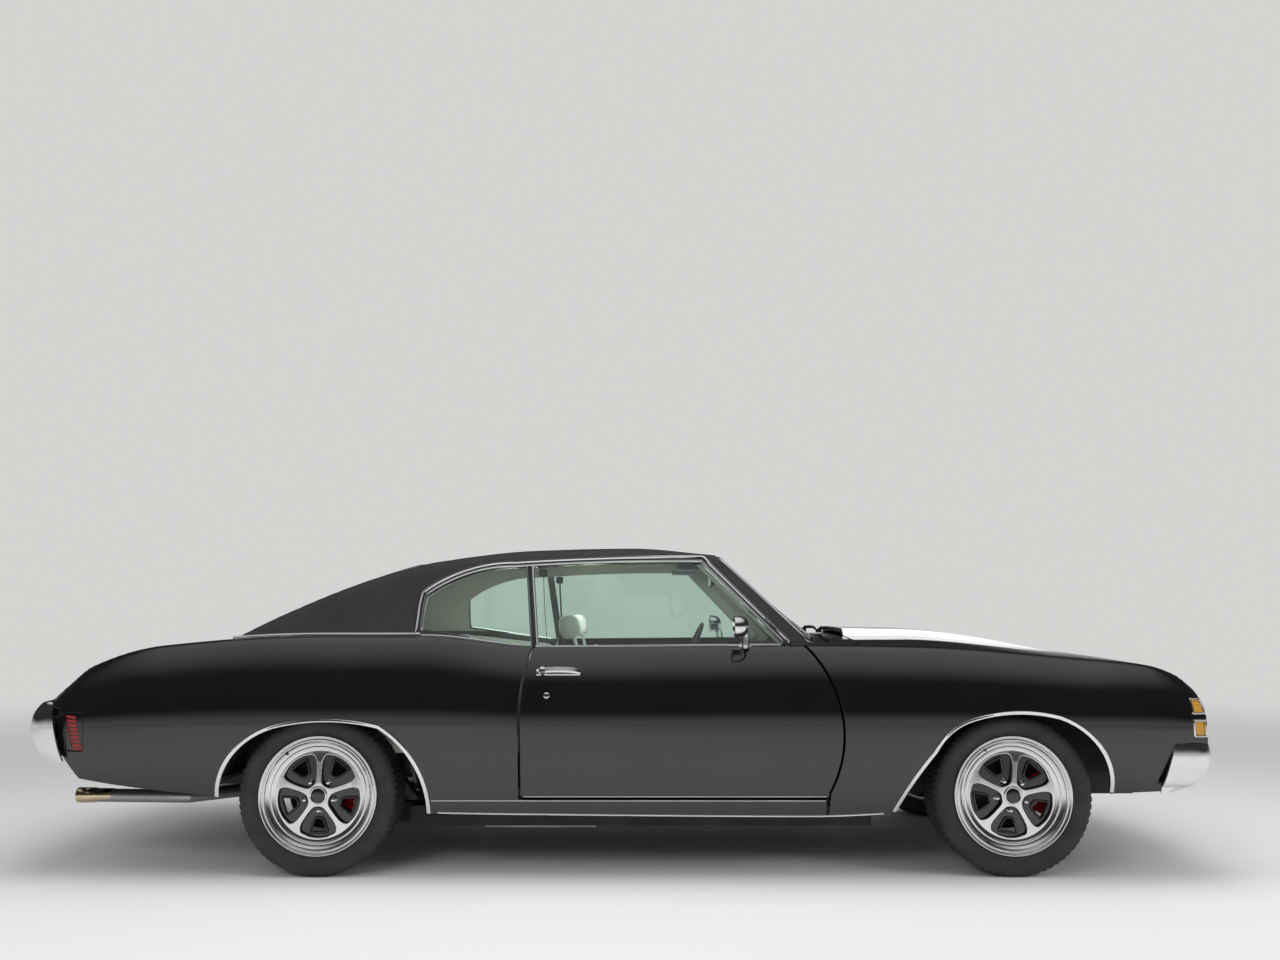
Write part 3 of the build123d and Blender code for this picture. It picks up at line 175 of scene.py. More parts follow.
class GroupBuilder(TreeBuilder):
    """Builds a shader node group with named inputs and outputs."""

    def __init__(self, name: str, outputs: dict[str, str]) -> None:
        """Starts an empty group whose outputs are {name: socket type}."""
        super().__init__(bpy.data.node_groups.new(name, "ShaderNodeTree"))
        self.inputs = self.node("NodeGroupInput")
        self.outputs = self.node("NodeGroupOutput")
        for label, kind in outputs.items():
            self.tree.interface.new_socket(label, in_out="OUTPUT", socket_type=kind)
        self.coords = self.node("ShaderNodeTexCoord").outputs["Object"]

    def value(self, label: str, default: float) -> bpy.types.NodeSocket:
        """Adds a named float input and returns its socket inside the group."""
        socket = self.tree.interface.new_socket(
            label, in_out="INPUT", socket_type="NodeSocketFloat"
        )
        socket.default_value = default
        return self.inputs.outputs[label]

    def colour(self, label: str, default: Colour) -> bpy.types.NodeSocket:
        """Adds a named colour input and returns its socket inside the group."""
        socket = self.tree.interface.new_socket(
            label, in_out="INPUT", socket_type="NodeSocketColor"
        )
        socket.default_value = (*default, 1.0)
        return self.inputs.outputs[label]

    def noise(self, spec: Noise, stretch: tuple[float, float, float] = (1, 1, 1)) -> bpy.types.Node:
        """Adds a noise texture in object coordinates, stretched along each axis.

        Args:
            spec: The pattern's scale and detail.
            stretch: Factor on each coordinate before the noise.

        Returns:
            The noise texture node.
        """
        mapping = self.node("ShaderNodeMapping")
        mapping.inputs["Scale"].default_value = stretch
        self.link(self.coords, mapping.inputs["Vector"])
        made = self.node("ShaderNodeTexNoise")
        self.link(mapping.outputs["Vector"], made.inputs["Vector"])
        made.inputs["Scale"].default_value = spec.scale
        made.inputs["Detail"].default_value = spec.detail
        made.inputs["Roughness"].default_value = spec.roughness
        return made

    def bump(self, height: bpy.types.NodeSocket, distance: bpy.types.NodeSocket,
             strength: float = 1.0) -> bpy.types.NodeSocket:
        """Adds a bump node and returns its normal."""
        made = self.node("ShaderNodeBump")
        made.inputs["Strength"].default_value = strength
        self.link(height, made.inputs["Height"])
        self.link(distance, made.inputs["Distance"])
        return made.outputs["Normal"]

    def out(self, label: str, source: bpy.types.NodeSocket) -> None:
        """Joins a socket to one of the group's outputs."""
        self.link(source, self.outputs.inputs[label])


FINISH_OUTPUTS = {
    "Color": "NodeSocketColor",
    "Roughness": "NodeSocketFloat",
    "Normal": "NodeSocketVector",
}


class Effects:
    """Shader node groups shared by the finishes, each built once on first use."""

    def __init__(self) -> None:
        """Starts with no group built."""
        self.built: dict[str, bpy.types.NodeTree] = {}

    def get(self, name: str) -> bpy.types.NodeTree:
        """Returns the named group, building it on first use."""
        if name not in self.built:
            self.built[name] = getattr(self, f"build_{name}")()
        return self.built[name]

    def build_surface(self) -> bpy.types.NodeTree:
        """Colour drift, roughness drift and a fine bump, for hard surfaces.

        Returns:
            The node group, with inputs Color, Shade, Roughness, Drift, Scale, Grain and Depth.
        """
        g = GroupBuilder("SurfaceWear", FINISH_OUTPUTS)
        colour = g.colour("Color", (0.5, 0.5, 0.5))
        shade = g.colour("Shade", (0.4, 0.4, 0.4))
        rough = g.value("Roughness", 0.4)
        drift = g.value("Drift", 0.08)
        depth = g.value("Depth", 0.0002)
        scale = g.value("Scale", 6.0)
        grain = g.value("Grain", 400.0)
        clouds = g.noise(Noise(6.0, 4.0))
        g.link(scale, clouds.inputs["Scale"])
        mask = g.ramp(clouds.outputs["Fac"], 0.36, 0.68)
        g.out("Color", g.mix(mask, colour, shade))
        fine = g.noise(Noise(400.0, 2.0))
        g.link(grain, fine.inputs["Scale"])
        blend = g.math("ADD", g.math("MULTIPLY", mask, 0.7), g.math("MULTIPLY",
                                                                   fine.outputs["Fac"], 0.3))
        g.out("Roughness", g.math("ADD", rough, g.math("MULTIPLY", blend, drift)))
        g.out("Normal", g.bump(fine.outputs["Fac"], depth))
        return g.tree

    def build_vinyl(self) -> bpy.types.NodeTree:
        """Pebbled leather grain with soft colour drift, for vinyl and seat covers.

        Returns:
            The node group, with inputs Color, Shade, Roughness, Scale and Depth.
        """
        g = GroupBuilder("VinylGrain", FINISH_OUTPUTS)
        colour = g.colour("Color", (0.5, 0.5, 0.5))
        shade = g.colour("Shade", (0.4, 0.4, 0.4))
        rough = g.value("Roughness", 0.5)
        scale = g.value("Scale", 420.0)
        depth = g.value("Depth", 0.0006)
        warp = g.noise(Noise(60.0, 2.0))
        cells = g.node("ShaderNodeTexVoronoi", feature="SMOOTH_F1")
        mixed = g.node("ShaderNodeMix", data_type="VECTOR")
        mixed.inputs["Factor"].default_value = 0.012
        first, second, result = MixSockets.VECTOR.value
        g.link(g.coords, mixed.inputs[first])
        g.link(warp.outputs["Color"], mixed.inputs[second])
        g.link(mixed.outputs[result], cells.inputs["Vector"])
        g.link(scale, cells.inputs["Scale"])
        cells.inputs["Smoothness"].default_value = 0.35
        pebble = g.ramp(cells.outputs["Distance"], 0.1, 0.62, 1.0, 0.0)
        clouds = g.noise(Noise(3.5, 4.0))
        mask = g.ramp(clouds.outputs["Fac"], 0.35, 0.7)
        tone = g.math("ADD", g.math("MULTIPLY", mask, 0.6),
                      g.math("MULTIPLY", g.math("SUBTRACT", 1.0, pebble), 0.5))
        g.out("Color", g.mix(tone, colour, shade))
        g.out("Roughness", g.math("ADD", rough, g.math("MULTIPLY", tone, 0.12)))
        g.out("Normal", g.bump(pebble, depth))
        return g.tree

    def build_weave(self) -> bpy.types.NodeTree:
        """Loop pile or coarse weave, for carpet, belts and cloth.

        Returns:
            The node group, with inputs Color, Shade, Roughness, Scale and Depth.
        """
        g = GroupBuilder("WovenPile", FINISH_OUTPUTS)
        colour = g.colour("Color", (0.1, 0.1, 0.1))
        shade = g.colour("Shade", (0.05, 0.05, 0.05))
        rough = g.value("Roughness", 0.9)
        scale = g.value("Scale", 260.0)
        depth = g.value("Depth", 0.0015)
        cells = g.node("ShaderNodeTexVoronoi", feature="F1")
        g.link(g.coords, cells.inputs["Vector"])
        g.link(scale, cells.inputs["Scale"])
        clouds = g.noise(Noise(9.0, 5.0))
        tone = g.math("ADD", g.math("MULTIPLY", cells.outputs["Distance"], 0.8),
                      g.math("MULTIPLY", clouds.outputs["Fac"], 0.3))
        g.out("Color", g.mix(tone, colour, shade))
        g.out("Roughness", g.math("ADD", rough, g.math("MULTIPLY", clouds.outputs["Fac"], 0.08)))
        g.out("Normal", g.bump(g.math("SUBTRACT", 1.0, cells.outputs["Distance"]), depth))
        return g.tree

    def build_brushed(self) -> bpy.types.NodeTree:
        """Turned metal, brushed in rings round the wheel's own axis.

        Returns:
            The node group, with inputs Color, Shade, Roughness, Drift and Depth.
        """
        g = GroupBuilder("TurnedMetal", FINISH_OUTPUTS)
        colour = g.colour("Color", (0.8, 0.8, 0.8))
        shade = g.colour("Shade", (0.7, 0.7, 0.7))
        rough = g.value("Roughness", 0.15)
        drift = g.value("Drift", 0.12)
        depth = g.value("Depth", 0.0001)
        fine = g.noise(Noise(55.0, 5.0), (1.0, 30.0, 1.0))
        clouds = g.noise(Noise(12.0, 3.0))
        tone = g.math("ADD", g.math("MULTIPLY", fine.outputs["Fac"], 0.5),
                      g.math("MULTIPLY", clouds.outputs["Fac"], 0.5))
        g.out("Color", g.mix(tone, colour, shade))
        g.out("Roughness", g.math("ADD", rough, g.math("MULTIPLY", tone, drift)))
        g.out("Normal", g.bump(fine.outputs["Fac"], depth))
        return g.tree

    def build_ribs(self) -> bpy.types.NodeTree:
        """Moulded lens with fine parallel ribs across it and a little dust.

        Returns:
            The node group, with inputs Color, Shade, Roughness, Scale and Depth.
        """
        g = GroupBuilder("LensRibs", FINISH_OUTPUTS)
        colour = g.colour("Color", (0.8, 0.3, 0.05))
        shade = g.colour("Shade", (0.6, 0.2, 0.03))
        rough = g.value("Roughness", 0.08)
        scale = g.value("Scale", 60.0)
        depth = g.value("Depth", 0.0015)
        wave = g.node("ShaderNodeTexWave", bands_direction="Z")
        g.link(g.coords, wave.inputs["Vector"])
        g.link(scale, wave.inputs["Scale"])
        dust = g.noise(Noise(40.0, 4.0))
        g.out("Color", g.mix(wave.outputs["Fac"], colour, shade))
        g.out("Roughness", g.math("ADD", rough, g.math("MULTIPLY", dust.outputs["Fac"], 0.1)))
        g.out("Normal", g.bump(wave.outputs["Fac"], depth))
        return g.tree

    def build_stripe(self) -> bpy.types.NodeTree:
        """Black paint with a plain white stripe along the raised centre of the hood.

        Returns:
            The node group, with inputs Color, Stripe, Roughness, Inner, Outer, Front and Depth.
        """
        g = GroupBuilder("HoodStripe", FINISH_OUTPUTS)
        colour = g.colour("Color", (0.01, 0.01, 0.012))
        stripe = g.colour("Stripe", (0.8, 0.8, 0.8))
        rough = g.value("Roughness", 0.06)
        inner = g.value("Inner", 0.08)
        outer = g.value("Outer", 0.26)
        front = g.value("Front", 2.2)
        split = g.node("ShaderNodeSeparateXYZ")
        g.link(g.coords, split.inputs["Vector"])
        across = g.math("ABSOLUTE", split.outputs["Y"], 0.0)
        past_inner = g.math("GREATER_THAN", across, inner)
        within_outer = g.math("LESS_THAN", across, outer)
        behind_front = g.math("LESS_THAN", split.outputs["X"], front)
        band = g.math("MULTIPLY", g.math("MULTIPLY", past_inner, within_outer), behind_front)
        dust = g.noise(Noise(5.0, 4.0))
        fleck = g.noise(Noise(900.0, 1.0))
        g.out("Color", g.mix(band, colour, stripe))
        g.out("Roughness", g.math("ADD", rough, g.math("MULTIPLY", dust.outputs["Fac"], 0.05)))
        thin = g.value("Depth", 0.00001)
        g.out("Normal", g.bump(fleck.outputs["Fac"], thin))
        return g.tree


# ---------------------------------------------------------------- finishes
@dataclass(frozen=True)
class Finish:
    """A finish: the effect group that varies it, and the constants of its shader.

    Attributes:
        name: The material's name.
        effect: Which shared effect varies the surface.
        values: Inputs of the effect group.
        shader: Constants set straight on the Principled shader.
    """

    name: str
    effect: str
    values: dict[str, object]
    shader: dict[str, float] = field(default_factory=dict)

    def build(self, effects: Effects) -> bpy.types.Material:
        """Makes the material.

        Args:
            effects: The shared node groups.

        Returns:
            The material.
        """
        material = bpy.data.materials.new(self.name)
        material.use_nodes = True
        tree = TreeBuilder(material.node_tree)
        shader = tree.nodes["Principled BSDF"]
        group = tree.node("ShaderNodeGroup", node_tree=effects.get(self.effect))
        group.location = (-300, 0)
        for label, setting in self.values.items():
            full = (*setting, 1.0) if isinstance(setting, tuple) else setting
            group.inputs[label].default_value = full
        tree.link(group.outputs["Color"], shader.inputs["Base Color"])
        tree.link(group.outputs["Roughness"], shader.inputs["Roughness"])
        tree.link(group.outputs["Normal"], shader.inputs["Normal"])
        for label, setting in self.shader.items():
            shader.inputs[label].default_value = setting
        tone = self.values.get("Color", (0.5, 0.5, 0.5))
        material.diffuse_color = (*tone, 1.0)
        return material


def paint_like(name: str, colour: Colour, roughness: float = 0.05) -> Finish:
    """A glossy clear-coated paint."""
    shade = tuple(0.8 * c for c in colour)
    values = {"Color": colour, "Shade": shade, "Roughness": roughness + 0.1, "Drift": 0.06,
              "Scale": 3.0, "Grain": 900.0, "Depth": 0.00001}
    coat = {"Coat Weight": 1.0, "Coat Roughness": roughness * 0.5, "Coat IOR": 1.74,
            "Specular IOR Level": 0.0}
    return Finish(name, "surface", values, coat)


def metal_like(name: str, colour: Colour, roughness: float, drift: float) -> Finish:
    """A plated, cast or rolled metal."""
    shade = tuple(0.86 * c for c in colour)
    values = {"Color": colour, "Shade": shade, "Roughness": roughness, "Drift": drift,
              "Scale": 7.0, "Grain": 300.0, "Depth": 0.00002}
    return Finish(name, "surface", values, {"Metallic": 1.0})


def dull_like(name: str, colour: Colour, roughness: float, depth: float = 0.0003,
              grain: float = 500.0) -> Finish:
    """A moulded, cast or coated surface with little gloss."""
    shade = tuple(0.7 * c for c in colour)
    values = {"Color": colour, "Shade": shade, "Roughness": roughness, "Drift": 0.15,
              "Scale": 9.0, "Grain": grain, "Depth": depth}
    return Finish(name, "surface", values)


def grained_like(name: str, effect: str, colour: Colour, shade: Colour,
                 **values: float) -> Finish:
    """A pebbled or woven covering."""
    return Finish(name, effect, {"Color": colour, "Shade": shade, **values})


def glass_like(name: str, colour: Colour, shade: Colour) -> Finish:
    """Thin tinted glass."""
    values = {"Color": colour, "Shade": shade, "Roughness": 0.0, "Drift": 0.012,
              "Scale": 2.0, "Grain": 50.0, "Depth": 0.0}
    shader = {"Transmission Weight": 1.0, "IOR": 1.12, "Coat Weight": 1.0,
              "Coat Roughness": 0.0}
    return Finish(name, "surface", values, shader)


def lens_like(name: str, colour: Colour, scale: float) -> Finish:
    """A ribbed, slightly see-through lens."""
    values = {"Color": colour, "Shade": tuple(0.55 * c for c in colour), "Scale": scale}
    shader = {"Coat Weight": 1.0, "Coat Roughness": 0.03, "Transmission Weight": 0.25}
    return Finish(name, "ribs", values, shader)


BLACK: Colour = (0.0055, 0.0058, 0.0068)
CREAM: Colour = (0.72, 0.70, 0.62)
FINISHES: dict[str, Finish] = {
    "paint": paint_like("black_paint", BLACK, 0.04),
    "hood_paint": Finish(
        "hood_paint", "stripe",
        {"Color": BLACK, "Stripe": (0.82, 0.82, 0.81), "Inner": 0.075, "Outer": 0.335,
         "Front": 2.235},
        {"Coat Weight": 1.0, "Coat Roughness": 0.02, "Coat IOR": 1.74,
         "Specular IOR Level": 0.0}),
    "vinyl_top": Finish(
        "vinyl_top", "vinyl",
        {"Color": (0.016, 0.016, 0.018), "Shade": (0.03, 0.03, 0.033), "Roughness": 0.42,
         "Scale": 330.0, "Depth": 0.0009}, {"Specular IOR Level": 0.22}),
    "chrome": metal_like("chrome_plate", (0.86, 0.865, 0.87), 0.035, 0.05),
    "polished": Finish(
        "polished_alloy", "brushed",
        {"Color": (0.83, 0.83, 0.82), "Shade": (0.74, 0.74, 0.73), "Roughness": 0.13},
        {"Metallic": 1.0}),
    "wheel_black": paint_like("wheel_enamel", (0.008, 0.008, 0.009), 0.16),
    "tyre": dull_like("tyre_rubber", (0.03, 0.029, 0.028), 0.66, 0.0003, 700.0),
    "rubber": dull_like("black_rubber", (0.012, 0.012, 0.012), 0.5),
    "trim": dull_like("black_trim", (0.014, 0.014, 0.015), 0.34),
    "chassis": dull_like("chassis_paint", (0.018, 0.018, 0.019), 0.42, 0.0008),
    "underseal": dull_like("underseal", (0.024, 0.023, 0.022), 0.75, 0.002, 160.0),
    "iron": dull_like("cast_iron", (0.03, 0.03, 0.031), 0.45, 0.001, 220.0),
    "engine": paint_like("engine_enamel", (0.42, 0.06, 0.02), 0.2),
    "steel": metal_like("rolled_steel", (0.45, 0.45, 0.46), 0.3, 0.2),
    "disc_steel": metal_like("disc_steel", (0.33, 0.32, 0.31), 0.32, 0.2),
    "brass": metal_like("tail_pipe_tip", (0.72, 0.6, 0.4), 0.12, 0.1),
    "caliper_red": paint_like("caliper_red", (0.35, 0.012, 0.014), 0.2),
    "seat": grained_like("seat_vinyl", "vinyl", (0.86, 0.86, 0.81), (0.74, 0.74, 0.68),
                         Roughness=0.4, Scale=520.0, Depth=0.0005),
    "headliner": grained_like("headliner", "vinyl", CREAM, tuple(0.86 * c for c in CREAM),
                              Roughness=0.62, Scale=900.0, Depth=0.0003),
    "carpet": grained_like("carpet", "weave", (0.02, 0.02, 0.021), (0.045, 0.045, 0.047)),
    "belt": grained_like("belt_webbing", "weave", (0.012, 0.012, 0.013), (0.03, 0.03, 0.03),
                         Scale=900.0, Depth=0.0004, Roughness=0.7),
    "dash_vinyl": grained_like("dash_vinyl", "vinyl", (0.014, 0.014, 0.015),
                               (0.024, 0.024, 0.025), Roughness=0.5),
    "wood": dull_like("dash_face", (0.02, 0.018, 0.017), 0.2, 0.0001),
    "dial": dull_like("dial_face", (0.01, 0.01, 0.01), 0.3, 0.0001),
    "white_paint": dull_like("dial_marks", (0.75, 0.75, 0.73), 0.4, 0.0001),
    "amber": lens_like("amber_lens", (0.86, 0.42, 0.04), 55.0),
    "red_lens": lens_like("red_lens", (0.5, 0.008, 0.012), 70.0),
    "clear_lens": Finish(
        "headlamp_lens", "ribs",
        {"Color": (0.92, 0.93, 0.93), "Shade": (0.85, 0.86, 0.87), "Scale": 45.0},
        {"Coat Weight": 1.0, "Transmission Weight": 0.45}),
    "mirror_glass": metal_like("mirror_glass", (0.9, 0.91, 0.92), 0.01, 0.02),
    "glass": glass_like("tinted_glass", (0.74, 0.87, 0.81), (0.72, 0.86, 0.79)),
    "glass_band": glass_like("shade_band_glass", (0.22, 0.36, 0.31), (0.2, 0.34, 0.29)),
}


class Paintbox:
    """Hands out the finishes' materials, each made once."""

    def __init__(self) -> None:
        """Starts with no material made."""
        self.effects = Effects()
        self.made: dict[str, bpy.types.Material] = {}

    def one(self, key: str) -> bpy.types.Material:
        """Returns the material of a finish."""
        if key not in self.made:
            self.made[key] = FINISHES[key].build(self.effects)
        return self.made[key]

    def __call__(self, *keys: str) -> list[bpy.types.Material]:
        """Returns the materials of several finishes."""
        return [self.one(key) for key in keys]


# ---------------------------------------------------------------- mesh building
class Mesh:
    """Gathers points, normals and faces of one piece, in millimetres."""

    def __init__(self) -> None:
        """Starts empty."""
        self.points: list[Array] = []
        self.normals: list[Array] = []
        self.faces: list[tuple[int, ...]] = []
        self.finish: list[int] = []
        self.count = 0

    def add(self, points: Array, faces: Sequence[Sequence[int]], finish: int = 0,
            normals: Array | None = None) -> None:
        """Adds a patch.

        Args:
            points: Its points, one row each.
            faces: Its faces, as indices into points.
            finish: Which of the piece's materials it takes.
            normals: Its normals, one row each; left out, they come from the faces.
        """
        points = np.asarray(points, float)
        self.points.append(points)
        blank = np.zeros_like(points)
        self.normals.append(blank if normals is None else np.asarray(normals, float))
        self.faces.extend(tuple(i + self.count for i in face) for face in faces)
        self.finish.extend([finish] * len(faces))
        self.count += len(points)

    def merge(self, other: "Mesh", mirror: bool = False, finish: int | None = None,
              turn: float = 0.0, shift: Sequence[float] = ORIGIN) -> None:
        """Adds another mesh, optionally turned, mirrored to the car's other side and moved.

        Args:
            other: The mesh to add.
            mirror: Whether to flip it across the centre plane.
            finish: A material index that replaces the other mesh's own.
            turn: Degrees that it turns about the Y axis first.
            shift: How far it moves last.
        """
        angle = math.radians(turn)
        flip = np.diag([1.0, -1.0 if mirror else 1.0, 1.0])
        matrix = np.array([[math.cos(angle), 0, -math.sin(angle)], [0, 1, 0],
                           [math.sin(angle), 0, math.cos(angle)]]).T @ flip
        for points, normals in zip(other.points, other.normals):
            self.points.append(points @ matrix + np.asarray(shift, float))
            self.normals.append(normals @ matrix)
        for face, own in zip(other.faces, other.finish):
            moved = tuple(i + self.count for i in face)
            self.faces.append(moved[::-1] if mirror else moved)
            self.finish.append(own if finish is None else finish)
        self.count += other.count

    def both(self) -> "Mesh":
        """This mesh and its mirror image on the car's other side, as one mesh."""
        made = Mesh()
        made.merge(self)
        made.merge(self, True)
        return made

    def build(self, name: str, finishes: Sequence[bpy.types.Material], body: str, slot: str,
              replaces: Sequence[str] = (), sharp: float = 35.0) -> None:
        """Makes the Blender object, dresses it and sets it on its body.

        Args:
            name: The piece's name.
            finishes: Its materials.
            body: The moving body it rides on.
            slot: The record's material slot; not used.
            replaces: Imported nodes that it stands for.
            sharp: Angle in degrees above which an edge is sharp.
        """
        points = np.concatenate(self.points)
        data = bpy.data.meshes.new(name)
        data.from_pydata((points * MM).tolist(), [], self.faces)
        data.polygons.foreach_set("material_index", self.finish)
        data.polygons.foreach_set("use_smooth", [True] * len(self.faces))
        data.update()
        given = np.concatenate(self.normals)
        if np.any(np.abs(given).sum(axis=1) > 0):
            data.normals_split_custom_set_from_vertices(given.tolist())
        else:
            data.set_sharp_from_angle(angle=math.radians(sharp))
        for material in finishes:
            data.materials.append(material)
        made = bpy.data.objects.new(name, data)
        bpy.context.scene.collection.objects.link(made)
        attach(made, body)
        if replaces:
            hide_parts(*replaces)
        LOG.info("%s: %d faces on %s", name, len(self.faces), body)

    def build_each(self, name: str, finishes: Sequence[bpy.types.Material], body: str, slot: str,
                   replaces: str = "") -> None:
        """Makes a piece for the left side from this mesh, and its mirror image for the right.

        Args:
            name: The pieces' name, without its side.
            finishes: Their materials.
            body: The moving body that each rides on, without its side.
            slot: The record's material slot.
            replaces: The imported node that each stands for, without its side.
        """
        for side in Side:
            made = Mesh()
            made.merge(self, side is Side.RIGHT)
            stood_for = [f"{replaces}_{side.label}"] if replaces else []
            made.build(f"{name}_{side.label}", finishes, f"{body}_{side.label}", slot, stood_for)


def unit(vectors: Array) -> Array:
    """Vectors scaled to length one."""
    length = np.linalg.norm(vectors, axis=-1, keepdims=True)
    return vectors / np.maximum(length, 1e-9)


def grid_faces(rows: int, columns: int, close_rows: bool = False,
               close_columns: bool = False) -> list[tuple[int, int, int, int]]:
    """Quads of a grid whose points run row by row.

    Args:
        rows: Number of rows.
        columns: Number of points in a row.
        close_rows: Whether the last row joins the first.
        close_columns: Whether each row is a ring.

    Returns:
        The faces.
    """
    faces = []
    for r in range(rows if close_rows else rows - 1):
        for c in range(columns if close_columns else columns - 1):
            a, b = r * columns + c, r * columns + (c + 1) % columns
            low = (r + 1) % rows * columns
            faces.append((a, b, low + (c + 1) % columns, low + c))
    return faces


def tube_faces(rings: int, count: int) -> list[tuple[int, ...]]:
    """Faces of a run of rings, each of count points, with both ends closed."""
    first, last = tuple(range(count)), tuple(range((rings - 1) * count, rings * count))
    return [*grid_faces(rings, count, False, True), first[::-1], last]


def arc_points(start: Sequence[float], middle: Sequence[float], end: Sequence[float],
               count: int = 16) -> Array:
    """Points along the circle through three points of a plane.

    Args:
        start: Where the arc starts.
        middle: A point that it passes.
        end: Where it ends.
        count: How many points, both ends included.

    Returns:
        The points, one row each.
    """
    a, b, c = (np.asarray(p, float) for p in (start, middle, end))
    d = 2 * (a[0] * (b[1] - c[1]) + b[0] * (c[1] - a[1]) + c[0] * (a[1] - b[1]))
    if abs(d) < 1e-6:
        return np.linspace(a, c, count)
    squares = [p @ p for p in (a, b, c)]
    centre = np.array([
        squares[0] * (b[1] - c[1]) + squares[1] * (c[1] - a[1]) + squares[2] * (a[1] - b[1]),
        squares[0] * (c[0] - b[0]) + squares[1] * (a[0] - c[0]) + squares[2] * (b[0] - a[0]),
    ]) / d
    radius = np.linalg.norm(a - centre)
    angles = [math.atan2(*(p - centre)[::-1]) for p in (a, b, c)]
    turn = (angles[2] - angles[0]) % (2 * math.pi)
    if (angles[1] - angles[0]) % (2 * math.pi) > turn:
        turn -= 2 * math.pi
    steps = angles[0] + np.linspace(0, turn, count)
    return centre + radius * np.stack([np.cos(steps), np.sin(steps)], axis=1)


def dense(points: Array, spacing: float = 16.0) -> Array:
    """A polyline with points no farther apart than the spacing."""
    points = np.asarray(points, float)
    out = [points[:1]]
    for a, b in zip(points, points[1:]):
        steps = max(1, math.ceil(np.linalg.norm(b - a) / spacing))
        out.append(a + (b - a) * (np.arange(1, steps + 1) / steps)[:, None])
    return np.concatenate(out)


def evened(loop: Array, spacing: float) -> Array:
    """A closed outline with points no farther apart than the spacing."""
    return dense(np.concatenate([loop, loop[:1]]), spacing)[:-1]


class Columns:
    """Smooth interpolation of a table's columns along its first one, with no overshoot."""

    def __init__(self, rows: Sequence[Sequence[float]]) -> None:
        """Works out each column's slope at each row.

        Args:
            rows: The table, sorted by its first column.
        """
        table = np.array(rows, float)
        self.x, self.y = table[:, 0], table[:, 1:]
        step = np.diff(self.x)[:, None]
        rise = np.diff(self.y, axis=0) / step
        slopes = np.zeros_like(self.y)
        before, after = rise[:-1], rise[1:]
        same = before * after > 0
        w1, w2 = 2 * step[1:] + step[:-1], step[1:] + 2 * step[:-1]
        mean = (w1 + w2) / (w1 / np.where(same, before, 1) + w2 / np.where(same, after, 1))
        slopes[1:-1] = np.where(same, mean, 0)
        slopes[0], slopes[-1] = rise[0], rise[-1]
        self.slopes = slopes

    def at(self, x: Array) -> Array:
        """The columns at each x, one row each."""
        x = np.clip(np.asarray(x, float), self.x[0] - 10, self.x[-1] + 10)
        i = np.clip(np.searchsorted(self.x, x) - 1, 0, len(self.x) - 2)
        h = (self.x[i + 1] - self.x[i])[:, None]
        t = (x - self.x[i])[:, None] / h
        t2, t3 = t * t, t * t * t
        return ((2 * t3 - 3 * t2 + 1) * self.y[i] + (t3 - 2 * t2 + t) * h * self.slopes[i]
                + (3 * t2 - 2 * t3) * self.y[i + 1] + (t3 - t2) * h * self.slopes[i + 1])


def solve(function: Callable[[Array], Array], low: Array, high: Array,
          halvings: int = 36) -> Array:
    """Where a rising function is zero, by halving.

    Args:
        function: Takes an array of trial values and returns an array.
        low: Where it is below zero, one for each.
        high: Where it is above zero, one for each.
        halvings: How often the range is halved.

    Returns:
        The zeros.
    """
    low, high = np.array(low, float), np.array(high, float)
    for _ in range(halvings):
        middle = (low + high) / 2
        above = function(middle) > 0
        high = np.where(above, middle, high)
        low = np.where(above, low, middle)
    return (low + high) / 2


class Surface:
    """A smooth surface over a flat domain of (u, w) in millimetres."""

    flip = False

    def points(self, domain: Array) -> Array:
        """Points of the surface at each (u, w)."""
        raise NotImplementedError

    def normals(self, domain: Array) -> Array:
        """Outward normals of the surface at each (u, w)."""
        step = 1.5
        du, dw = np.array([step, 0]), np.array([0, step])
        along = self.points(domain + du) - self.points(domain - du)
        across = self.points(domain + dw) - self.points(domain - dw)
        normal = unit(np.cross(along, across))
        return -normal if self.flip else normal


@dataclass
class Offset(Surface):
    """Another surface moved inwards by a depth."""

    base: Surface
    depth: float

    def __post_init__(self) -> None:
        """Keeps the base's direction."""
        self.flip = self.base.flip

    def points(self, domain: Array) -> Array:
        """Points of the base moved along its normals."""
        return self.base.points(domain) - self.depth * self.base.normals(domain)

    def normals(self, domain: Array) -> Array:
        """Normals of the base."""
        return self.base.normals(domain)


def inside(points: Array, loops: Sequence[Array]) -> Array:
    """Which points lie within the loops, counting holes as outside."""
    result = np.zeros(len(points), bool)
    for loop in loops:
        a, b = loop, np.roll(loop, -1, axis=0)
        for (x0, y0), (x1, y1) in zip(a, b):
            if y0 == y1:
                continue
            spans = (points[:, 1] > min(y0, y1)) & (points[:, 1] <= max(y0, y1))
            x = x0 + (points[:, 1] - y0) * (x1 - x0) / (y1 - y0)
            result ^= spans & (points[:, 0] < x)
    return result


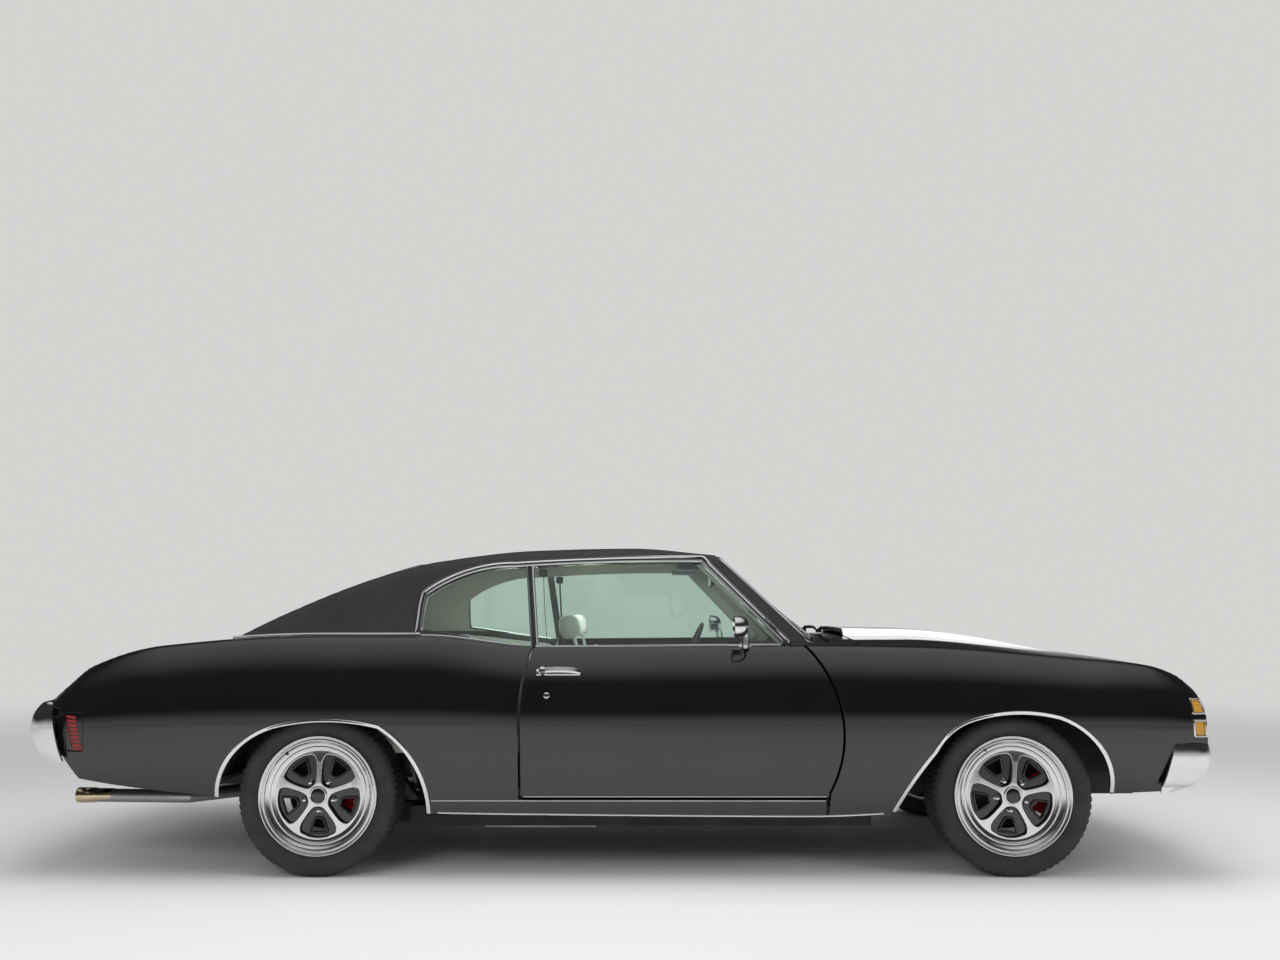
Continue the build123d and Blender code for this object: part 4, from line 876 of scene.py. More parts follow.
def triangulate(loops: Sequence[Array], spacing: float) -> tuple[Array, Array]:
    """Fills closed loops with even triangles.

    Args:
        loops: The outline and any holes.
        spacing: Distance between inner points.

    Returns:
        The points and the triangles.
    """
    edges, total = [], 0
    for loop in loops:
        edges += [(total + i, total + (i + 1) % len(loop)) for i in range(len(loop))]
        total += len(loop)
    outline = np.concatenate(loops)
    low, high = outline.min(axis=0), outline.max(axis=0)
    u = np.arange(low[0] + spacing * 0.37, high[0], spacing)
    w = np.arange(low[1] + spacing * 0.37, high[1], spacing)
    grid = np.stack(np.meshgrid(u, w), axis=-1)
    grid[1::2, :, 0] += spacing / 2
    grid = grid.reshape(-1, 2)
    grid = grid[inside(grid, loops)]
    keep = np.ones(len(grid), bool)
    for i in range(0, len(grid), 2000):
        gap = np.linalg.norm(grid[i:i + 2000, None] - outline[None], axis=2).min(axis=1)
        keep[i:i + 2000] = gap > spacing * 0.42
    grid = grid[keep]
    vectors = [Vector(p) for p in np.concatenate([outline, grid]).tolist()]
    found, _, faces, _, _, _ = delaunay_2d_cdt(vectors, edges, [], 0, 1e-4)
    found = np.array([tuple(p) for p in found])
    faces = np.array([tuple(f) for f in faces])
    middles = found[faces].mean(axis=1)
    return found, faces[inside(middles, loops)]


@dataclass
class Panel:
    """A sheet cut from a surface by closed outlines, with rolled edges and a back face.

    Attributes:
        surface: The surface that it lies on.
        loops: Its outline and holes in the surface's domain.
        thickness: Depth of its edges.
        spacing: Distance between its inner points.
        back: Whether it has a back face.
        roll: Radius of its rolled edge.
        inner: Where a front point's back point lies; left out, straight behind it.
    """

    surface: Surface
    loops: list[Array]
    thickness: float = 20.0
    spacing: float = 28.0
    back: bool = True
    roll: float = 2.0
    inner: Callable[[Array], Array] | None = None

    def mesh(self, front: int = 0, behind: int = 0, wall: int | None = None) -> Mesh:
        """Builds the sheet.

        Args:
            front: Material index of the front face and its rolled edge.
            behind: Material index of the back face.
            wall: Material index of the edge behind the roll; left out, the front's.

        Returns:
            The mesh.
        """
        domain, faces = triangulate(self.loops, self.spacing)
        if self.surface.flip:
            faces = faces[:, ::-1]
        points, normals = self.surface.points(domain), self.surface.normals(domain)
        used = Counter((min(e), max(e)) for f in faces for e in zip(f, np.roll(f, -1)))
        rim = [(a, b) for f in faces for a, b in zip(f, np.roll(f, -1))
               if used[min(a, b), max(a, b)] == 1]
        rim = [e for e in rim if abs(points[e[0]][1]) > 0.2 or abs(points[e[1]][1]) > 0.2]
        outward = np.zeros_like(points)
        for a, b in rim:
            away = unit(np.cross(unit(points[b] - points[a]), normals[a] + normals[b]))
            outward[a] += away
            outward[b] += away
        outward = unit(outward)
        if self.inner:
            deep = self.inner(points)
        else:
            deep = points - self.thickness * normals
        made = Mesh()
        made.add(points - self.roll * outward, faces.tolist(), front, normals)
        middle = points - self.roll * 0.3 * (outward + normals)
        lowered = points - self.roll * normals
        wall = front if wall is None else wall
        for top, bottom, n0, n1, key in (
            (points - self.roll * outward, middle, normals, unit(normals + outward), front),
            (middle, lowered, unit(normals + outward), outward, front),
            (lowered, deep, outward, outward, wall),
        ):
            strip = [(4 * k, 4 * k + 1, 4 * k + 2, 4 * k + 3) for k in range(len(rim))]
            order = [(top[b], top[a], bottom[a], bottom[b]) for a, b in rim]
            shades = [(n0[b], n0[a], n1[a], n1[b]) for a, b in rim]
            if order:
                made.add(np.array(order).reshape(-1, 3), strip, key,
                         np.array(shades).reshape(-1, 3))
        if self.back:
            made.add(deep, faces[:, ::-1].tolist(), behind, -normals)
        return made


def sweep(path: Array, up: Array, profile: Sequence[Sequence[float]],
          closed: bool = False) -> Mesh:
    """Runs a profile along a path.

    Args:
        path: Points of the path.
        up: The direction that the profile's second axis takes at each point.
        profile: Outline of the section as (sideways, up), anticlockwise.
        closed: Whether the path is a ring.

    Returns:
        The mesh.
    """
    path, up = np.asarray(path, float), np.asarray(up, float)
    if up.ndim == 1:
        up = np.repeat(up[None], len(path), axis=0)
    if closed:
        ahead = np.roll(path, -1, axis=0) - np.roll(path, 1, axis=0)
    else:
        ahead = np.gradient(path, axis=0)
    ahead = unit(ahead)
    across = unit(np.cross(ahead, up))
    raised = unit(np.cross(across, ahead))
    outline = np.asarray(profile, float)
    rings = (path[:, None] + outline[None, :, :1] * across[:, None]
             + outline[None, :, 1:] * raised[:, None])
    made = Mesh()
    count = len(outline)
    faces = grid_faces(len(path), count, True, True) if closed else tube_faces(len(path), count)
    made.add(rings.reshape(-1, 3), [f[::-1] for f in faces])
    return made


def laid(surface: Surface, domain: Array, profile: Sequence[Sequence[float]], lift: float = 0.0,
         closed: bool = False) -> Mesh:
    """Runs a profile along a line of a surface.

    Args:
        surface: The surface that carries it.
        domain: The line, in the surface's domain.
        profile: Outline of the section as (sideways, outward), anticlockwise.
        lift: How far outwards it moves.
        closed: Whether the line is a ring.

    Returns:
        The mesh.
    """
    normals = surface.normals(domain)
    return sweep(surface.points(domain) + lift * normals, normals, profile, closed)


def bead(width: float, height: float, count: int = 7) -> list[tuple[float, float]]:
    """Half-round moulding section of a width and height."""
    steps = [math.pi * i / (count - 1) for i in range(count)]
    arc = [(width / 2 * math.cos(a), height * math.sin(a)) for a in steps]
    return arc + [(-width / 2, -2.0), (width / 2, -2.0)]


def ring(radius: float, count: int = 14) -> list[tuple[float, float]]:
    """Round section of a radius."""
    return [(radius * math.cos(2 * math.pi * i / count), radius * math.sin(2 * math.pi * i / count))
            for i in range(count)]


def rod(path: Sequence[Sequence[float]], radius: float, count: int = 14) -> Mesh:
    """A round bar along a path."""
    path = dense(np.asarray(path, float), 25.0)
    ahead = path[-1] - path[0]
    up = UP if abs(ahead[2]) < 0.9 * np.linalg.norm(ahead) else AHEAD
    return sweep(path, np.array(up, float), ring(radius, count))


def smooth_path(points: Sequence[Sequence[float]], per_span: int = 8) -> Array:
    """A smooth curve through points."""
    knots = np.asarray(points, float)
    table = np.concatenate([np.arange(len(knots))[:, None], knots], axis=1)
    return Columns(table).at(np.linspace(0, len(knots) - 1, per_span * (len(knots) - 1) + 1))


def spun(profile: Sequence[Sequence[float]], centre: Sequence[float],
         axis: Sequence[float], segments: int = 48, closed: bool = False) -> Mesh:
    """Turns a profile about an axis.

    Args:
        profile: Points as (along the axis, radius); the outside lies to the left of the run.
        centre: Where the axis starts.
        axis: The axis's direction.
        segments: Steps round the axis.
        closed: Whether the profile is a ring.

    Returns:
        The mesh.
    """
    outline, along = np.asarray(profile, float), unit(np.asarray(axis, float))
    first = np.array([1.0, 0, 0]) if abs(along[0]) < 0.7 else np.array([0, 1.0, 0])
    first = unit(first - along * (first @ along))
    second = np.cross(first, along)
    angles = np.arange(segments) * 2 * math.pi / segments
    radial = np.cos(angles)[:, None] * first + np.sin(angles)[:, None] * second
    points = (outline[None, :, :1] * along + outline[None, :, 1:] * radial[:, None])
    made = Mesh()
    made.add(points.reshape(-1, 3) + np.asarray(centre, float),
             grid_faces(segments, len(outline), True, closed))
    return made


def rounded_box(low: Sequence[float], high: Sequence[float], radius: float,
                steps: int = 3) -> Mesh:
    """A box with rounded edges.

    Args:
        low: Its lowest corner.
        high: Its highest corner.
        radius: Edge radius.
        steps: Points along each rounded edge.

    Returns:
        The mesh.
    """
    low, high = np.asarray(low, float), np.asarray(high, float)
    half, middle = (high - low) / 2, (high + low) / 2
    radius = min(radius, *(half * 0.98))
    bend = np.sin(np.linspace(0, math.pi / 2, steps + 1))[1:]
    made = Mesh()
    for axis in range(3):
        for sign in (1, -1):
            u_axis, v_axis = (axis + 1) % 3, (axis + 2) % 3
            lines = []
            for other in (u_axis, v_axis):
                core = half[other] - radius
                lines.append(np.concatenate([-core - radius * bend[::-1], [-core, core],
                                             core + radius * bend]))
            grid = np.stack(np.meshgrid(lines[0], lines[1], indexing="ij"), axis=-1)
            points = np.empty((*grid.shape[:2], 3))
            points[..., u_axis], points[..., v_axis] = grid[..., 0], grid[..., 1]
            points[..., axis] = sign * half[axis]
            core = np.clip(points, -(half - radius), half - radius)
            points = core + radius * unit(points - core)
            count = len(lines[1])
            faces = grid_faces(len(lines[0]), count)
            if sign < 0:
                faces = [f[::-1] for f in faces]
            made.add(points.reshape(-1, 3) + middle, faces)
    return made


# ---------------------------------------------------------------- outlines
def turning(loop: Array) -> float:
    """Signed area of a closed outline, positive when it runs anticlockwise."""
    ahead = np.roll(loop, -1, axis=0)
    return float((loop[:, 0] * ahead[:, 1] - loop[:, 1] * ahead[:, 0]).sum() / 2)


def rounded(points: Sequence[Sequence[float]], radius: float, sharp: float = 20.0) -> Array:
    """A closed outline with its corners rounded.

    Args:
        points: The outline's corners.
        radius: How far from each corner the rounding starts.
        sharp: Turns below this angle in degrees stay.

    Returns:
        The rounded outline.
    """
    corners = np.asarray(points, float)
    out = []
    for i, corner in enumerate(corners):
        before, after = corners[i - 1], corners[(i + 1) % len(corners)]
        a, b = before - corner, after - corner
        la, lb = np.linalg.norm(a), np.linalg.norm(b)
        turn = math.degrees(math.acos(max(-1.0, min(1.0, float(-(a @ b) / (la * lb))))))
        cut = min(radius, la * 0.48, lb * 0.48)
        if turn < sharp or cut < 1:
            out.append(corner)
            continue
        start, end = corner + a / la * cut, corner + b / lb * cut
        for t in np.linspace(0, 1, 7):
            out.append((1 - t) ** 2 * start + 2 * t * (1 - t) * corner + t * t * end)
    return np.array(out)


def chain(*pieces: Sequence[Sequence[float]]) -> Array:
    """Runs of points joined into one, without repeats."""
    points = np.concatenate([np.asarray(p, float).reshape(-1, 2) for p in pieces])
    keep = np.ones(len(points), bool)
    keep[1:] = np.linalg.norm(np.diff(points, axis=0), axis=1) > 0.05
    return points[keep]


def grown_run(points: Array, amount: float) -> Array:
    """An open run of points moved to its right."""
    ahead = unit(np.gradient(points, axis=0))
    return points + amount * np.stack([ahead[:, 1], -ahead[:, 0]], axis=1)


def rounded_run(points: Array, radius: float) -> Array:
    """An open run of points with its corners rounded."""
    ring_points = rounded(points, radius, 25)
    start = int(np.argmin(np.linalg.norm(ring_points - points[0], axis=1)))
    inner = ring_points[start:]
    return chain([points[0]], inner[1:-1], [points[-1]]) if len(inner) > 2 else points


# ---------------------------------------------------------------- body surfaces
BODY_SECTIONS = [  # x, low z, low y, wide z, wide y, edge z, edge y, crown z
    (-2400, 425, 790, 600, 862, 668, 805, 700), (-2320, 405, 810, 605, 888, 742, 806, 776),
    (-2225, 385, 825, 610, 907, 819, 808, 850), (-1920, 345, 850, 620, 938, 906, 828, 938),
    (-1250, 285, 868, 630, 955, 946, 850, 982), (-820, 252, 866, 625, 950, 946, 848, 985),
    (-350, 244, 864, 620, 946, 902, 843, 950), (780, 236, 864, 620, 947, 908, 846, 972),
    (1250, 258, 866, 625, 955, 902, 852, 972), (1900, 325, 862, 620, 950, 855, 852, 904),
    (2200, 338, 850, 615, 930, 825, 846, 866), (2320, 342, 842, 610, 918, 785, 838, 830),
    (2400, 345, 835, 600, 905, 725, 828, 774),
]
ROOF_SECTIONS = [  # x, rail z, crown z
    (-1642, 920, 962), (-1450, 1022, 1066), (-1100, 1172, 1216), (-800, 1256, 1314),
    (-400, 1300, 1364), (50, 1308, 1375.5), (430, 1284, 1338), (900, 1230, 1284),
]


@dataclass(frozen=True)
class WindowPlane:
    """The plane of the side windows: how far out it is at the belt line, and its lean inwards."""

    belt_y: float = 800.0
    belt_z: float = 930.0
    lean: float = 0.54

    def y(self, z: Array) -> Array:
        """How far out it lies at a height."""
        return self.belt_y - (z - self.belt_z) * self.lean


WINDOWS = WindowPlane()


@dataclass(frozen=True)
class Section:
    """Half cross-sections at each x: the corner's start, its lean and the crown's height."""

    edge_y: Array
    edge_z: Array
    lean: Array
    crown_z: Array


class ShellSkin(Surface):
    """A side, a rounded corner and a crown; w runs up the side and then over the top."""

    flip = True

    def __init__(self, rows: Sequence[Sequence[float]], corner: tuple[float, float]) -> None:
        """Takes the table of cross-sections and the corner's width and rise."""
        self.columns = Columns(rows)
        self.corner = corner

    def section(self, x: Array) -> Section:
        """The cross-section at each x."""
        raise NotImplementedError

    def side(self, x: Array, z: Array) -> Array:
        """Half width of the side at each x and z."""
        raise NotImplementedError

    def bend(self, s: Section) -> tuple[Array, Array, Array]:
        """Radius, turn and length of the corner's arc."""
        width, rise = self.corner
        inward = width * np.cos(s.lean) - rise * np.sin(s.lean)
        along = width * np.sin(s.lean) + rise * np.cos(s.lean)
        radius = (width**2 + rise**2) / (2 * inward)
        turn = 2 * np.arctan2(inward, along)
        return radius, turn, radius * turn

    def crown(self, s: Section, y: Array) -> Array:
        """Height of the top at a half width."""
        half = s.edge_y - self.corner[0]
        height = s.crown_z - s.edge_z - self.corner[1]
        radius = (half**2 + height**2) / (2 * height)
        return s.crown_z - y**2 / (radius + np.sqrt(np.maximum(radius**2 - y**2, 0)))

    def points(self, domain: Array) -> Array:
        """Points at each (x, w)."""
        x, w = domain[:, 0], domain[:, 1]
        s = self.section(x)
        radius, _, length = self.bend(s)
        over = np.clip(w - s.edge_z, 0, length) / radius
        low = np.minimum(w, s.edge_z)
        y = self.side(x, low) - radius * (np.sin(over) * np.sin(s.lean)
                                          + (1 - np.cos(over)) * np.cos(s.lean))
        z = low + radius * (np.sin(over) * np.cos(s.lean) - (1 - np.cos(over)) * np.sin(s.lean))
        past = np.maximum(w - s.edge_z - length, 0)
        top_y = s.edge_y - self.corner[0] - past
        on_top = past > 0
        return np.stack([x, np.where(on_top, top_y, y),
                         np.where(on_top, self.crown(s, top_y), z)], axis=1)

    def limits(self, x: Array) -> tuple[Array, Array]:
        """Lowest and highest w worth trying at each x."""
        s = self.section(x)
        return s.edge_z - 700, s.edge_z + self.bend(s)[2] + s.edge_y + 60

    def at_height(self, outline: Array) -> Array:
        """Domain points of a side view outline."""
        x, z = np.asarray(outline, float).T
        low, high = self.limits(x)
        w = solve(lambda w: self.points(np.stack([x, w], axis=1))[:, 2] - z, low, high)
        return np.stack([x, w], axis=1)

    def at_width(self, outline: Array) -> Array:
        """Domain points of a plan view outline on the top."""
        x, y = np.asarray(outline, float).T
        s = self.section(x)
        w = solve(lambda w: y - self.points(np.stack([x, w], axis=1))[:, 1],
                  s.edge_z - 60, self.limits(x)[1])
        return np.stack([x, w], axis=1)


class BodySkin(ShellSkin):
    """The body below the windows."""

    def __init__(self) -> None:
        """Takes the body's table."""
        super().__init__(BODY_SECTIONS, (42.0, 26.0))

    def section(self, x: Array) -> Section:
        """The cross-section at each x."""
        _, _, wide_z, wide_y, edge_z, edge_y, crown_z = self.columns.at(x).T
        out, up = wide_y - edge_y, edge_z - wide_z
        radius = (out**2 + up**2) / (2 * out)
        return Section(edge_y, edge_z, np.arcsin(np.clip(up / radius, -1, 1)), crown_z)

    def side(self, x: Array, z: Array) -> Array:
        """Half width of the side, one arc below the widest point and one above."""
        low_z, low_y, wide_z, wide_y, edge_z, edge_y, _ = self.columns.at(x).T
        below = z < wide_z
        out = np.where(below, wide_y - low_y, wide_y - edge_y)
        up = np.where(below, wide_z - low_z, edge_z - wide_z)
        radius = (out**2 + up**2) / (2 * out)
        return wide_y - radius + np.sqrt(np.maximum(radius**2 - (z - wide_z) ** 2, 1))

    def low_edge(self, x: Array) -> Array:
        """Side view points of the body's lower edge."""
        x = np.asarray(x, float)
        return np.stack([x, self.columns.at(x)[:, 0]], axis=1)


class RoofSkin(ShellSkin):
    """The roof, its sail panels and windshield pillars."""

    def __init__(self) -> None:
        """Takes the roof's table."""
        super().__init__(ROOF_SECTIONS, (75.0, 38.0))

    def section(self, x: Array) -> Section:
        """The cross-section at each x."""
        rail_z, crown_z = self.columns.at(x).T
        lean = np.full_like(rail_z, math.atan(WINDOWS.lean))
        return Section(self.side(x, rail_z), rail_z, lean, crown_z)

    def side(self, x: Array, z: Array) -> Array:
        """Half width of the leaning side."""
        return WINDOWS.y(z)


BODY = BodySkin()
ROOF = RoofSkin()


@dataclass
class TopSkin(Surface):
    """The body's top over (x, y), with the hood's raised centre."""

    bulge_rows: tuple[tuple[float, float], ...] = ((960, 33), (1013, 32), (1600, 24), (2150, 0),
                                                   (2400, 0))
    bulge_half: float = 288.0
    bulge_slope: float = 44.0
    raised: bool = True

    def points(self, domain: Array) -> Array:
        """Points at each (x, y)."""
        x, y = domain[:, 0], domain[:, 1]
        z = BODY.crown(BODY.section(x), y)
        if self.raised:
            rise = Columns(self.bulge_rows).at(x)[:, 0]
            t = np.clip((self.bulge_half + self.bulge_slope - np.abs(y)) / self.bulge_slope, 0, 1)
            z = z + rise * t * t * (3 - 2 * t)
        return np.stack([x, y, z], axis=1)


class RoofTop(Surface):
    """The roof's surface over (x, y)."""

    def points(self, domain: Array) -> Array:
        """Points at each (x, y)."""
        x, y = domain[:, 0], domain[:, 1]
        return np.stack([x, y, ROOF.crown(ROOF.section(x), y)], axis=1)


@dataclass
class FlatSide(Surface):
    """An upright plane facing the cabin's middle, over (x, z)."""

    y: float
    flip = False

    def points(self, domain: Array) -> Array:
        """Points at each (x, z)."""
        return np.stack([domain[:, 0], np.full(len(domain), self.y), domain[:, 1]], axis=1)


class WindshieldSkin(Surface):
    """The windshield's surface over (y, z): horizontal arcs between two heights."""

    low = (960.0, 910.0, 795.0, 725.0)  # z, centre x, corner x, corner y
    high = (1312.0, 452.0, 425.0, 575.0)

    def points(self, domain: Array) -> Array:
        """Points at each (y, z)."""
        y, z = domain[:, 0], domain[:, 1]
        t = (z - self.low[0]) / (self.high[0] - self.low[0])
        centre, corner, half = (a + (b - a) * t for a, b in zip(self.low[1:], self.high[1:]))
        return np.stack([centre - (centre - corner) * (y / half) ** 2, y, z], axis=1)


class SideGlassSkin(Surface):
    """The leaning plane of the side windows over (x, z)."""

    flip = True

    def points(self, domain: Array) -> Array:
        """Points at each (x, z)."""
        x, z = domain[:, 0], domain[:, 1]
        return np.stack([x, WINDOWS.y(z), z], axis=1)


TOP = TopSkin()
DECK = TopSkin(raised=False)
SHIELD = WindshieldSkin()
SIDE_GLASS = SideGlassSkin()


@dataclass(frozen=True)
class PanelLines:
    """Where the panels part, in side view or plan, and the window openings.

    Attributes:
        door_gap: Shut line round a door.
        lid_gap: Half of the shut line round the hood and the deck lid.
        nose_gap: How far ahead of the hood's outline the strip in front of it starts.
        widest: How far out the wheel lips may stand.
    """

    door_gap: float = 9.0
    lid_gap: float = 3.0
    door_front: tuple = ((841, 318), (907, 610), (768, 934))
    door_rear: tuple = ((-367, 925), (-400, 780), (-408, 560))
    rear_axle_x: float = -1237.0
    front_axle_x: float = 1608.0
    rear_arch: tuple = ((-403, 200), ((-328, 505), (-169, 606)), ((47, 632), (255, 606)),
                        ((380, 491), (447, 200)))
    front_arch: tuple = ((-523, 180), ((-430, 365), (-328, 508)), ((-268, 583), (-168, 636)),
                         ((32, 662), (177, 642)), ((320, 545), (362, 180)))
    hood: tuple = ((1010, 762), (2346, 742))
    nose_gap: float = 9.0
    widest: float = 954.9
    deck: tuple = ((-1650, 690), (-2370, 640))
    cowl_y: float = 768.0
    lamp_x: float = 2336.0
    lamps_z: tuple = ((562, 636), (654, 722))
    marker: tuple = (-2273, -2193, 505, 660)

    def arch(self, axle_x: float, arcs: tuple) -> Array:
        """A wheel opening in side view, from its rear foot to its front foot.

        Args:
            axle_x: The axle's place.
            arcs: Its start, then each arc's middle and end, from the axle.

        Returns:
            The points.
        """
        at, out = arcs[0], []
        for middle, end in arcs[1:]:
            out.append(arc_points(at, middle, end, 18))
            at = end
        return chain(*out) + np.array([axle_x, 0])

    def door_edge_front(self, amount: float) -> Array:
        """The door's front edge from its foot up, moved forward."""
        return grown_run(arc_points(*self.door_front, 26), amount)

    def door_edge_rear(self, amount: float) -> Array:
        """The door's rear edge from its head down, moved back."""
        edge = chain(arc_points(*self.door_rear, 20), [(-408, 318)])
        return edge - np.array([amount, 0])


LINES = PanelLines()


@dataclass
class BodyPanels:
    """Doors, fenders, quarter panels, hood, deck lid and the trim on them."""

    paintbox: Paintbox
    skin: float = 20.0
    door_inner_y: float = 772.0
    door_top_y: float = 795.0
    door_foot_y: float = 806.0
    door_bottom_z: float = 321.0
    tail_top: tuple[float, float] = (-2396.0, 688.0)
    tail_foot: tuple[float, float] = (-2238.0, 386.0)
    lip_height: float = 5.5

    def door_loop(self) -> Array:
        """The door's outline in the body surface."""
        inset = LINES.door_gap / 3
        front = LINES.door_edge_front(-inset)
        front = front[front[:, 1] > self.door_bottom_z]
        rear = LINES.door_edge_rear(-inset)
        rear = rear[rear[:, 1] > self.door_bottom_z]
        sides = rounded(chain([(front[0][0] - 1, self.door_bottom_z)], front, [(765, 936)],
                              rear, [(rear[-1][0], self.door_bottom_z)]), 9, 40)
        top = np.argmin(np.abs(sides - np.array([765, 936])).sum(axis=1))
        up = BODY.at_height(dense(sides[:top + 1], 18))
        down = BODY.at_height(dense(np.concatenate([sides[top + 1:], sides[:1]]), 18))[:-1]
        over = BODY.at_width(dense([(765, self.door_foot_y), (679, self.door_foot_y),
                                    (672, self.door_top_y), (-362, self.door_top_y)], 22))
        return chain(up, over, down)

    def doors(self) -> None:
        """Builds the doors' painted shells with their flat backs."""
        def flat(points: Array) -> Array:
            """Back of the shell, on the door's inner plane."""
            return np.stack([np.clip(points[:, 0], -370, 900),
                             np.minimum(self.door_inner_y, points[:, 1] - 6),
                             points[:, 2]], axis=1)

        shell = Panel(BODY, [self.door_loop()], inner=flat, spacing=24).mesh()
        shell.build_each("door_shell", self.paintbox("paint"), "door", "paint", "door")

    def fender_loops(self) -> list[Array]:
        """The front fender's outline, with its arch and lamp notches."""
        gap = LINES.door_gap * 2 / 3
        rear = LINES.door_edge_front(gap)
        rear = rear[rear[:, 1] > 328][::-1]
        arch = LINES.arch(LINES.front_axle_x, LINES.front_arch)
        low = BODY.low_edge(arch[:, 0])[:, 1]
        arch = arch[arch[:, 1] > low - 1]
        foot = BODY.low_edge(np.linspace(850, arch[0][0], 14))
        ahead = BODY.low_edge(np.linspace(arch[-1][0], 2234, 14))
        notches = []
        for z0, z1 in LINES.lamps_z:
            notches += [(2400, z0), (LINES.lamp_x, z0), (LINES.lamp_x, z1), (2400, z1)]
        side = chain(rear, foot, arch, ahead, [(2262, 538)], [(2400, 538)], notches, [(2400, 724)])
        lower = BODY.at_height(dense(side, 14))
        edge = LINES.lid_gap
        (x0, y0), (x1, y1) = LINES.hood
        nose = x1 + LINES.nose_gap
        upper = BODY.at_width(dense(
            [(2400, 800), (2400, 0), (nose, 0), (nose, y1 + edge),
             (x0 - edge, y0 + edge), (x0 - edge, LINES.cowl_y), (774, LINES.cowl_y)], 20))
        return [chain(lower, upper)]

    def fenders(self) -> None:
        """Builds both front fenders with the strip ahead of the hood."""
        half = Panel(BODY, self.fender_loops(), self.skin, 15).mesh()
        half.both().build("fender_shells", self.paintbox("paint"), "body", "paint",
                          ["front_fenders"])

    def quarter_loops(self) -> list[Array]:
        """The rear quarter's outline with its rocker, and the side marker's hole."""
        gap = LINES.door_gap * 2 / 3
        door = LINES.door_edge_rear(gap)[::-1]
        door = door[door[:, 1] > 314]
        arch = LINES.arch(LINES.rear_axle_x, LINES.rear_arch)[::-1]
        low = BODY.low_edge(arch[:, 0])[:, 1]
        arch = arch[arch[:, 1] > low - 1]
        rocker = BODY.low_edge(np.linspace(841, arch[0][0], 60))
        behind = BODY.low_edge(np.linspace(arch[-1][0], self.tail_foot[0], 24))
        side = chain([(door[0][0], 312), (841, 312)], rocker, arch, behind,
                     [self.tail_top])
        lower = BODY.at_height(dense(side, 14))
        edge = LINES.lid_gap
        (x0, y0), (x1, y1) = LINES.deck
        upper = BODY.at_width(dense(
            [(-2399, 762), (-2399, 0), (x1 - edge, 0), (x1 - edge, y1 + edge),
             (x0 + edge, y0 + edge), (x0 + edge, 0), (-1590, 0), (-1590, 742), (-373, 742)], 20))
        seam = BODY.at_height(dense(door[::-1], 14))
        left, right, base, top = LINES.marker
        hole = rounded([(left, base), (right, base), (right, top), (left, top)], 14)
        return [chain(lower, upper, seam), BODY.at_height(dense(hole, 10))]

    def quarters(self) -> None:
        """Builds both rear quarters, the rockers, the strips round the deck lid and the tail."""
        half = Panel(BODY, self.quarter_loops(), self.skin, 14).mesh()
        inner = np.array([(720, 249), (720, 306), (858, 306), (866, 249)], float)
        sill = np.stack([np.zeros(4), inner[:, 0], inner[:, 1]], axis=1)
        box = Mesh()
        rows = [sill + np.array([x, 0, 0]) for x in (-782, 838)]
        box.add(np.concatenate(rows), [(0, 1, 5, 4), (1, 2, 6, 5), (3, 0, 4, 7), (3, 2, 1, 0),
                                       (4, 5, 6, 7)])
        made = Mesh()
        for flip in (False, True):
            made.merge(half, flip)
            made.merge(box, flip)
        made.merge(self.tail_panel())
        made.build("quarter_shells", self.paintbox("paint"), "body", "paint", ["quarter_panels"])

    def tail_panel(self) -> Mesh:
        """The slanted panel between the quarters, behind the rear bumper."""
        rows, columns = 12, 25
        heights = np.linspace(392, 694, rows)
        x = np.interp(heights, (self.tail_foot[1], self.tail_top[1]),
                      (self.tail_foot[0], self.tail_top[0]))
        half = BODY.points(np.stack([x, heights], axis=1))[:, 1] - 6
        steps = np.linspace(-1, 1, columns)
        points = np.stack([np.repeat(x[:, None] + 4, columns, 1), half[:, None] * steps[None],
                           np.repeat(heights[:, None], columns, 1)], axis=-1).reshape(-1, 3)
        made = Mesh()
        faces = grid_faces(rows, columns)
        made.add(points, [f[::-1] for f in faces])
        made.add(points + (18.0, 0, 0), faces)
        return made

    def hood(self) -> None:
        """Builds the hood."""
        edge = LINES.lid_gap
        (x0, y0), (x1, y1) = LINES.hood
        loop = rounded([(x0 + edge, -y0 + edge), (x1 - edge, -y1 + edge),
                        (x1 - edge, y1 - edge), (x0 + edge, y0 - edge)], 10)
        sheet = Panel(TOP, [evened(loop, 18)], self.skin, 22)
        sheet.mesh(0, 1, 1).build("hood_shell", self.paintbox("hood_paint", "chassis"),
                                  "hood", "paint", ["hood"])

    def deck(self) -> None:
        """Builds the deck lid."""
        edge = LINES.lid_gap
        (x0, y0), (x1, y1) = LINES.deck
        loop = rounded([(x0 - edge, y0 - edge), (x1 + edge, y1 - edge),
                        (x1 + edge, -y1 + edge), (x0 - edge, -y0 + edge)][::-1], 16)
        made = Panel(DECK, [evened(loop, 18)], self.skin, 24).mesh()
        made.build("deck_lid_shell", self.paintbox("paint"), "deck_lid", "paint", ["deck_lid"])

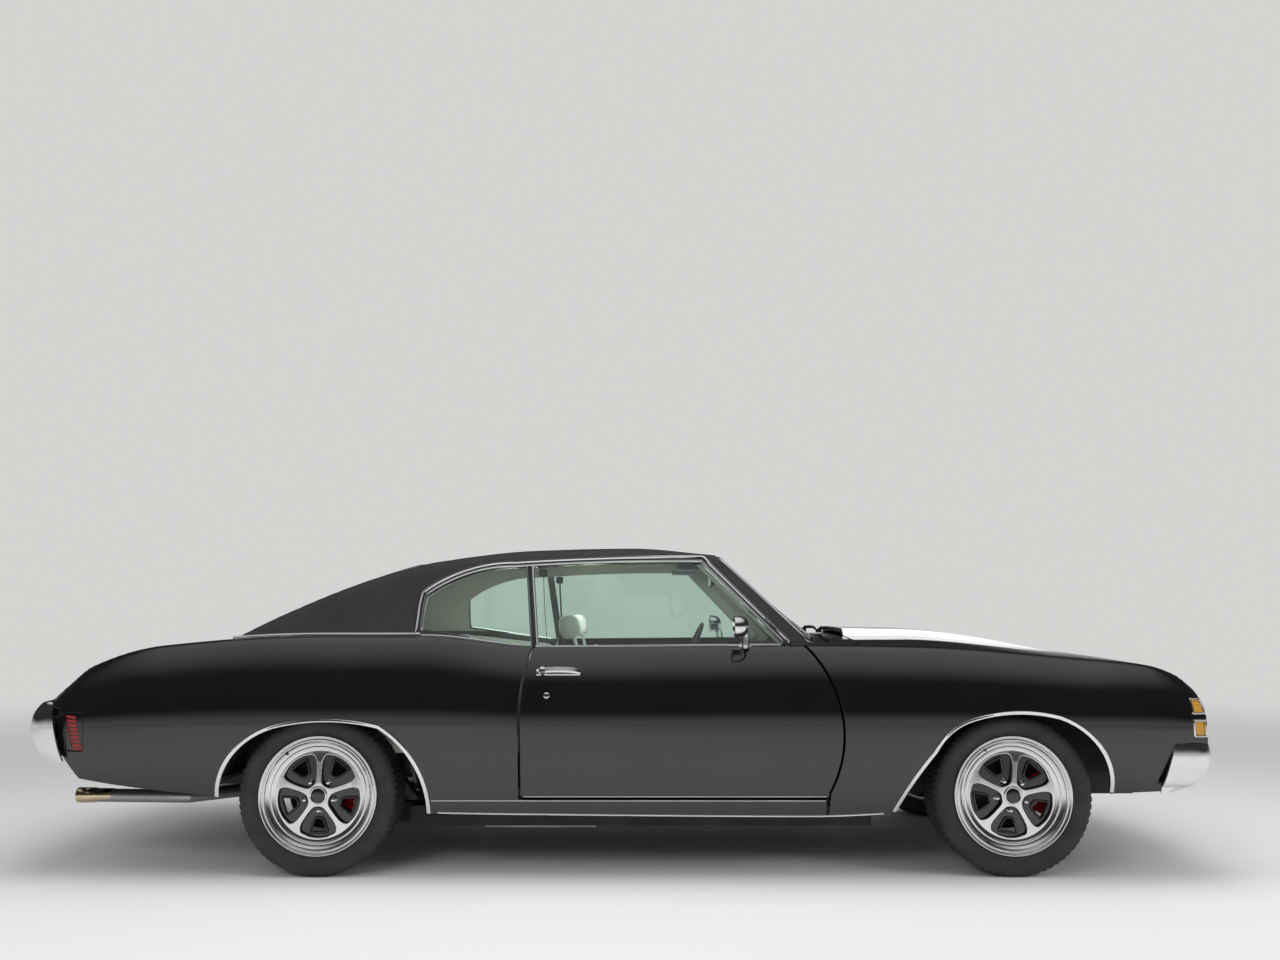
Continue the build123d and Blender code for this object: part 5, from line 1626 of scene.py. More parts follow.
    def trims(self) -> None:
        """Builds the bright wheel lips and the lines along the rockers and the doors' feet."""
        half = Mesh()
        lip = [(7, -9), (9.6, -9), (9, 4.5), (6, self.lip_height), (2, 3.5), (-3.5, 3.5),
               (-6, 2), (-6, -3)]
        for axle_x, arcs in ((LINES.rear_axle_x, LINES.rear_arch),
                             (LINES.front_axle_x, LINES.front_arch)):
            arch = grown_run(LINES.arch(axle_x, arcs), -2)
            arch = arch[arch[:, 1] > BODY.low_edge(arch[:, 0])[:, 1] + 2]
            domain = BODY.at_height(dense(arch, 14))
            path, up = BODY.points(domain), BODY.normals(domain)
            path[:, 1] = np.minimum(path[:, 1], LINES.widest - self.lip_height)
            half.merge(sweep(path, up, lip))
        foot = BODY.low_edge(np.linspace(-745, 1075, 90)) + np.array([0, 7])
        sill, door, foot = (BODY.at_height(dense(line, 14)) for line in (
            [(-770, 308), (836, 308)], [(-392, 325), (838, 325)], foot))
        half.merge(laid(BODY, sill, bead(5, 2.6)))
        half.merge(laid(BODY, foot, bead(9, 3.5)))
        half.both().build("wheel_lip_trim", self.paintbox("chrome"), "body", "chrome")
        laid(BODY, door, bead(4.5, 2.4)).build_each("door_foot_trim", self.paintbox("chrome"),
                                                    "door", "chrome")

    def build(self) -> None:
        """Builds every body panel and its trim."""
        self.doors()
        self.fenders()
        self.quarters()
        self.hood()
        self.deck()
        self.trims()


@dataclass
class Greenhouse:
    """The vinyl roof, all window glass and its mouldings."""

    paintbox: Paintbox
    roof_skin: float = 30.0
    rear_glass: tuple = ((-900, 500), (-1548, 598))
    glass_inset: float = 8.0
    glass: float = 6.0
    shield_top: float = 1300.0
    pillar: float = 34.0
    band_z: float = 1237.0

    def window_top(self) -> Array:
        """The side opening's upper edge in side view, from its front head to its rear foot."""
        return chain(arc_points((350, 1295), (-60, 1292), (-458, 1273), 30),
                     arc_points((-458, 1273), (-700, 1229), (-840, 1150), 20)[1:],
                     [(-846, 1100), (-848, 1002)])

    def front_edge(self) -> Array:
        """Where the roof ends above the windshield and down its pillar, as (x, w)."""
        y = np.linspace(0, 500, 14)
        x = np.full_like(y, 430.0)
        for _ in range(6):
            z = ROOF.points(ROOF.at_width(np.stack([x, y], axis=1)))[:, 2]
            x = SHIELD.points(np.stack([y, z], axis=1))[:, 0]
        top = ROOF.at_width(np.stack([x, y], axis=1))
        z = np.linspace(1318, 932, 26)
        x = np.full_like(z, 430.0)
        for _ in range(8):
            p = ROOF.points(ROOF.at_height(np.stack([x, z], axis=1)))
            x = SHIELD.points(np.stack([p[:, 1], z], axis=1))[:, 0]
        down = ROOF.at_height(np.stack([x, z], axis=1))
        return chain(top, down)

    def sail_line(self) -> Array:
        """The roof's lower edge along the body in side view, from front to rear."""
        x = np.linspace(-640, -1642, 40)
        z = BODY.crown(BODY.section(x), np.full_like(x, 780.0)) - 4
        return np.stack([x, z], axis=1)

    def roof(self) -> None:
        """Builds the vinyl roof with its sails and pillars, and the headliner below it."""
        sail = self.sail_line()
        (x0, y0), (x1, y1) = self.rear_glass
        glass = rounded([(x1, 0), (x1, y1), (x0, y0), (x0, 0), ((x0 + x1) / 2, 0)], 70, 30)
        glass = glass[glass[:, 1] > 0.01]
        plan = chain([(-1642, 690), (-1642, 0), (x1, 0)], glass[(glass[:, 0] < x0 + 1)],
                     [(x0, 0), (400, 0)])
        lower = chain([(689, 932), (689, 945), (350, 1295)], self.window_top(),
                      [(-640, 968)], sail)
        loop = chain(ROOF.at_height(dense(lower, 18)), ROOF.at_width(dense(plan, 20)),
                     self.front_edge())
        panel = Panel(ROOF, [loop], self.roof_skin, 24)
        half = panel.mesh(0, 1)
        half.both().build("vinyl_roof", self.paintbox("vinyl_top", "headliner"), "body",
                          "vinyl_top", ["roof"])

    def shield_outline(self, inset: float) -> Array:
        """The windshield's outline over (y, z)."""
        low_z, high_z = 940.0, self.shield_top + 8
        low_y, high_y = (WINDOWS.y(z) - self.pillar + inset for z in (low_z, high_z))
        loop = rounded([(-low_y, low_z), (low_y, low_z), (high_y, high_z), (-high_y, high_z)], 45)
        return evened(loop, 25)

    def windshield(self) -> None:
        """Builds the windshield with its shade band."""
        surface = Offset(SHIELD, self.glass_inset)
        loop = self.shield_outline(4)
        made = Mesh()
        for low, high, key in ((0, self.band_z, 0), (self.band_z, 2000, 1)):
            part = Panel(surface, [self.clipped(loop, low, high)], self.glass, 30,
                         roll=0.5).mesh(key, key)
            made.merge(part)
        made.build("windshield_glass", self.paintbox("glass", "glass_band"), "body", "glass",
                   ["windshield"])

    @staticmethod
    def clipped(loop: Array, low: float, high: float) -> Array:
        """The part of an outline between two heights.

        Args:
            loop: The outline over (y, z).
            low: Its new lowest z.
            high: Its new highest z.

        Returns:
            The clipped outline.
        """
        out = []
        for a, b in zip(loop, np.roll(loop, -1, axis=0)):
            marks = [0.0, 1.0]
            for level in (low, high):
                if (a[1] - level) * (b[1] - level) < 0:
                    marks.append((level - a[1]) / (b[1] - a[1]))
            for t in sorted(marks)[:-1]:
                p = a + (b - a) * t
                if low - 1e-6 <= p[1] <= high + 1e-6:
                    out.append(p)
        return chain(*out)

    def rear_window(self) -> None:
        """Builds the rear window."""
        (x0, y0), (x1, y1) = self.rear_glass
        loop = rounded([(x1 + 2, y1 - 3), (x1 + 2, -y1 + 3), (x0 - 2, -y0 + 3),
                        (x0 - 2, y0 - 3)], 70)
        loop = evened(loop, 25)
        crown = RoofTop()
        made = Panel(Offset(crown, self.glass_inset), [loop], self.glass, 30, roll=0.5).mesh()
        made.build("rear_window_glass", self.paintbox("glass"), "body", "glass", ["rear_window"])
        trim = laid(crown, loop, bead(24, 7), 1.0, closed=True)
        trim.build("rear_window_moulding", self.paintbox("chrome"), "body", "chrome")

    def glass_sheet(self, outline: Sequence[Sequence[float]], radius: float) -> Mesh:
        """A flat side glass from its outline in side view."""
        loop = rounded(outline, radius)
        if turning(loop) < 0:
            loop = loop[::-1]
        loop = evened(loop, 40)
        return Panel(Offset(SIDE_GLASS, self.glass_inset), [loop], self.glass, 60,
                     roll=1.0).mesh()

    def side_windows(self) -> None:
        """Builds the door glasses and quarter glasses with the bright divider between them."""
        top = self.window_top()
        ahead = top[(top[:, 0] > -395)]
        door = chain([(-347, 894)], [(-347, 925)], [(-389, 1279)], ahead[::-1] - (0, 6),
                     [(680, 945)], [(680, 894)])
        behind = top[(top[:, 0] < -400)]
        quarter = chain([(-358, 925), (-402, 1279)], behind - (0, 6) + (6, 0), [(-838, 1002)],
                        [(-408, 938)])
        divider = np.array([(-349, 915), (-391, 1280)], float)
        line = dense(divider, 30)
        bar = laid(SIDE_GLASS, line, bead(15, 6), -3)
        seal = laid(SIDE_GLASS, line - (13, 0), bead(10, 5), -4)
        rear_bar = laid(SIDE_GLASS, line - (23, 0), bead(9, 6), -4)
        sheets = {"door": self.glass_sheet(door, 20), "quarter": self.glass_sheet(quarter, 16)}
        sheets["door"].build_each("side_glass", self.paintbox("glass"), "door", "glass",
                                  "door_glass")
        bar.build_each("door_glass_frame", self.paintbox("chrome"), "door", "chrome")
        rear, trims = Mesh(), Mesh()
        for flip in (False, True):
            rear.merge(sheets["quarter"], flip)
            trims.merge(seal, flip, 1)
            trims.merge(rear_bar, flip, 0)
        rear.build("quarter_window_glass", self.paintbox("glass"), "body", "glass",
                   ["quarter_glass"])
        trims.build("quarter_glass_frame", self.paintbox("chrome", "rubber"),
                    "body", "chrome")

    def mouldings(self) -> None:
        """Builds the bright mouldings round the side openings, windshield and sails."""
        half = Mesh()
        pillar = [(684, 938), (682, 952), (349, 1297)]
        over = chain(pillar, self.window_top(), [(-842, 996)])
        domain = ROOF.at_height(dense(rounded_run(over, 40), 14))
        half.merge(laid(ROOF, domain, bead(11, 7), -2))
        drip = chain([(706, 940), (704, 954), (362, 1308)],
                     grown_run(self.window_top(), 16), [(-866, 990)])
        domain = ROOF.at_height(dense(rounded_run(drip, 40), 14))
        gutter = [(7, -4), (7, 4), (3, 8), (-4, 9), (-8, 5), (-8, -4)]
        half.merge(laid(ROOF, domain, gutter, -1))
        x = np.linspace(-846, -1632, 50)
        z = BODY.crown(BODY.section(x), np.full_like(x, 782.0))
        y = ROOF.side(x, z) + 3
        path = np.stack([x, y, z + 5], axis=1)
        half.merge(sweep(path, (0, 0.75, 0.66), bead(17, 7)))
        line = BODY.at_width(dense([(-842, 786), (-420, 797)], 20))
        half.merge(laid(BODY, line, bead(14, 6)))
        made = half.both()
        frame = [(a, b - 1) for a, b in bead(22, 8)]
        made.merge(laid(SHIELD, self.shield_outline(16), frame, closed=True))
        y = np.linspace(745, -745, 60)
        x = np.full_like(y, -1641.0)
        z = BODY.crown(BODY.section(x), y) + 3
        made.merge(sweep(np.stack([x, y, z], axis=1), (-0.3, 0, 1), bead(15, 8)))
        made.build("window_mouldings", self.paintbox("chrome"), "body", "chrome")

    def belt_seals(self) -> None:
        """Builds the black and bright seals at the foot of the door glasses."""
        half = Mesh()
        for y, wide, key in ((797.5, 6, 0), (803, 7, 1)):
            line = BODY.at_width(dense([(672, y), (-358, y)], 25))
            half.merge(laid(BODY, line, bead(wide, 5)), finish=key)
        half.build_each("belt_seal", self.paintbox("rubber", "chrome"), "door", "trim_black")

    def build(self) -> None:
        """Builds the whole greenhouse."""
        self.roof()
        self.windshield()
        self.rear_window()
        self.side_windows()
        self.mouldings()
        self.belt_seals()


# ---------------------------------------------------------------- wheels
class WheelFace(Surface):
    """A wheel's face over (x, z) from the axle, dished by radius."""

    flip = True

    def __init__(self, dish: Sequence[tuple[float, float]]) -> None:
        """Takes (radius, outboard) rows."""
        self.dish = np.array(dish, float)

    def points(self, domain: Array) -> Array:
        """Points at each (x, z)."""
        radius = np.linalg.norm(domain, axis=1)
        out = np.interp(radius, self.dish[:, 0], self.dish[:, 1])
        return np.stack([domain[:, 0], out, domain[:, 1]], axis=1)


@dataclass(frozen=True)
class Corner:
    """One wheel's place: its name, axle and side, and the turn of its spokes."""

    name: str
    axle_x: float
    side: Side
    turn: float


CORNERS = (
    Corner("front_left", LINES.front_axle_x, Side.LEFT, 7.0),
    Corner("front_right", LINES.front_axle_x, Side.RIGHT, -7.0),
    Corner("rear_left", LINES.rear_axle_x, Side.LEFT, 0.0),
    Corner("rear_right", LINES.rear_axle_x, Side.RIGHT, 0.0),
)


@dataclass
class Wheels:
    """Five-spoke wheels with polished faces, their tyres, brake discs and calipers.

    Sizes are from the wheel's middle: outboard, or from the axle: radius.
    """

    paintbox: Paintbox
    centre_y: float = 762.5
    axle_z: float = 325.0
    spokes: int = 5
    pocket_floor: float = 74.0
    blocks: int = 66
    lip: tuple = ((-113, 241), (-108, 243), (-104, 241), (-103, 226), (-52, 224), (-40, 214),
                  (40, 214), (52, 224), (103, 226), (104.5, 241), (107, 243), (110.5, 242.8),
                  (112.8, 240.5), (113, 237.5), (111.6, 234.5), (107.5, 232.8), (105.2, 230.5),
                  (105.6, 228), (107.8, 226.4), (108.6, 223.5), (107.4, 220.4), (103, 218.4),
                  (97, 213), (91.5, 205), (89, 200), (89.6, 197.6), (92, 196.2), (91.6, 193.4),
                  (88.4, 190.5), (85.6, 185), (84.8, 180), (83, 178), (60, 178), (56, 203),
                  (-98, 205), (-106, 224))
    tyre: tuple = ((-102, 228), (-103, 238), (-106, 246), (-110.5, 256), (-111.6, 257),
                   (-112.6, 258), (-117.5, 270), (-121.6, 284), (-121.9, 291), (-121, 292.4),
                   (-121.2, 298), (-118.5, 306), (-113.5, 313), (-106, 319.5), (-99, 323.4),
                   (-90, 324.2), (-62, 324.7), (-61, 317.5), (-54, 317.5), (-53, 324.8),
                   (-24, 324.95), (-23, 317.5), (-16, 317.5), (-15, 325))

    cap_ring: tuple = ((96, 38), (102, 37), (105, 35), (105.6, 32), (103.5, 29), (101, 28))
    cap: tuple = ((101, 28.5), (103, 27.5), (104.6, 22), (105.5, 12), (105.8, 0.01))
    nut: tuple = ((72, 12.5), (77, 12.5), (77, 11), (91, 10.2), (94.5, 7), (95.5, 0.01))
    washer: tuple = ((72, 14.5), (75.5, 14.5), (76.5, 13))
    nut_circle: float = 62.0
    valve: tuple = ((88, 4.2), (112, 3.6), (112.5, 2.6), (112.6, 0.01))
    disc: tuple = ((-41, 62), (-41, 148), (-39.5, 150), (-33, 150), (-33, 140), (-23, 140),
                   (-23, 150), (-16.5, 150), (-15, 148), (-15, 68), (20, 64), (51, 62),
                   (51.5, 38), (-28, 38))
    lug_depth: float = 2.4
    block_depth: float = 6.5
    rib_depth: float = 3.5
    lug_squeeze: float = 0.988

    def pocket(self, angle: float) -> Array:
        """Outline of the gap between two spokes."""
        side = [(49, 17), (60, 25), (80, 28.6), (104, 30.3), (130, 30.8), (150, 29.8), (166, 26)]
        outline = [(r, a) for r, a in side] + [(171, 12), (172, 0), (171, -12)]
        outline += [(r, -a) for r, a in reversed(side)] + [(45, 0)]
        radii, angles = np.array(outline, float).T
        turned = np.radians(angles + angle)
        flat = np.stack([radii * np.cos(turned), radii * np.sin(turned)], axis=1)
        loop = rounded(flat, 11, 12)
        return evened(loop, 6)

    def window(self, angle: float) -> Array:
        """Outline of the opening in a pocket's floor."""
        corners = np.array([(92, 16), (152, 40), (152, -40), (92, -16)], float)
        along = np.array(self.around(1, angle))[[0, 2]]
        across = np.array([-along[1], along[0]])
        flat = corners[:, :1] * along + corners[:, 1:] * across
        loop = rounded(flat, 13)
        return evened(loop, 8)

    def face(self, angles: Sequence[float]) -> Mesh:
        """The spoked face, with the dark floors of its pockets and the openings in them.

        Args:
            angles: Where the pockets' middles lie, in degrees.

        Returns:
            The mesh.
        """
        circle, hole = np.array(ring(181.0, 120)), np.array(ring(30.0, 48))
        star = WheelFace([(0, 98.5), (50, 98), (75, 96), (140, 90), (165, 86), (181, 84)])
        made = Panel(star, [circle, hole] + [self.pocket(a) for a in angles], 26, 11,
                     back=False, roll=3.5).mesh(0, 0, 1)
        floor = WheelFace([(0, self.pocket_floor), (90, self.pocket_floor - 3),
                           (180, self.pocket_floor - 6)])
        windows = [self.window(a) for a in angles]
        made.merge(Panel(floor, [np.array(ring(180.0, 90)), *windows], 12, 14,
                         roll=2).mesh(1, 1))
        for window in windows:
            made.merge(sweep(floor.points(window), OUTBOARD, bead(11, 9), closed=True),
                       finish=1)
        return made

    def hub(self, angles: Sequence[float]) -> Mesh:
        """The ringed cap and the wheel nuts, one at each angle."""
        made = Mesh()
        made.merge(spun(self.cap_ring, ORIGIN, OUTBOARD, 48), finish=2)
        made.merge(spun(self.cap, ORIGIN, OUTBOARD, 48), finish=1)
        for angle in angles:
            at = self.around(self.nut_circle, angle)
            made.merge(spun(self.nut, at, OUTBOARD, 6), finish=2)
            made.merge(spun(self.washer, at, OUTBOARD, 24), finish=2)
        return made

    @staticmethod
    def around(radius: float, angle: float) -> tuple[float, float, float]:
        """The place at a radius and an angle in degrees round the axle."""
        turned = math.radians(angle)
        return radius * math.cos(turned), 0, radius * math.sin(turned)

    def rim(self) -> Mesh:
        """A wheel about its own middle, outboard to +Y."""
        angles = [54 + 360 / self.spokes * k for k in range(self.spokes)]
        made = self.face(angles)
        made.merge(spun(self.lip, ORIGIN, OUTBOARD, 120, True))
        made.merge(self.hub(angles))
        made.merge(spun(self.valve, self.around(210, 128), OUTBOARD, 14), finish=1)
        made.merge(spun(self.disc, ORIGIN, OUTBOARD, 72, True), finish=3)
        return made

    def tread(self) -> Mesh:
        """A tyre about its own middle."""
        half = list(self.tyre)
        profile = np.array(half + [(-o, r) for o, r in reversed(half)])
        segments = self.blocks * 4
        made = spun(profile, ORIGIN, OUTBOARD, segments)
        points = made.points[0].reshape(segments, len(profile), 3)
        out = np.abs(profile[:, 0])
        shoulder = (out > 62) & (out < 120) & (profile[:, 1] > 300)
        lug = out > 100
        rib = (out < 56) & (profile[:, 1] > 322)
        stagger = np.where(profile[:, 0] < 0, 2, 0)
        for k in range(segments):
            cut = shoulder & ((k + stagger) % 4 == 0)
            depth = np.select([cut & lug, cut, rib & (k % 3 == 0)],
                              [self.lug_depth, self.block_depth, self.rib_depth])
            radius = np.hypot(points[k, :, 0], points[k, :, 2])
            points[k, :, ::2] *= ((radius - depth) / radius)[:, None]
            points[k, :, 1] *= np.where(cut & lug, self.lug_squeeze, 1.0)
        made.points[0] = points.reshape(-1, 3)
        inside_line = [(102, 228), (70, 227), (-70, 227), (-102, 228)]
        made.merge(spun(inside_line, ORIGIN, OUTBOARD, 96))
        return made

    def caliper(self) -> Mesh:
        """A brake caliper about the wheel's middle, on the axle's front side."""
        made = Mesh()
        steps = np.linspace(-32, 32, 22)
        for out, low, high in (((-9, 4), 96, 176), ((-60, -47), 96, 176), ((-47, -9), 157, 176)):
            mid, half = sum(out) / 2, (out[1] - out[0]) / 2
            outline = rounded([(low, mid - half), (high, mid - half), (high, mid + half),
                               (low, mid + half)], 5)
            rows = []
            for step in steps:
                angle = math.radians(step)
                shrink = 1 - 0.05 * (abs(step) / 32) ** 6
                rows.append([(r * shrink * math.cos(angle), o, r * shrink * math.sin(angle))
                             for r, o in outline])
            made.add(np.array(rows).reshape(-1, 3), tube_faces(len(steps), len(outline)))
        for angle in (-17, 17):
            made.merge(spun([(3, 21), (6.5, 21), (8, 18), (8.2, 0.01)], self.around(135, angle),
                            OUTBOARD, 30))
        return made

    def build(self) -> None:
        """Builds the four wheels with their tyres, and the calipers."""
        rim, tread, caliper = self.rim(), self.tread(), self.caliper()
        finishes = self.paintbox("polished", "wheel_black", "chrome", "disc_steel")
        for corner in CORNERS:
            flip = corner.side is Side.RIGHT
            at = (corner.axle_x, corner.side.value * self.centre_y, self.axle_z)
            made = Mesh()
            made.merge(rim, flip, turn=corner.turn, shift=at)
            made.build(f"rim_{corner.name}", finishes, f"wheel_{corner.name}", "alloy",
                       [f"wheel_{corner.name}"])
            tyre = Mesh()
            tyre.merge(tread, flip, shift=at)
            tyre.build(f"tyre_tread_{corner.name}", self.paintbox("tyre"),
                       f"wheel_{corner.name}", "tyre_rubber", [f"tyre_{corner.name}"], 28)
            front = corner.name.startswith("front")
            body = f"knuckle_{corner.side.label}" if front else "body"
            brake = Mesh()
            brake.merge(caliper, flip, shift=at)
            brake.build(f"caliper_{corner.name}", self.paintbox("caliper_red"), body,
                        "axle_iron")


# ---------------------------------------------------------------- bumpers, lamps and grille
FRONT_BUMPER = (  # height, setback from the tip, reach of the ends
    (336, 186, 304), (360, 74, 299), (415, 28, 284), (492, 0, 264), (538, 12, 250),
)
REAR_BUMPER = (
    (462, 84, 229), (505, 35, 220), (559, 9, 210), (603, 0, 202), (639, 4, 196), (683, 26, 188),
    (705, 50, 184),
)


@dataclass
class Bumper:
    """A bright bumper, from how far its face stands back at each height.

    Attributes:
        name: The bumper's node name.
        facing: 1 at the front, -1 at the rear.
        rows: Height, setback from the tip, and how far the ends reach back from the tip.
        tip_x: The tip's place, as if facing forward.
        bow: How far the face stands back at its corners.
        corner_y: Where the corners start.
        corner: How far out and back they turn.
        tuck: How much the corners pull in where the face stands back.
        wall: Its thickness.
        corner_from: Station at which the corners start, from 0 in the middle to 1 at the ends.
        end_from: Station at which the straight ends start.
    """

    paintbox: Paintbox
    name: str
    facing: int
    rows: tuple
    tip_x: float = 2508.0
    bow: float = 80.0
    corner_y: float = 850.0
    corner: float = 77.0
    tuck: float = 0.45
    wall: float = 7.0
    corner_from: float = 0.72
    end_from: float = 0.9

    def section(self) -> Array:
        """The closed section as (setback, z, reach of its ends)."""
        table = Columns(self.rows)
        low, high = self.rows[0][0], self.rows[-1][0]
        z = np.linspace(low, high, 34)
        reach = table.at(z)[:, 1]
        face = np.stack([table.at(z)[:, 0], z], axis=1)
        weights = np.array([1, 2, 3, 2, 1]) / 9
        for _ in range(3):
            padded = np.pad(face, ((2, 2), (0, 0)), "edge")
            soft = sum(w * padded[k:k + len(face)] for k, w in enumerate(weights))
            face[1:-1] = soft[1:-1]
        inner = grown_run(face, self.wall)
        face[-1] += (3.0, -0.5)
        inner[-1] += (3.0, 0)
        face, inner = (np.column_stack([side, reach]) for side in (face, inner))
        return np.concatenate([face, [(face[-1][0] + 5, high, reach[-1])], inner[::-1]])

    def plan(self, section: Array, station: float) -> tuple[Array, Array]:
        """Place in plan of a section's points at one station.

        Args:
            section: The section's points.
            station: From -1 at the right end to 1 at the left.

        Returns:
            Their x, as if facing forward, and y.
        """
        t, sign = abs(station), math.copysign(1, station)
        nose = self.tip_x - section[:, 0]
        back = self.tip_x - section[:, 2]
        corner_x = nose - self.bow
        inset = self.tuck * np.minimum(section[:, 0], 90)
        if t < self.corner_from:
            y = t / self.corner_from * self.corner_y
            x = nose - self.bow * (y / self.corner_y) ** 2
            return x, np.full_like(x, sign * y)
        side_x = np.maximum(corner_x - self.corner, back + 12)
        if t < self.end_from:
            a = (t - self.corner_from) / (self.end_from - self.corner_from) * math.pi / 2
            x = corner_x - (corner_x - side_x) * (1 - math.cos(a))
            return x, sign * (self.corner_y + (self.corner - inset) * math.sin(a))
        share = (t - self.end_from) / (1 - self.end_from)
        x = side_x + (np.minimum(back, side_x) - side_x) * share
        return x, sign * (self.corner_y + self.corner - inset)

    def stations(self) -> Array:
        """Where the section is set, from the right end to the left, closer round the corners."""
        left = np.concatenate([np.linspace(0, self.corner_from, 31),
                               np.linspace(self.corner_from, self.end_from, 13)[1:],
                               np.linspace(self.end_from, 1, 5)[1:]])
        return np.concatenate([-left[:0:-1], left])

    def build(self) -> None:
        """Builds the bumper."""
        section = self.section()
        count = len(section)
        stations = self.stations()
        rows = []
        half = count // 2
        for station in stations:
            x, y = self.plan(section, station)
            inward = np.zeros(count)
            inward[half + 1:] = self.wall * min(1.0, max(0.0, (abs(station) - 0.6) / 0.3))
            y = y - np.sign(station) * inward
            rows.append(np.stack([self.facing * x, y, section[:, 1]], axis=1))
        faces = tube_faces(len(stations), count)
        if self.facing < 0:
            faces = [f[::-1] for f in faces]
        made = Mesh()
        made.add(np.concatenate(rows), faces)
        made.build(f"{self.name}_bar", self.paintbox("chrome"), "body", "chrome", [self.name], 50)


@dataclass
class Lamps:
    """Corner lamps, side markers, tail lamps, headlamps, grille and plain plates."""

    paintbox: Paintbox
    headlamp: tuple[float, float] = (655.0, 640.0)
    tail_lamps: tuple[float, float] = (560.0, 715.0)
    tail_z: float = 600.0
    tail_proud: float = 5.0
    ribs: int = 9

    @staticmethod
    def side_patch(corners: Sequence[Sequence[float]], radius: float, inset: float,
                   thickness: float, finish: int) -> Mesh:
        """A lens set in the body's side.

        Args:
            corners: Its outline in side view, anticlockwise.
            radius: Corner radius.
            inset: How far it lies below the body's surface.
            thickness: Its depth.
            finish: Material index.

        Returns:
            The mesh.
        """
        loop = rounded(corners, radius)
        loop = evened(loop, 8)
        return Panel(Offset(BODY, inset), [BODY.at_height(loop)], thickness, 9,
                     roll=1.5).mesh(finish, finish)

    @staticmethod
    def side_frame(corners: Sequence[Sequence[float]], radius: float, width: float,
                   height: float) -> Mesh:
        """A bright frame round a lens in the body's side."""
        domain = BODY.at_height(evened(rounded(corners, radius), 8))
        return laid(BODY, domain, bead(width, height), -1.0, closed=True)

    def corner_lamps(self) -> None:
        """Builds the amber lamps at the nose's corners."""
        half = Mesh()
        for z0, z1 in LINES.lamps_z:
            x0, x1 = LINES.lamp_x + 1, 2397
            box = [(x0, z0 + 1), (x1, z0 + 1), (x1, z1 - 1), (x0, z1 - 1)]
            half.merge(self.side_patch(box, 5, 3.5, 14, 0))
            inner = [(x0 + 4, z0 + 5), (x1 - 4, z0 + 5), (x1 - 4, z1 - 5), (x0 + 4, z1 - 5)]
            half.merge(self.side_frame(inner, 6, 9, 5.5), finish=1)
        half.both().build("corner_lamp_lenses", self.paintbox("amber", "chrome"), "body",
                          "amber_lens", ["corner_lamps"])

    def markers(self) -> None:
        """Builds the red ribbed side markers."""
        left, right, base, top = LINES.marker
        box = [(left + 2, base + 2), (right - 2, base + 2), (right - 2, top - 2),
               (left + 2, top - 2)]
        half = Mesh()
        half.merge(self.side_patch(box, 12, 3, 12, 0), finish=1)
        pitch = (top - base - 10) / self.ribs
        for k in range(self.ribs):
            z = base + 10 + k * pitch
            lean = (right - left - 50) * (1 - k / (self.ribs - 1))
            start = left + 3 + lean
            path = BODY.at_height(dense([(start, z + 3), (start + 42, z - 3)], 10))
            half.merge(laid(BODY, path, bead(11, 3.2), -3))
        half.both().build("rear_marker_lenses", self.paintbox("red_lens", "paint"), "body",
                          "red_lens", ["rear_markers"])

    def tail(self) -> None:
        """Builds the round tail lamps."""
        made = Mesh()
        for side in Side:
            for y in self.tail_lamps:
                slope = 2 * Bumper.bow * y / Bumper.corner_y**2
                outward = unit(np.array([-1.0, side.value * slope, 0.0]))
                at = np.array([Bumper.bow * (y / Bumper.corner_y) ** 2 - Bumper.tip_x,
                               side.value * y, self.tail_z]) + self.tail_proud * outward
                lens = [(-3, 42), (0.5, 40), (2.2, 30), (3, 16), (3.2, 0.01)]
                made.merge(spun(lens, at, outward, 40), finish=0)
                for radius in (34, 25, 16, 8):
                    rings = [(1, radius + 2), (4.4, radius), (1, radius - 2)]
                    made.merge(spun(rings, at, outward, 40), finish=0)
                bezel = [(-24, 48), (-1, 48), (2.6, 46), (2.6, 43), (-3, 41.5)]
                made.merge(spun(bezel, at, outward, 40), finish=1)
        made.build("tail_lamp_lenses", self.paintbox("red_lens", "chrome"), "body", "red_lens",
                   ["tail_lamps"])

    def headlamps(self) -> None:
        """Builds the headlamps' glasses and bezels."""
        half = Mesh()
        at = (2376, *self.headlamp)
        half.merge(spun([(-16, 78), (-10, 82), (0, 84), (5, 80), (10, 60), (13, 30), (14, 0.01)],
                        at, AHEAD, 56), finish=0)
        half.merge(spun([(0, 92), (10, 92), (14, 89), (13, 85), (4, 83)], at, AHEAD, 56),
                   finish=1)
        half.both().build("headlamp_glass", self.paintbox("clear_lens", "chrome"), "body",
                          "clear_lens")

    def grille(self) -> None:
        """Builds the grille's upright fins and bars, with the bright frame round the nose."""
        fins = Mesh()
        for y in np.arange(-533, 534, 41):
            fins.merge(rounded_box((2362, y - 1.5, 573), (2381, y + 1.5, 715), 1.2, 2))
        for bar_z in (721, 567):
            fins.merge(rounded_box((2384, -545, bar_z - 3), (2391, 545, bar_z + 3), 2.5))
        frame = rounded([(-762, 553), (762, 553), (762, 731), (-762, 731)], 12)
        frame = np.column_stack([np.full(len(frame), 2391.0), frame])
        fins.merge(sweep(frame, AHEAD, bead(9, 5), closed=True), finish=1)
        fins.build("grille_fins", self.paintbox("trim", "chrome"), "body", "trim_black")

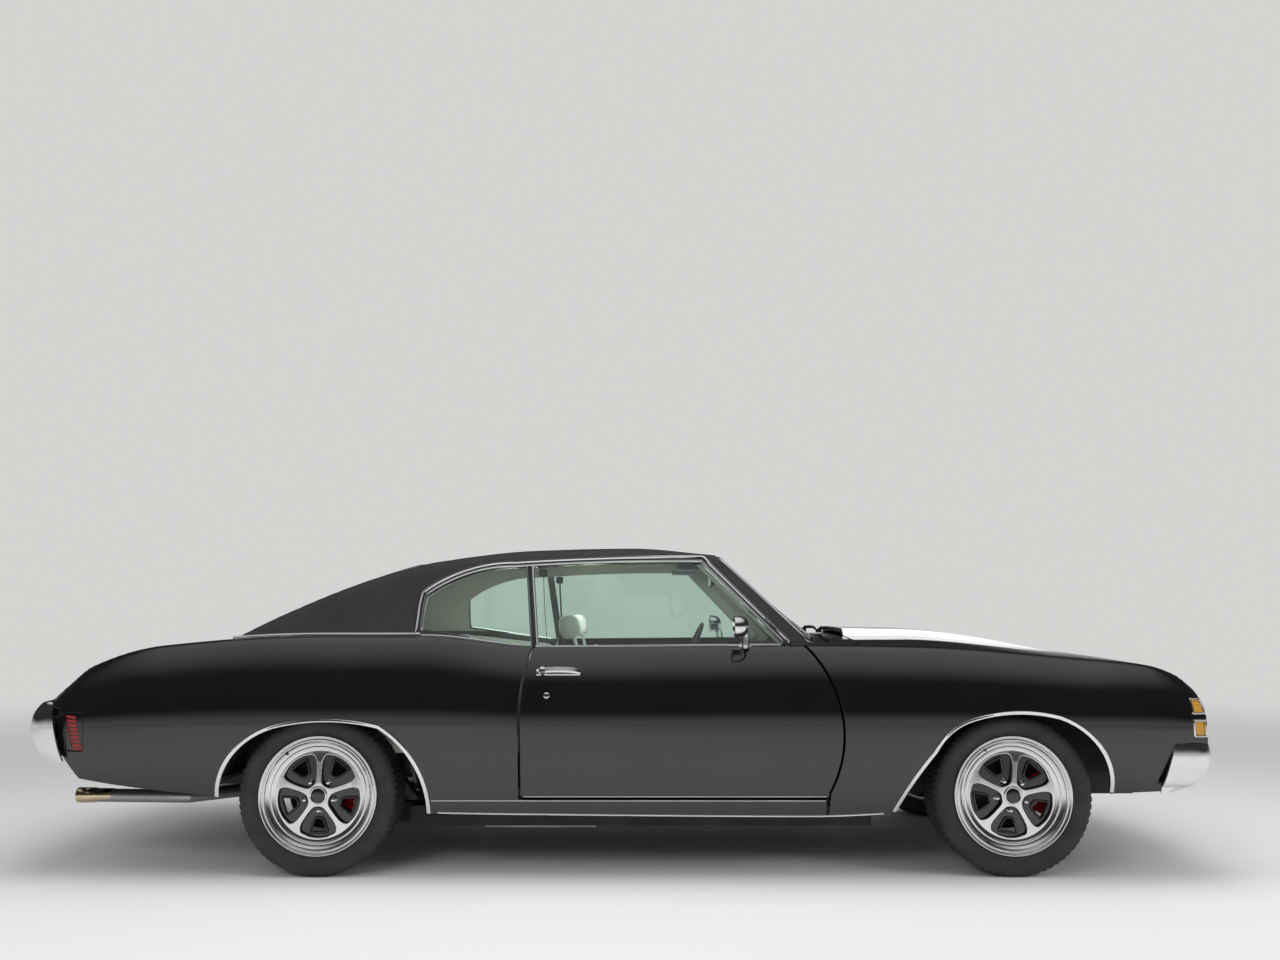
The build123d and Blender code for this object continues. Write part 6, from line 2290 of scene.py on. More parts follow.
    def cheeks(self) -> None:
        """Builds the painted faces between the frame and the fenders' front edges."""
        rows, columns = 14, 8
        heights = np.linspace(541, 729, rows)
        outer = BODY.points(BODY.at_height(np.stack([np.full(rows, 2396.0), heights], axis=1)))
        across = np.linspace(0, 1, columns)[None, :]
        y = 757 + (outer[:, 1:2] - 759) * across
        x = 2390 + (outer[:, :1] - 2390) * across**3
        front = np.stack([x, y, np.repeat(heights[:, None], columns, 1)], axis=-1).reshape(-1, 3)
        faces = grid_faces(rows, columns)
        cheek = Mesh()
        cheek.add(front, [f[::-1] for f in faces])
        cheek.add(front - (14, 0, 0), faces)
        cheek.both().build("nose_cheeks", self.paintbox("paint"), "body", "paint")

    def plates(self) -> None:
        """Builds a blank plate at the rear, with its holder."""
        made = Mesh()
        made.merge(rounded_box((-2506, -152, 500), (-2496, 152, 652), 5), finish=0)
        made.merge(rounded_box((-2507.5, -146, 506), (-2505.9, 146, 646), 0.7, 2), finish=1)
        made.build("plain_plate", self.paintbox("trim", "white_paint"), "body", "trim_black")

    def build(self) -> None:
        """Builds every lamp, the grille and the plate."""
        self.corner_lamps()
        self.markers()
        self.tail()
        self.headlamps()
        self.grille()
        self.cheeks()
        self.plates()


# ---------------------------------------------------------------- cabin
@dataclass(frozen=True)
class Pad:
    """One stuffed pad: where it lies, its size, how far it leans back and its sewn channels.

    Attributes:
        name: The piece's name.
        centre: Its middle.
        size: Its length, width and height before it swells.
        lean: Degrees that its top leans to the rear.
        channel: Spacing of the sewn channels; 0 for none.
        face: The direction that its channelled face looks, before it leans.
        voxel: Grid size of the swelling mesh.
        replaces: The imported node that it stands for.
    """

    name: str
    centre: tuple[float, float, float]
    size: tuple[float, float, float]
    lean: float = 0.0
    channel: float = 0.0
    face: tuple[float, float, float] = UP
    voxel: float = 8.0
    replaces: tuple[str, ...] = ()


@dataclass
class Upholstery:
    """Front bucket seats and the rear bench, stuffed and sewn.

    Attributes:
        swell: How far a pad's points may swell.
        pressure: Pressure of the stuffing.
        frames: How long it swells.
        groove: Depth of a sewn channel.
        puff: Rise of the stuffing between two channels.
        welt: Depth of the seam round a pad's face.
        stitch: Half width of the seams.
        front: The front seats' pads, of the left side.
        rear: The rear bench's pads.
    """

    paintbox: Paintbox
    swell: float = 14.0
    pressure: float = 4.0
    frames: int = 16
    quick_grid: float = 2.2
    groove: float = 7.0
    puff: float = 2.5
    welt: float = 6.0
    stitch: float = 4.5
    front: tuple[Pad, ...] = (
        Pad("seat_cushion", (172, 385, 455), (430, 412, 96), -3.0, 52.0, UP, 10.5,
            ("front_seats",)),
        Pad("seat_back", (-112, 385, 735), (84, 408, 372), 19.0, 52.0, AHEAD, 10.0),
        Pad("headrest", (-238, 385, 1006), (88, 236, 108), 12.0, 0.0, AHEAD, 8.0),
    )
    rear: tuple[Pad, ...] = (
        Pad("rear_cushion", (-662, 0, 478), (330, 1140, 84), -5.0, 57.0, UP, 13.0,
            ("rear_seat",)),
        Pad("rear_back", (-938, 0, 716), (80, 1130, 330), 29.0, 57.0, AHEAD, 13.0),
    )

    def base(self, pad: Pad) -> bpy.types.Object:
        """The pad's unswollen mesh, upright about the origin, in metres."""
        half = np.array(pad.size) / 2
        box = rounded_box(-half, half, min(pad.size) * 0.42, 4)
        points = np.concatenate(box.points)
        outer = np.array(pad.face) == 0
        share = np.abs(points[:, outer]) / half[outer]
        pull = 1 - 0.03 * (share[:, ::-1] < 0.6) * share
        points[:, outer] *= pull
        data = bpy.data.meshes.new(pad.name)
        data.from_pydata((points * MM).tolist(), [], box.faces)
        made = bpy.data.objects.new(pad.name, data)
        bpy.context.scene.collection.objects.link(made)
        return made

    @staticmethod
    def values(data: bpy.types.Mesh, what: str) -> Array:
        """A value of each point of a mesh, one row each."""
        flat = np.empty(len(data.vertices) * 3)
        data.vertices.foreach_get(what, flat)
        return flat.reshape(-1, 3)

    def gridded(self, made: bpy.types.Object, voxel: float) -> None:
        """Gives a pad an even mesh of a grid size."""
        remesh = made.modifiers.new("grid", "REMESH")
        remesh.mode, remesh.voxel_size = "VOXEL", voxel * MM
        self.applied(made)

    @staticmethod
    def applied(made: bpy.types.Object) -> None:
        """Turns an object's modifiers into its mesh."""
        graph = bpy.context.evaluated_depsgraph_get()
        data = bpy.data.meshes.new_from_object(made.evaluated_get(graph))
        made.modifiers.clear()
        made.data = data

    def swollen(self, made: bpy.types.Object, voxel: float) -> None:
        """Swells a pad with cloth pressure, each point by no more than the swell.

        Args:
            made: The pad.
            voxel: Grid size of its mesh.
        """
        self.gridded(made, voxel)
        start = self.values(made.data, "co")
        cloth = made.modifiers.new("stuffing", "CLOTH")
        cloth.settings.use_pressure = True
        cloth.settings.uniform_pressure_force = self.pressure
        cloth.settings.effector_weights.gravity = 0.0
        cloth.point_cache.frame_end = self.frames
        scene = bpy.context.scene
        for frame in range(1, self.frames + 1):
            scene.frame_set(frame)
        self.applied(made)
        end = self.values(made.data, "co")
        scene.frame_set(1)
        if len(end) != len(start):
            return
        move = end - start
        length = np.linalg.norm(move, axis=1, keepdims=True)
        move *= np.minimum(1.0, self.swell * MM / np.maximum(length, 1e-9))
        made.data.vertices.foreach_set("co", (start + move).ravel())

    def sewn(self, made: bpy.types.Object, pad: Pad) -> None:
        """Presses sewn channels into a pad's face and a welt round its edge.

        Args:
            made: The pad.
            pad: Its description.
        """
        data = made.data
        points, normals = self.values(data, "co") / MM, self.values(data, "normal")
        half = np.array(pad.size) / 2
        face = np.array(pad.face, float)
        along = 0 if face[2] else 2
        toward = np.clip((normals @ face - 0.55) / 0.3, 0, 1)
        middle = np.abs(points[:, 1]) < half[1] - 48
        middle &= np.abs(points[:, along]) < half[along] - 46
        gap = np.abs((points[:, 1] / pad.channel + 0.5) % 1 - 0.5) * pad.channel
        groove = self.groove * np.exp(-((gap / self.stitch) ** 2))
        groove -= self.puff * np.cos(gap / pad.channel * math.pi)
        depth = np.where(middle, groove, 0) * toward
        border = np.maximum(np.abs(points[:, 1]) - (half[1] - 46),
                            np.abs(points[:, along]) - (half[along] - 44))
        depth += self.welt * np.exp(-((border / self.stitch) ** 2)) * toward
        points -= depth[:, None] * normals
        data.vertices.foreach_set("co", (points * MM).ravel())

    def shaped(self, pad: Pad) -> bpy.types.Object:
        """A stuffed and sewn pad, upright about the origin."""
        made = self.base(pad)
        self.swollen(made, pad.voxel)
        smooth = made.modifiers.new("round", "SUBSURF")
        smooth.levels = smooth.render_levels = 1
        self.applied(made)
        if pad.channel:
            self.sewn(made, pad)
        return made

    def pad(self, pad: Pad, both_sides: bool) -> None:
        """Builds one pad, or one on each side.

        Args:
            pad: Its description.
            both_sides: Whether the car has one on each side.
        """
        made = self.shaped(pad)
        local = self.values(made.data, "co")
        angle = math.radians(-pad.lean)
        turn = np.array([[math.cos(angle), 0, math.sin(angle)], [0, 1, 0],
                         [-math.sin(angle), 0, math.cos(angle)]])
        for side in Side if both_sides else (None,):
            thing = made
            if side is Side.RIGHT:
                thing = made.copy()
                thing.data = made.data.copy()
                bpy.context.scene.collection.objects.link(thing)
            centre = np.array(pad.centre) * (1, -1 if side is Side.RIGHT else 1, 1)
            points = local @ turn.T + centre * MM
            thing.data.vertices.foreach_set("co", points.ravel())
            thing.data.update()
            thing.name = pad.name if side is None else f"{pad.name}_{side.label}"
            thing.data.polygons.foreach_set("use_smooth", [True] * len(thing.data.polygons))
            thing.data.materials.clear()
            thing.data.materials.append(self.paintbox.one("seat"))
            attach(thing, "body")
            if pad.replaces and side is not Side.RIGHT:
                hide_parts(*pad.replaces)
            LOG.info("%s: %d faces", thing.name, len(thing.data.polygons))

    def shells(self) -> None:
        """Builds the hard seat bases, back shells and headrest posts."""
        half = Mesh()
        half.merge(rounded_box((-105, 180, 266), (345, 590, 330), 12))
        half.merge(rounded_box((-120, 170, 330), (385, 600, 412), 26, 5))
        for y in (345, 425):
            half.merge(rod([(-196, y, 880), (-222, y, 975)], 6), finish=1)
        for y in (176, 594):
            half.merge(rounded_box((-150, y - 9, 400), (-60, y + 9, 560), 8), finish=1)
        made = half.both()
        made.merge(rounded_box((-825, -575, 396), (-505, 575, 440), 16))
        made.build("seat_bases", self.paintbox("dash_vinyl", "chrome"), "body", "seat_vinyl")

    def belts(self) -> None:
        """Builds the dark shoulder belts, drawn from the rail down past the headrests."""
        half = Mesh()
        path = smooth_path([(-346, 552, 1244), (-340, 556, 1120), (-328, 566, 960),
                            (-300, 588, 760), (-262, 612, 520), (-240, 628, 330)], 8)
        half.merge(sweep(path, (-1, 0.1, 0), [(22, 0), (22, 1.6), (-22, 1.6), (-22, 0)]))
        half.merge(rounded_box((-366, 540, 1226), (-328, 566, 1262), 8), finish=1)
        half.merge(rounded_box((-262, 616, 268), (-214, 646, 350), 8), finish=1)
        half.both().build("shoulder_belts", self.paintbox("belt", "trim"), "body", "carpet")

    def build(self) -> None:
        """Builds every seat."""
        for pad in self.front:
            self.pad(pad, True)
        for pad in self.rear:
            self.pad(pad, False)
        self.shells()
        self.belts()


@dataclass
class Cabin:
    """Dashboard, steering wheel, console, visors, mirror and trim panels."""

    paintbox: Paintbox
    wheel_at: tuple[float, float, float] = (330.0, 385.0, 850.0)
    tilt: float = 24.0
    wheel_radius: float = 174.0
    dash_y: float = 712.0
    marks: int = 11
    dials: tuple = ((285, 804, 50), (485, 804, 50), (385, 812, 30), (588, 806, 30),
                    (200, 806, 22))  # y, z, radius

    def dial(self, at_y: float, at_z: float, radius: float) -> Mesh:
        """A dial with its bezel, marks and needle.

        Args:
            at_y: Its middle's y.
            at_z: Its middle's height.
            radius: Outer radius of its bezel.

        Returns:
            The mesh.
        """
        rearward, at = (-1, 0, 0), (579, at_y, at_z)
        made = Mesh()
        made.merge(spun([(-6, radius), (3, radius), (5, radius - 3), (0, radius - 6)], at,
                        rearward, 40), finish=2)
        made.merge(spun([(0.2, radius - 5), (0.4, 0.01)], at, rearward, 40), finish=3)
        for k in range(self.marks):
            turned = math.radians(-40 + 26 * k)
            path = [(578.2, at_y + r * math.cos(turned), at_z + r * math.sin(turned))
                    for r in (radius - 14, radius - 8)]
            made.merge(rod(path, 0.9, 6), finish=4)
        needle = [(577.6, at_y, at_z), (577.6, at_y + radius * 0.4, at_z + radius * 0.5)]
        made.merge(rod(needle, 1.1, 6), finish=4)
        return made

    def dashboard(self) -> None:
        """Builds the dashboard with its padded top, dials and controls."""
        profile = rounded([(572, 893), (610, 906), (846, 912), (846, 702), (648, 644), (578, 716),
                           (596, 770), (600, 850), (570, 868)], 18)
        y = np.linspace(-self.dash_y, self.dash_y, 41)
        rows = [np.stack([profile[:, 0], np.full(len(profile), at), profile[:, 1]], axis=1)
                for at in y]
        made = Mesh()
        made.add(np.concatenate(rows), tube_faces(len(y), len(profile)))
        made.merge(rounded_box((578, 170, 742), (604, 640, 862), 8), finish=1)
        for at_y, at_z, radius in self.dials:
            made.merge(self.dial(at_y, at_z, radius))
        made.merge(rounded_box((580, -110, 760), (600, 110, 840), 6), finish=1)
        for at_y in (-70, 70):
            made.merge(spun([(0, 14), (20, 12), (22, 9), (22.4, 0.01)], (582, at_y, 800),
                            (-1, 0, 0), 24), finish=2)
        made.merge(rounded_box((583, -600, 735), (597, -180, 845), 6), finish=1)
        made.merge(rounded_box((578, -402, 742), (586, -378, 756), 4), finish=2)
        made.merge(rounded_box((576, -690, 866), (584, 690, 874), 3), finish=2)
        keys = ("dash_vinyl", "wood", "chrome", "dial", "white_paint")
        made.build("dash_pad", self.paintbox(*keys), "body", "trim_black", ["dashboard"])

    def column(self) -> None:
        """Builds the steering column with its stalk."""
        column = Mesh()
        axis = self.axis()
        start = np.array(self.wheel_at) - axis * 16
        column.merge(spun([(0, 0.01), (0, 24), (40, 27), (230, 27), (330, 22)], start, -axis, 32))
        stalk = start - axis * 40
        column.merge(rod([stalk, stalk + (12, 150, 40)], 5))
        column.build("steering_column", self.paintbox("trim"), "body", "trim_black")

    def axis(self) -> Array:
        """The steering column's direction, towards the driver."""
        angle = math.radians(self.tilt)
        return np.array([-math.cos(angle), 0.0, math.sin(angle)])

    def steering_wheel(self) -> None:
        """Builds the steering wheel with its three spokes and hub."""
        axis = self.axis()
        first = np.array([0.0, 1.0, 0.0])
        second = np.cross(first, axis)
        angles = np.linspace(0, 2 * math.pi, 97)[:-1]
        centre = np.array(self.wheel_at)
        circle = centre + self.wheel_radius * (np.cos(angles)[:, None] * first
                                               + np.sin(angles)[:, None] * second)
        made = Mesh()
        section = [(13 * math.cos(a), 10 * math.sin(a)) for a in angles[::8]]
        made.merge(sweep(circle, axis, section, closed=True))
        lowest = second if second[2] < 0 else -second
        for side, drop in ((1, 0.12), (-1, 0.12), (0, 1.0)):
            reach = first * side * (1 - drop if side else 0) + lowest * drop
            reach = unit(reach)
            path = [centre + reach * 30 - axis * 6, centre + reach * 100 - axis * 9,
                    centre + reach * (self.wheel_radius - 6)]
            blade = [(17, -2), (17, 2), (-17, 2), (-17, -2)]
            made.merge(sweep(dense(np.array(path), 12), axis, blade), finish=1)
            for hole in (75, 105, 132):
                made.merge(spun([(3.4, 8), (3.8, 7), (2.4, 6.5)], centre + reach * hole
                                - axis * 6, axis, 18), finish=0)
        hub = [(-9, 30), (-2, 46), (6, 46), (9, 40), (10.2, 20), (10.6, 0.01)]
        made.merge(spun(hub, centre, axis, 40))
        made.build("steering_rim", self.paintbox("trim", "steel"), "steering_wheel", "trim_black",
                   ["steering_wheel"])

    def visors(self) -> Mesh:
        """The sun visors on their rods."""
        made = Mesh()
        for side in (1, -1):
            made.merge(rod([(352, side * 70, 1282), (352, side * 470, 1272)], 4), finish=1)
            low_y, high_y = sorted((side * 60, side * 440))
            made.merge(rounded_box((246, low_y, 1266), (366, high_y, 1282), 9, 4))
        return made

    def inside_mirror(self) -> Mesh:
        """The inside mirror on its stem."""
        made = Mesh()
        made.merge(rounded_box((418, -118, 1196), (440, 118, 1256), 12, 4))
        made.merge(rounded_box((415.5, -112, 1201), (419, 112, 1251), 1.6), finish=2)
        made.merge(rod([(436, 0, 1240), (430, 0, 1292)], 6), finish=1)
        return made

    def console(self) -> Mesh:
        """The console with the gear lever and its boot."""
        made = Mesh()
        made.merge(rounded_box((-40, -92, 420), (540, 92, 470), 22, 5), finish=3)
        made.merge(rounded_box((-60, -96, 440), (120, 96, 548), 26, 5), finish=3)
        made.merge(spun([(0, 44), (8, 40), (14, 20), (16, 8)], (330, 0, 468), UP, 28), finish=0)
        made.merge(rod([(330, 0, 470), (300, 12, 640)], 6), finish=1)
        made.merge(spun([(-16, 12), (-8, 19), (4, 22), (16, 17), (22, 0.01)], (298, 13, 650),
                        (-0.17, 0.07, 0.98), 24), finish=0)
        return made

    def fittings(self) -> None:
        """Builds the visors, the inside mirror, the console and the gear lever."""
        made = Mesh()
        for part in (self.visors(), self.inside_mirror(), self.console()):
            made.merge(part)
        finishes = self.paintbox("trim", "chrome", "mirror_glass", "dash_vinyl")
        made.build("cabin_fittings", finishes, "body", "trim_black")

    def door_cards(self) -> None:
        """Builds the doors' inside panels with armrest, handle and window crank."""
        half = Mesh()
        loop = rounded([(-330, 345), (790, 345), (770, 640), (660, 896), (-338, 896)], 30)
        half.merge(Panel(FlatSide(765), [evened(loop, 30)], 6, 60, roll=2.5).mesh())
        half.merge(rounded_box((-60, 716, 610), (330, 767, 668), 20, 5))
        half.merge(rounded_box((-300, 759, 800), (640, 764, 806), 2), finish=1)
        half.merge(rounded_box((-300, 759, 560), (640, 764, 566), 2), finish=1)
        half.merge(rounded_box((-310, 757, 352), (740, 764, 470), 3), finish=2)
        half.merge(rod([(300, 762, 720), (300, 742, 720), (245, 738, 716)], 6), finish=1)
        half.merge(rod([(30, 762, 560), (30, 738, 560), (60, 735, 640)], 6), finish=1)
        half.merge(spun([(0, 13), (16, 12), (20, 8), (20.5, 0.01)], (60, 735, 640), (0, -1, 0),
                        20), finish=2)
        half.build_each("door_card", self.paintbox("seat", "chrome", "dash_vinyl"), "door",
                        "seat_vinyl")

    def side_trim(self) -> None:
        """Builds the light trim beside the rear seat and along the windshield pillars."""
        half = Mesh()
        loop = rounded([(-1000, 480), (-392, 480), (-392, 905), (-860, 955), (-1150, 950),
                        (-1150, 700)], 30)
        half.merge(Panel(FlatSide(700), [evened(loop, 30)], 8, 60, roll=2.5).mesh())
        x, z = np.linspace(708, 348, 24), np.linspace(WINDOWS.belt_z, 1292, 24)
        pillar = np.stack([x, WINDOWS.y(z) - 38, z], axis=1)
        half.merge(sweep(pillar, (0, -1, 0), bead(48, 9)))
        half.both().build("quarter_trim", self.paintbox("seat"), "body", "seat_vinyl")

    def build(self) -> None:
        """Builds the cabin."""
        self.dashboard()
        self.column()
        self.steering_wheel()
        self.fittings()
        self.door_cards()
        self.side_trim()


# ---------------------------------------------------------------- outside fittings
@dataclass
class Fittings:
    """Mirrors, door handles, locks, cowl panel, wipers and tail pipe tips."""

    paintbox: Paintbox
    mirror_at: tuple[float, float, float] = (500.0, 885.0, 1012.0)
    handle: tuple[float, float, float] = (-345.0, -166.0, 826.0)
    lock: tuple[float, float] = (-300.0, 733.0)

    def mirrors(self) -> None:
        """Builds the bright door mirrors."""
        count = 48
        outline = np.array(ring(1.0, count)) * (62, 46)

        def ovals(rows: Sequence[tuple[float, float]]) -> Array:
            """The outline at each step ahead of the mirror's middle, at each scale."""
            return np.concatenate([np.column_stack([np.full(count, step), outline * scale])
                                   for step, scale in rows]) + self.mirror_at

        shell = ((-31, 0.93), (-29, 0.98), (-22, 1.0), (-8, 0.985), (8, 0.9), (20, 0.74),
                 (28, 0.5), (32, 0.22), (33, 0.02))
        glass = ((-26, 0.02), (-27, 0.9), (-31, 0.93))
        half = Mesh()
        half.add(ovals(shell), grid_faces(len(shell), count, False, True))
        half.add(ovals(glass), grid_faces(len(glass), count, False, True), 1)
        neck = smooth_path([(512, 868, 985), (520, 850, 962), (522, 834, 940), (522, 824, 922)], 6)
        oval = [(9 * math.sin(a), 17 * math.cos(a)) for a in np.linspace(0, 2 * math.pi, 21)[:-1]]
        half.merge(sweep(neck, AHEAD, oval[::-1]))
        half.merge(spun([(-6, 30), (2, 29), (6, 22), (8, 10), (8.5, 0.01)], (522, 816, 921),
                        (0, 0.75, 0.66), 32))
        half.build_each("mirror_shell", self.paintbox("chrome", "mirror_glass"), "door", "chrome",
                        "mirror")

    def handles(self) -> None:
        """Builds the door handles with their buttons and key locks."""
        x0, x1, z = self.handle
        domain = BODY.at_height(np.array([(x0 + 26, z), (x1, z), self.lock]))
        points, normals = BODY.points(domain), BODY.normals(domain)
        half = Mesh()
        plate = BODY.at_height(dense([(x0, z), (x1, z)], 12))
        skin, up = BODY.points(plate), BODY.normals(plate)
        half.merge(sweep(skin - up, up, bead(30, 5)))
        share = np.linspace(0, 1, len(skin))
        rise = 20 * np.sin(np.pi * np.clip(share * 1.06 - 0.03, 0, 1)) ** 0.45
        grip = skin + rise[:, None] * up + np.array([0, 0, 1.5])
        half.merge(sweep(grip[1:], up[1:], [(11, -3), (12, 1), (7, 5), (-7, 5), (-12, 1),
                                            (-11, -3)]))
        half.merge(spun([(0, 15), (22, 14.5), (27, 12), (28.5, 6), (29, 0.01)], points[0],
                        normals[0], 28))
        half.merge(spun([(-1, 13), (4, 12.5), (6, 10), (4.5, 7), (5, 0.01)], points[2],
                        normals[2], 28))
        slot_at = points[2] + 5.2 * normals[2]
        half.merge(rounded_box(slot_at - (1.2, 1, 4), slot_at + (1.2, 0.6, 4), 0.5, 2), finish=1)
        half.build_each("door_handle", self.paintbox("chrome", "rubber"), "door", "chrome")

    def cowl(self) -> None:
        """Builds the slotted panel behind the hood, and the wipers on it."""
        loop = rounded([(846, -700), (999, -700), (999, 700), (846, 700)], 12)
        slots = [rounded([(942, y - 26), (980, y - 26), (980, y + 26), (942, y + 26)], 8)
                 for y in np.arange(-600, 601, 75)]
        raised = Offset(DECK, -2.0)
        made = Panel(raised, [evened(loop, 30), *slots], 6, 30, roll=1.5).mesh()
        for foot_y, end_y in ((420, -60), (-130, -600)):
            arm = smooth_path([(930, foot_y, 988), (936, foot_y - 60, 1004),
                               (932, foot_y - 230, 1006)], 8)
            made.merge(sweep(arm, UP, [(7, -3), (7, 3), (-7, 3), (-7, -3)]), finish=1)
            made.merge(spun([(0, 16), (14, 14), (17, 9), (18, 0.01)], (930, foot_y, 978),
                            UP, 24), finish=1)
            blade = smooth_path([(930, foot_y - 20, 1000), (938, (foot_y + end_y) / 2, 1004),
                                 (922, end_y, 997)], 12)
            made.merge(sweep(blade, (-0.5, 0, 0.8), [(4, -9), (5, 2), (-5, 2), (-4, -9)]),
                       finish=1)
        made.build("cowl_panel", self.paintbox("paint", "rubber"), "body", "paint")

    def tips(self) -> None:
        """Builds the stepped tail pipe tips."""
        made = Mesh()
        tip = [(0, 28.6), (70, 28.8), (74, 31.5), (148, 32.5), (152, 31), (150, 28), (90, 25)]
        for sign in (1, -1):
            made.merge(spun(tip, (-2184, sign * 600, 290), (-1, 0, 0), 48))
        made.build("tail_pipe_tips", self.paintbox("brass"), "body", "steel")

    def build(self) -> None:
        """Builds every outside fitting."""
        self.mirrors()
        self.handles()
        self.cowl()
        self.tips()


# ---------------------------------------------------------------- under the lids
@dataclass
class UnderLids:
    """The engine, the radiator and the trunk's side pans."""

    paintbox: Paintbox
    engine_x: float = 1400.0
    bank: float = 45.0
    blades: int = 6
    trunk_z: float = 411.0

    def leaned(self, source: Mesh, angle: float, at: Sequence[float]) -> Mesh:
        """A mesh turned about the X axis and moved.

        Args:
            source: The mesh about its own middle.
            angle: Degrees; positive leans its top to the right.
            at: Where its middle goes.

        Returns:
            The new mesh.
        """
        cos, sin = math.cos(math.radians(angle)), math.sin(math.radians(angle))
        turn = np.array([[1, 0, 0], [0, cos, sin], [0, -sin, cos]])
        made = Mesh()
        made.merge(source)
        made.points = [points @ turn + np.asarray(at, float) for points in made.points]
        made.normals = [normals @ turn for normals in made.normals]
        return made

    def castings(self) -> Mesh:
        """Sump, block, intake and bell housing."""
        x = self.engine_x
        made = Mesh()
        made.merge(rounded_box((x - 250, -115, 272), (x + 190, 115, 410), 28, 4))
        made.merge(rounded_box((x - 290, -180, 390), (x + 270, 180, 560), 26, 4))
        made.merge(rounded_box((x - 240, -120, 540), (x + 220, 120, 668), 24, 4))
        made.merge(spun([(-95, 0.01), (-95, 150), (0, 175), (6, 175)], (x - 290, 0, 450), AHEAD,
                        36))
        return made

    def cylinder_bank(self, sign: int) -> Mesh:
        """A head with its bright cover and its exhaust manifold.

        Args:
            sign: 1 for the left bank, -1 for the right.

        Returns:
            The mesh.
        """
        x = self.engine_x
        head = rounded_box((-265, -60, -55), (255, 60, 55), 14)
        cover = rounded_box((-255, -52, 0), (245, 52, 62), 24, 5)
        made = Mesh()
        for source, reach, finish in ((head, 185, 0), (cover, 236, 1)):
            across = reach * math.sin(math.radians(self.bank)) * sign
            up = 455 + reach * math.cos(math.radians(self.bank))
            made.merge(self.leaned(source, -self.bank * sign, (x, across, up)), finish=finish)
        for k in range(4):
            port = x - 200 + 133 * k
            path = smooth_path([(port, sign * 205, 520), (port, sign * 252, 505),
                                (x - 40 + 0.3 * (port - x), sign * 262, 440)], 6)
            made.merge(rod(path, 19, 14), finish=2)
        log = smooth_path([(x + 150, sign * 262, 470), (x - 60, sign * 265, 440),
                           (x - 130, sign * 255, 380), (x - 160, sign * 235, 290)], 8)
        made.merge(rod(log, 24, 16), finish=2)
        return made

    def fan(self) -> Mesh:
        """The crank pulley and the fan above it."""
        made = Mesh()
        made.merge(spun([(0, 0.01), (0, 95), (14, 95), (18, 80), (26, 80), (30, 95), (44, 95),
                         (46, 30), (70, 28), (72, 0.01)], (self.engine_x + 268, 0, 470), AHEAD,
                        40))
        blade = rounded_box((-2, 40, -26), (2, 185, 26), 1.5, 2)
        for k in range(self.blades):
            made.merge(self.leaned(blade, 360 // self.blades * k,
                                   (self.engine_x + 312, 0, 560)))
        made.merge(spun([(-40, 36), (6, 44), (10, 44), (12, 0.01)], (self.engine_x + 306, 0, 560),
                        AHEAD, 28))
        return made

    def engine(self) -> None:
        """Builds the engine with its covers, air cleaner, manifolds and fan."""
        made = self.castings()
        for sign in (1, -1):
            made.merge(self.cylinder_bank(sign))
        made.merge(spun([(0, 0.01), (0, 62), (72, 62), (74, 176), (80, 182), (128, 182),
                         (134, 178), (138, 150), (140, 24), (152, 20), (154, 0.01)],
                        (self.engine_x + 10, 0, 668), UP, 72), finish=1)
        made.merge(self.fan(), finish=3)
        made.build("engine_dress", self.paintbox("engine", "chrome", "iron", "trim"), "body",
                   "axle_iron", ["engine"])

    def radiator(self) -> None:
        """Builds the radiator with its tanks and cap."""
        made = Mesh()
        made.merge(rounded_box((1966, -330, 380), (2004, 330, 700), 4))
        for low, high in ((340, 392), (688, 752)):
            made.merge(rounded_box((1956, -345, low), (2014, 345, high), 18, 4))
        for y in np.arange(-322, 323, 23):
            made.merge(rounded_box((1962, y - 2, 392), (1967, y + 2, 690), 1.2, 2))
        made.merge(spun([(0, 26), (12, 26), (14, 20), (15, 0.01)], (1985, 120, 750), UP,
                        24), finish=1)
        hose = smooth_path([(1985, -200, 745), (1930, -190, 770), (1820, -90, 700),
                            (self.engine_x + 200, -40, 655)], 12)
        made.merge(rod(hose, 21, 16), finish=2)
        made.build("radiator", self.paintbox("chassis", "chrome", "rubber"), "body",
                   "chassis_black")

    def trunk(self) -> None:
        """Builds the pans between the trunk's floor, the quarters and the tail panel."""
        rows, columns = 30, 21
        x = np.linspace(-1606, -2214, rows)
        edge = BODY.at_height(np.stack([x, np.full(rows, self.trunk_z)], axis=1))
        reach = BODY.points(edge)[:, 1] - 7
        share = np.linspace(-1, 1, columns)
        top = np.stack([np.repeat(x[:, None], columns, 1), reach[:, None] * share[None],
                        np.full((rows, columns), self.trunk_z)], axis=-1).reshape(-1, 3)
        faces = grid_faces(rows, columns)
        made = Mesh()
        made.add(top, faces)
        made.add(top - (0, 0, 5), [f[::-1] for f in faces])
        made.build("trunk_pans", self.paintbox("underseal"), "body", "chassis_black")

    def build(self) -> None:
        """Builds everything that shows under the hood and the deck lid."""
        self.engine()
        self.radiator()
        self.trunk()


# ---------------------------------------------------------------- studio
@dataclass(frozen=True)
class SoftBox:
    """An area lamp: where it hangs, where it points, its size and power (metres, watts)."""

    name: str
    at: tuple[float, float, float]
    target: tuple[float, float, float]
    size: tuple[float, float]
    power: float


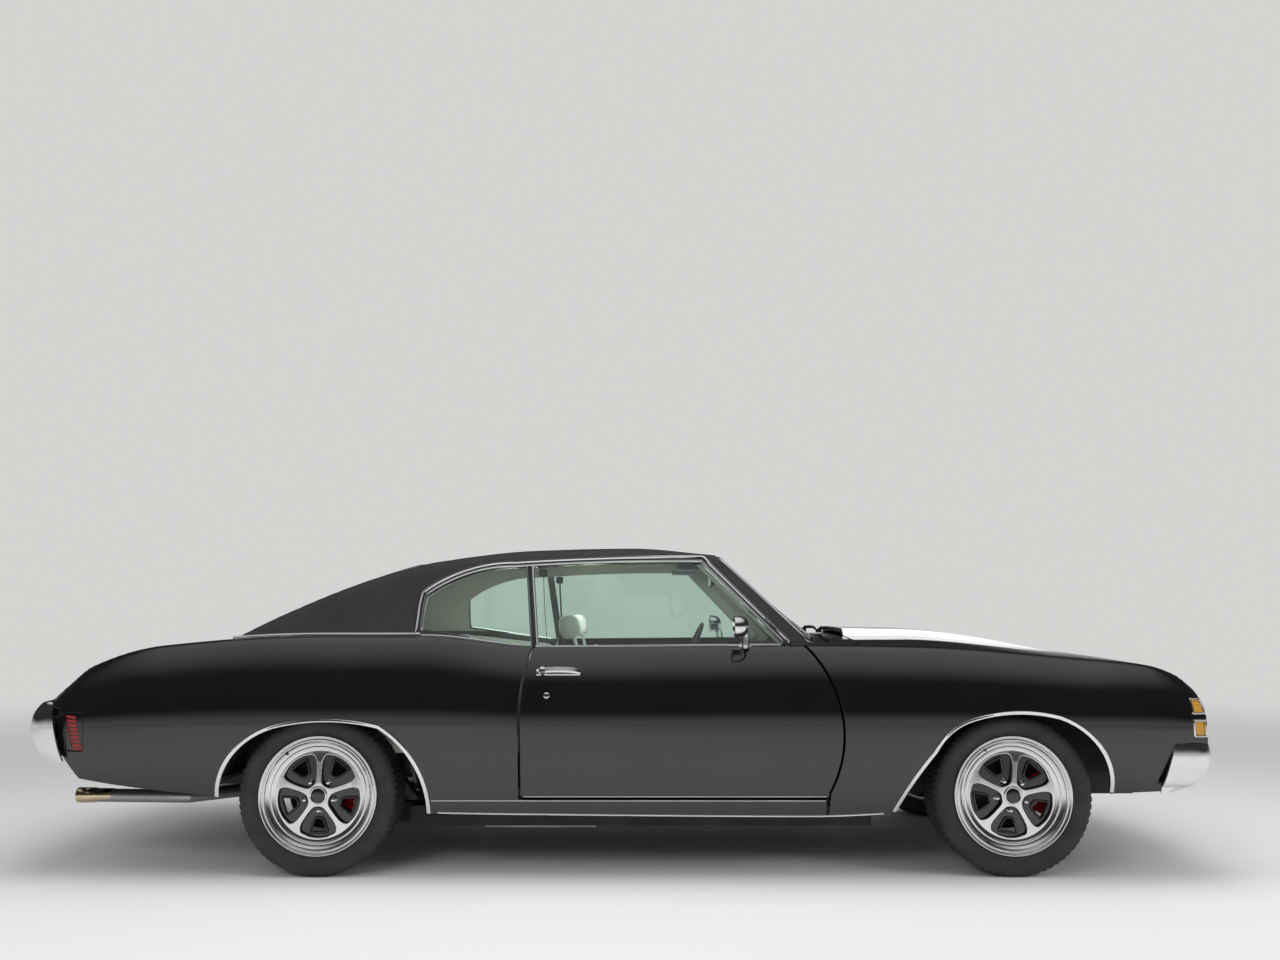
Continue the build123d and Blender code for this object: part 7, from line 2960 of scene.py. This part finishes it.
@dataclass
class Studio:
    """Camera, pale floor, plain bright background and soft lamps.

    Attributes:
        lens: Focal length in millimetres.
        camera_at: Where the camera stands, in metres.
        pitch: Degrees that it looks up.
        background: What the camera sees behind the car.
        ceiling: What the car's sides mirror above the horizon.
        ceiling_at: Heights of the direction between which the ceiling takes over.
        glow: What the car's top mirrors.
        glow_at: Heights of the direction between which the glow takes over.
        fill: Light that comes from everywhere.
        floor_reach: Half the floor's width in metres.
        floor_tones: Its darkest and palest tone.
        floor_fade: Distances between which it fades away.
        boxes: The lamps.
    """

    lens: float = 34.31
    camera_at: tuple[float, float, float] = (0.081, -5.968, 1.056)
    pitch: float = 6.35
    background: Colour = (0.66, 0.655, 0.64)
    ceiling: Colour = (0.03, 0.03, 0.03)
    ceiling_at: tuple[float, float] = (-0.12, 0.16)
    glow: Colour = (0.75, 0.75, 0.75)
    glow_at: tuple[float, float] = (0.62, 0.98)
    fill: Colour = (0.62, 0.62, 0.62)
    floor_reach: float = 60.0
    floor_tones: tuple[float, float] = (0.60, 0.66)
    floor_fade: tuple[float, float] = (3.6, 13.0)
    boxes: tuple[SoftBox, ...] = (
        SoftBox("overhead", (0.3, -0.6, 4.6), (0.0, 0.0, 0.5), (6.0, 2.6), 200.0),
        SoftBox("near_side", (-2.6, -6.4, 3.4), (0.0, 0.0, 0.6), (3.2, 1.6), 120.0),
        SoftBox("nose_side", (5.4, -3.6, 2.8), (1.6, 0.0, 0.6), (2.2, 1.4), 90.0),
        SoftBox("cabin", (-0.15, 0.0, 1.24), (-0.15, 0.0, 0.4), (0.8, 0.7), 6.0),
    )

    def camera(self) -> None:
        """Sets the camera."""
        data = bpy.data.cameras.new("view")
        data.lens, data.sensor_width = self.lens, 36.0
        data.clip_end = 200.0
        made = bpy.data.objects.new("view", data)
        made.location = self.camera_at
        made.rotation_euler = (math.radians(90 + self.pitch), 0.0, 0.0)
        bpy.context.scene.collection.objects.link(made)
        bpy.context.scene.camera = made

    def lamps(self) -> None:
        """Hangs the soft boxes."""
        for box in self.boxes:
            data = bpy.data.lights.new(box.name, "AREA")
            data.shape, data.size, data.size_y = "RECTANGLE", *box.size
            data.energy = box.power
            made = bpy.data.objects.new(box.name, data)
            made.location = box.at
            made.rotation_euler = (Vector(box.target) - Vector(box.at)).to_track_quat(
                "-Z", "Y").to_euler()
            made.visible_glossy = made.visible_camera = made.visible_transmission = False
            bpy.context.scene.collection.objects.link(made)

    def world(self) -> None:
        """A pale backdrop and a plain fill, with a dark ceiling that glows at its middle."""
        world = bpy.data.worlds.new("backdrop")
        world.use_nodes = True
        bpy.context.scene.world = world
        tree = TreeBuilder(world.node_tree)
        paths = tree.node("ShaderNodeLightPath").outputs
        seen = tree.math("MAXIMUM", paths["Is Camera Ray"], paths["Is Transmission Ray"])
        split = tree.node("ShaderNodeSeparateXYZ")
        tree.link(tree.node("ShaderNodeTexCoord").outputs["Generated"], split.inputs["Vector"])
        mirrored = self.background
        for (low, high), tone in ((self.ceiling_at, self.ceiling), (self.glow_at, self.glow)):
            height = tree.ramp(split.outputs["Z"], low, high, smooth=True)
            mirrored = tree.mix(height, mirrored, tone)
        colour = tree.mix(paths["Is Glossy Ray"], self.fill, mirrored)
        colour = tree.mix(seen, colour, self.background)
        tree.link(colour, tree.nodes["Background"].inputs["Color"])

    def floor(self) -> None:
        """Lays a pale floor that fades into the backdrop."""
        data = bpy.data.meshes.new("floor")
        far = self.floor_reach
        data.from_pydata([(-far, -far, 0), (far, -far, 0), (far, far, 0), (-far, far, 0)], [],
                         [(0, 1, 2, 3)])
        made = bpy.data.objects.new("floor", data)
        bpy.context.scene.collection.objects.link(made)
        material = bpy.data.materials.new("pale_floor")
        material.use_nodes = True
        tree = TreeBuilder(material.node_tree)
        shader = tree.nodes["Principled BSDF"]
        noise = tree.node("ShaderNodeTexNoise")
        noise.inputs["Scale"].default_value = 1.2
        tone = tree.ramp(noise.outputs["Fac"], 0.0, 1.0, *self.floor_tones)
        tree.link(tone, shader.inputs["Base Color"])
        shader.inputs["Roughness"].default_value = 0.7
        shader.inputs["Specular IOR Level"].default_value = 0.2
        length = tree.node("ShaderNodeVectorMath", operation="LENGTH")
        tree.link(tree.node("ShaderNodeNewGeometry").outputs["Position"], length.inputs[0])
        fade = tree.ramp(length.outputs["Value"], *self.floor_fade, smooth=True)
        mix = tree.node("ShaderNodeMixShader")
        tree.link(fade, mix.inputs["Fac"])
        tree.link(shader.outputs["BSDF"], mix.inputs[1])
        tree.link(tree.node("ShaderNodeBsdfTransparent").outputs["BSDF"], mix.inputs[2])
        tree.link(mix.outputs["Shader"], tree.nodes["Material Output"].inputs["Surface"])
        data.materials.append(material)

    def build(self) -> None:
        """Sets the whole studio."""
        scene = bpy.context.scene
        scene.view_settings.view_transform = "Standard"
        self.camera()
        self.lamps()
        self.world()
        self.floor()


@dataclass(frozen=True)
class Dressing:
    """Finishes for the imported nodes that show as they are."""

    paintbox: Paintbox
    finishes: tuple[tuple[str, str], ...] = (
        ("cowl", "trim"), ("frame", "chassis"), ("floor_pan", "carpet"), ("tunnel", "carpet"),
        ("rear_floor", "carpet"), ("inner_fenders", "underseal"),
        ("driveline", "iron"), ("rear_axle", "iron"), ("fuel_tank", "steel"),
        ("exhaust", "steel"), ("tail_pipes", "steel"), ("suspension", "chassis"),
        ("knuckle_left", "iron"), ("knuckle_right", "iron"), ("tie_rod", "steel"),
        ("grille", "trim"), ("headlamps", "trim"), ("door_hinges", "steel"),
    )

    def build(self, nodes: dict[str, bpy.types.Object]) -> None:
        """Gives each carried-over node its material.

        Args:
            nodes: The frame's nodes.
        """
        for name, key in self.finishes:
            made = nodes[name]
            if not made.data.materials:
                made.data.materials.append(self.paintbox.one(key))
            for slot in made.material_slots:
                slot.material = self.paintbox.one(key)


def main() -> None:
    """Dresses the car over its frame and sets the studio round it."""
    logging.basicConfig(level=logging.INFO, format="%(message)s")
    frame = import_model()
    paintbox = Paintbox()
    Studio().build()
    Dressing(paintbox).build(frame["nodes"])
    BodyPanels(paintbox).build()
    Greenhouse(paintbox).build()
    Wheels(paintbox).build()
    Bumper(paintbox, "front_bumper", 1, FRONT_BUMPER).build()
    Bumper(paintbox, "rear_bumper", -1, REAR_BUMPER).build()
    Lamps(paintbox).build()
    Fittings(paintbox).build()
    UnderLids(paintbox).build()
    Cabin(paintbox).build()
    Upholstery(paintbox).build()


if __name__ == "__main__":
    main()
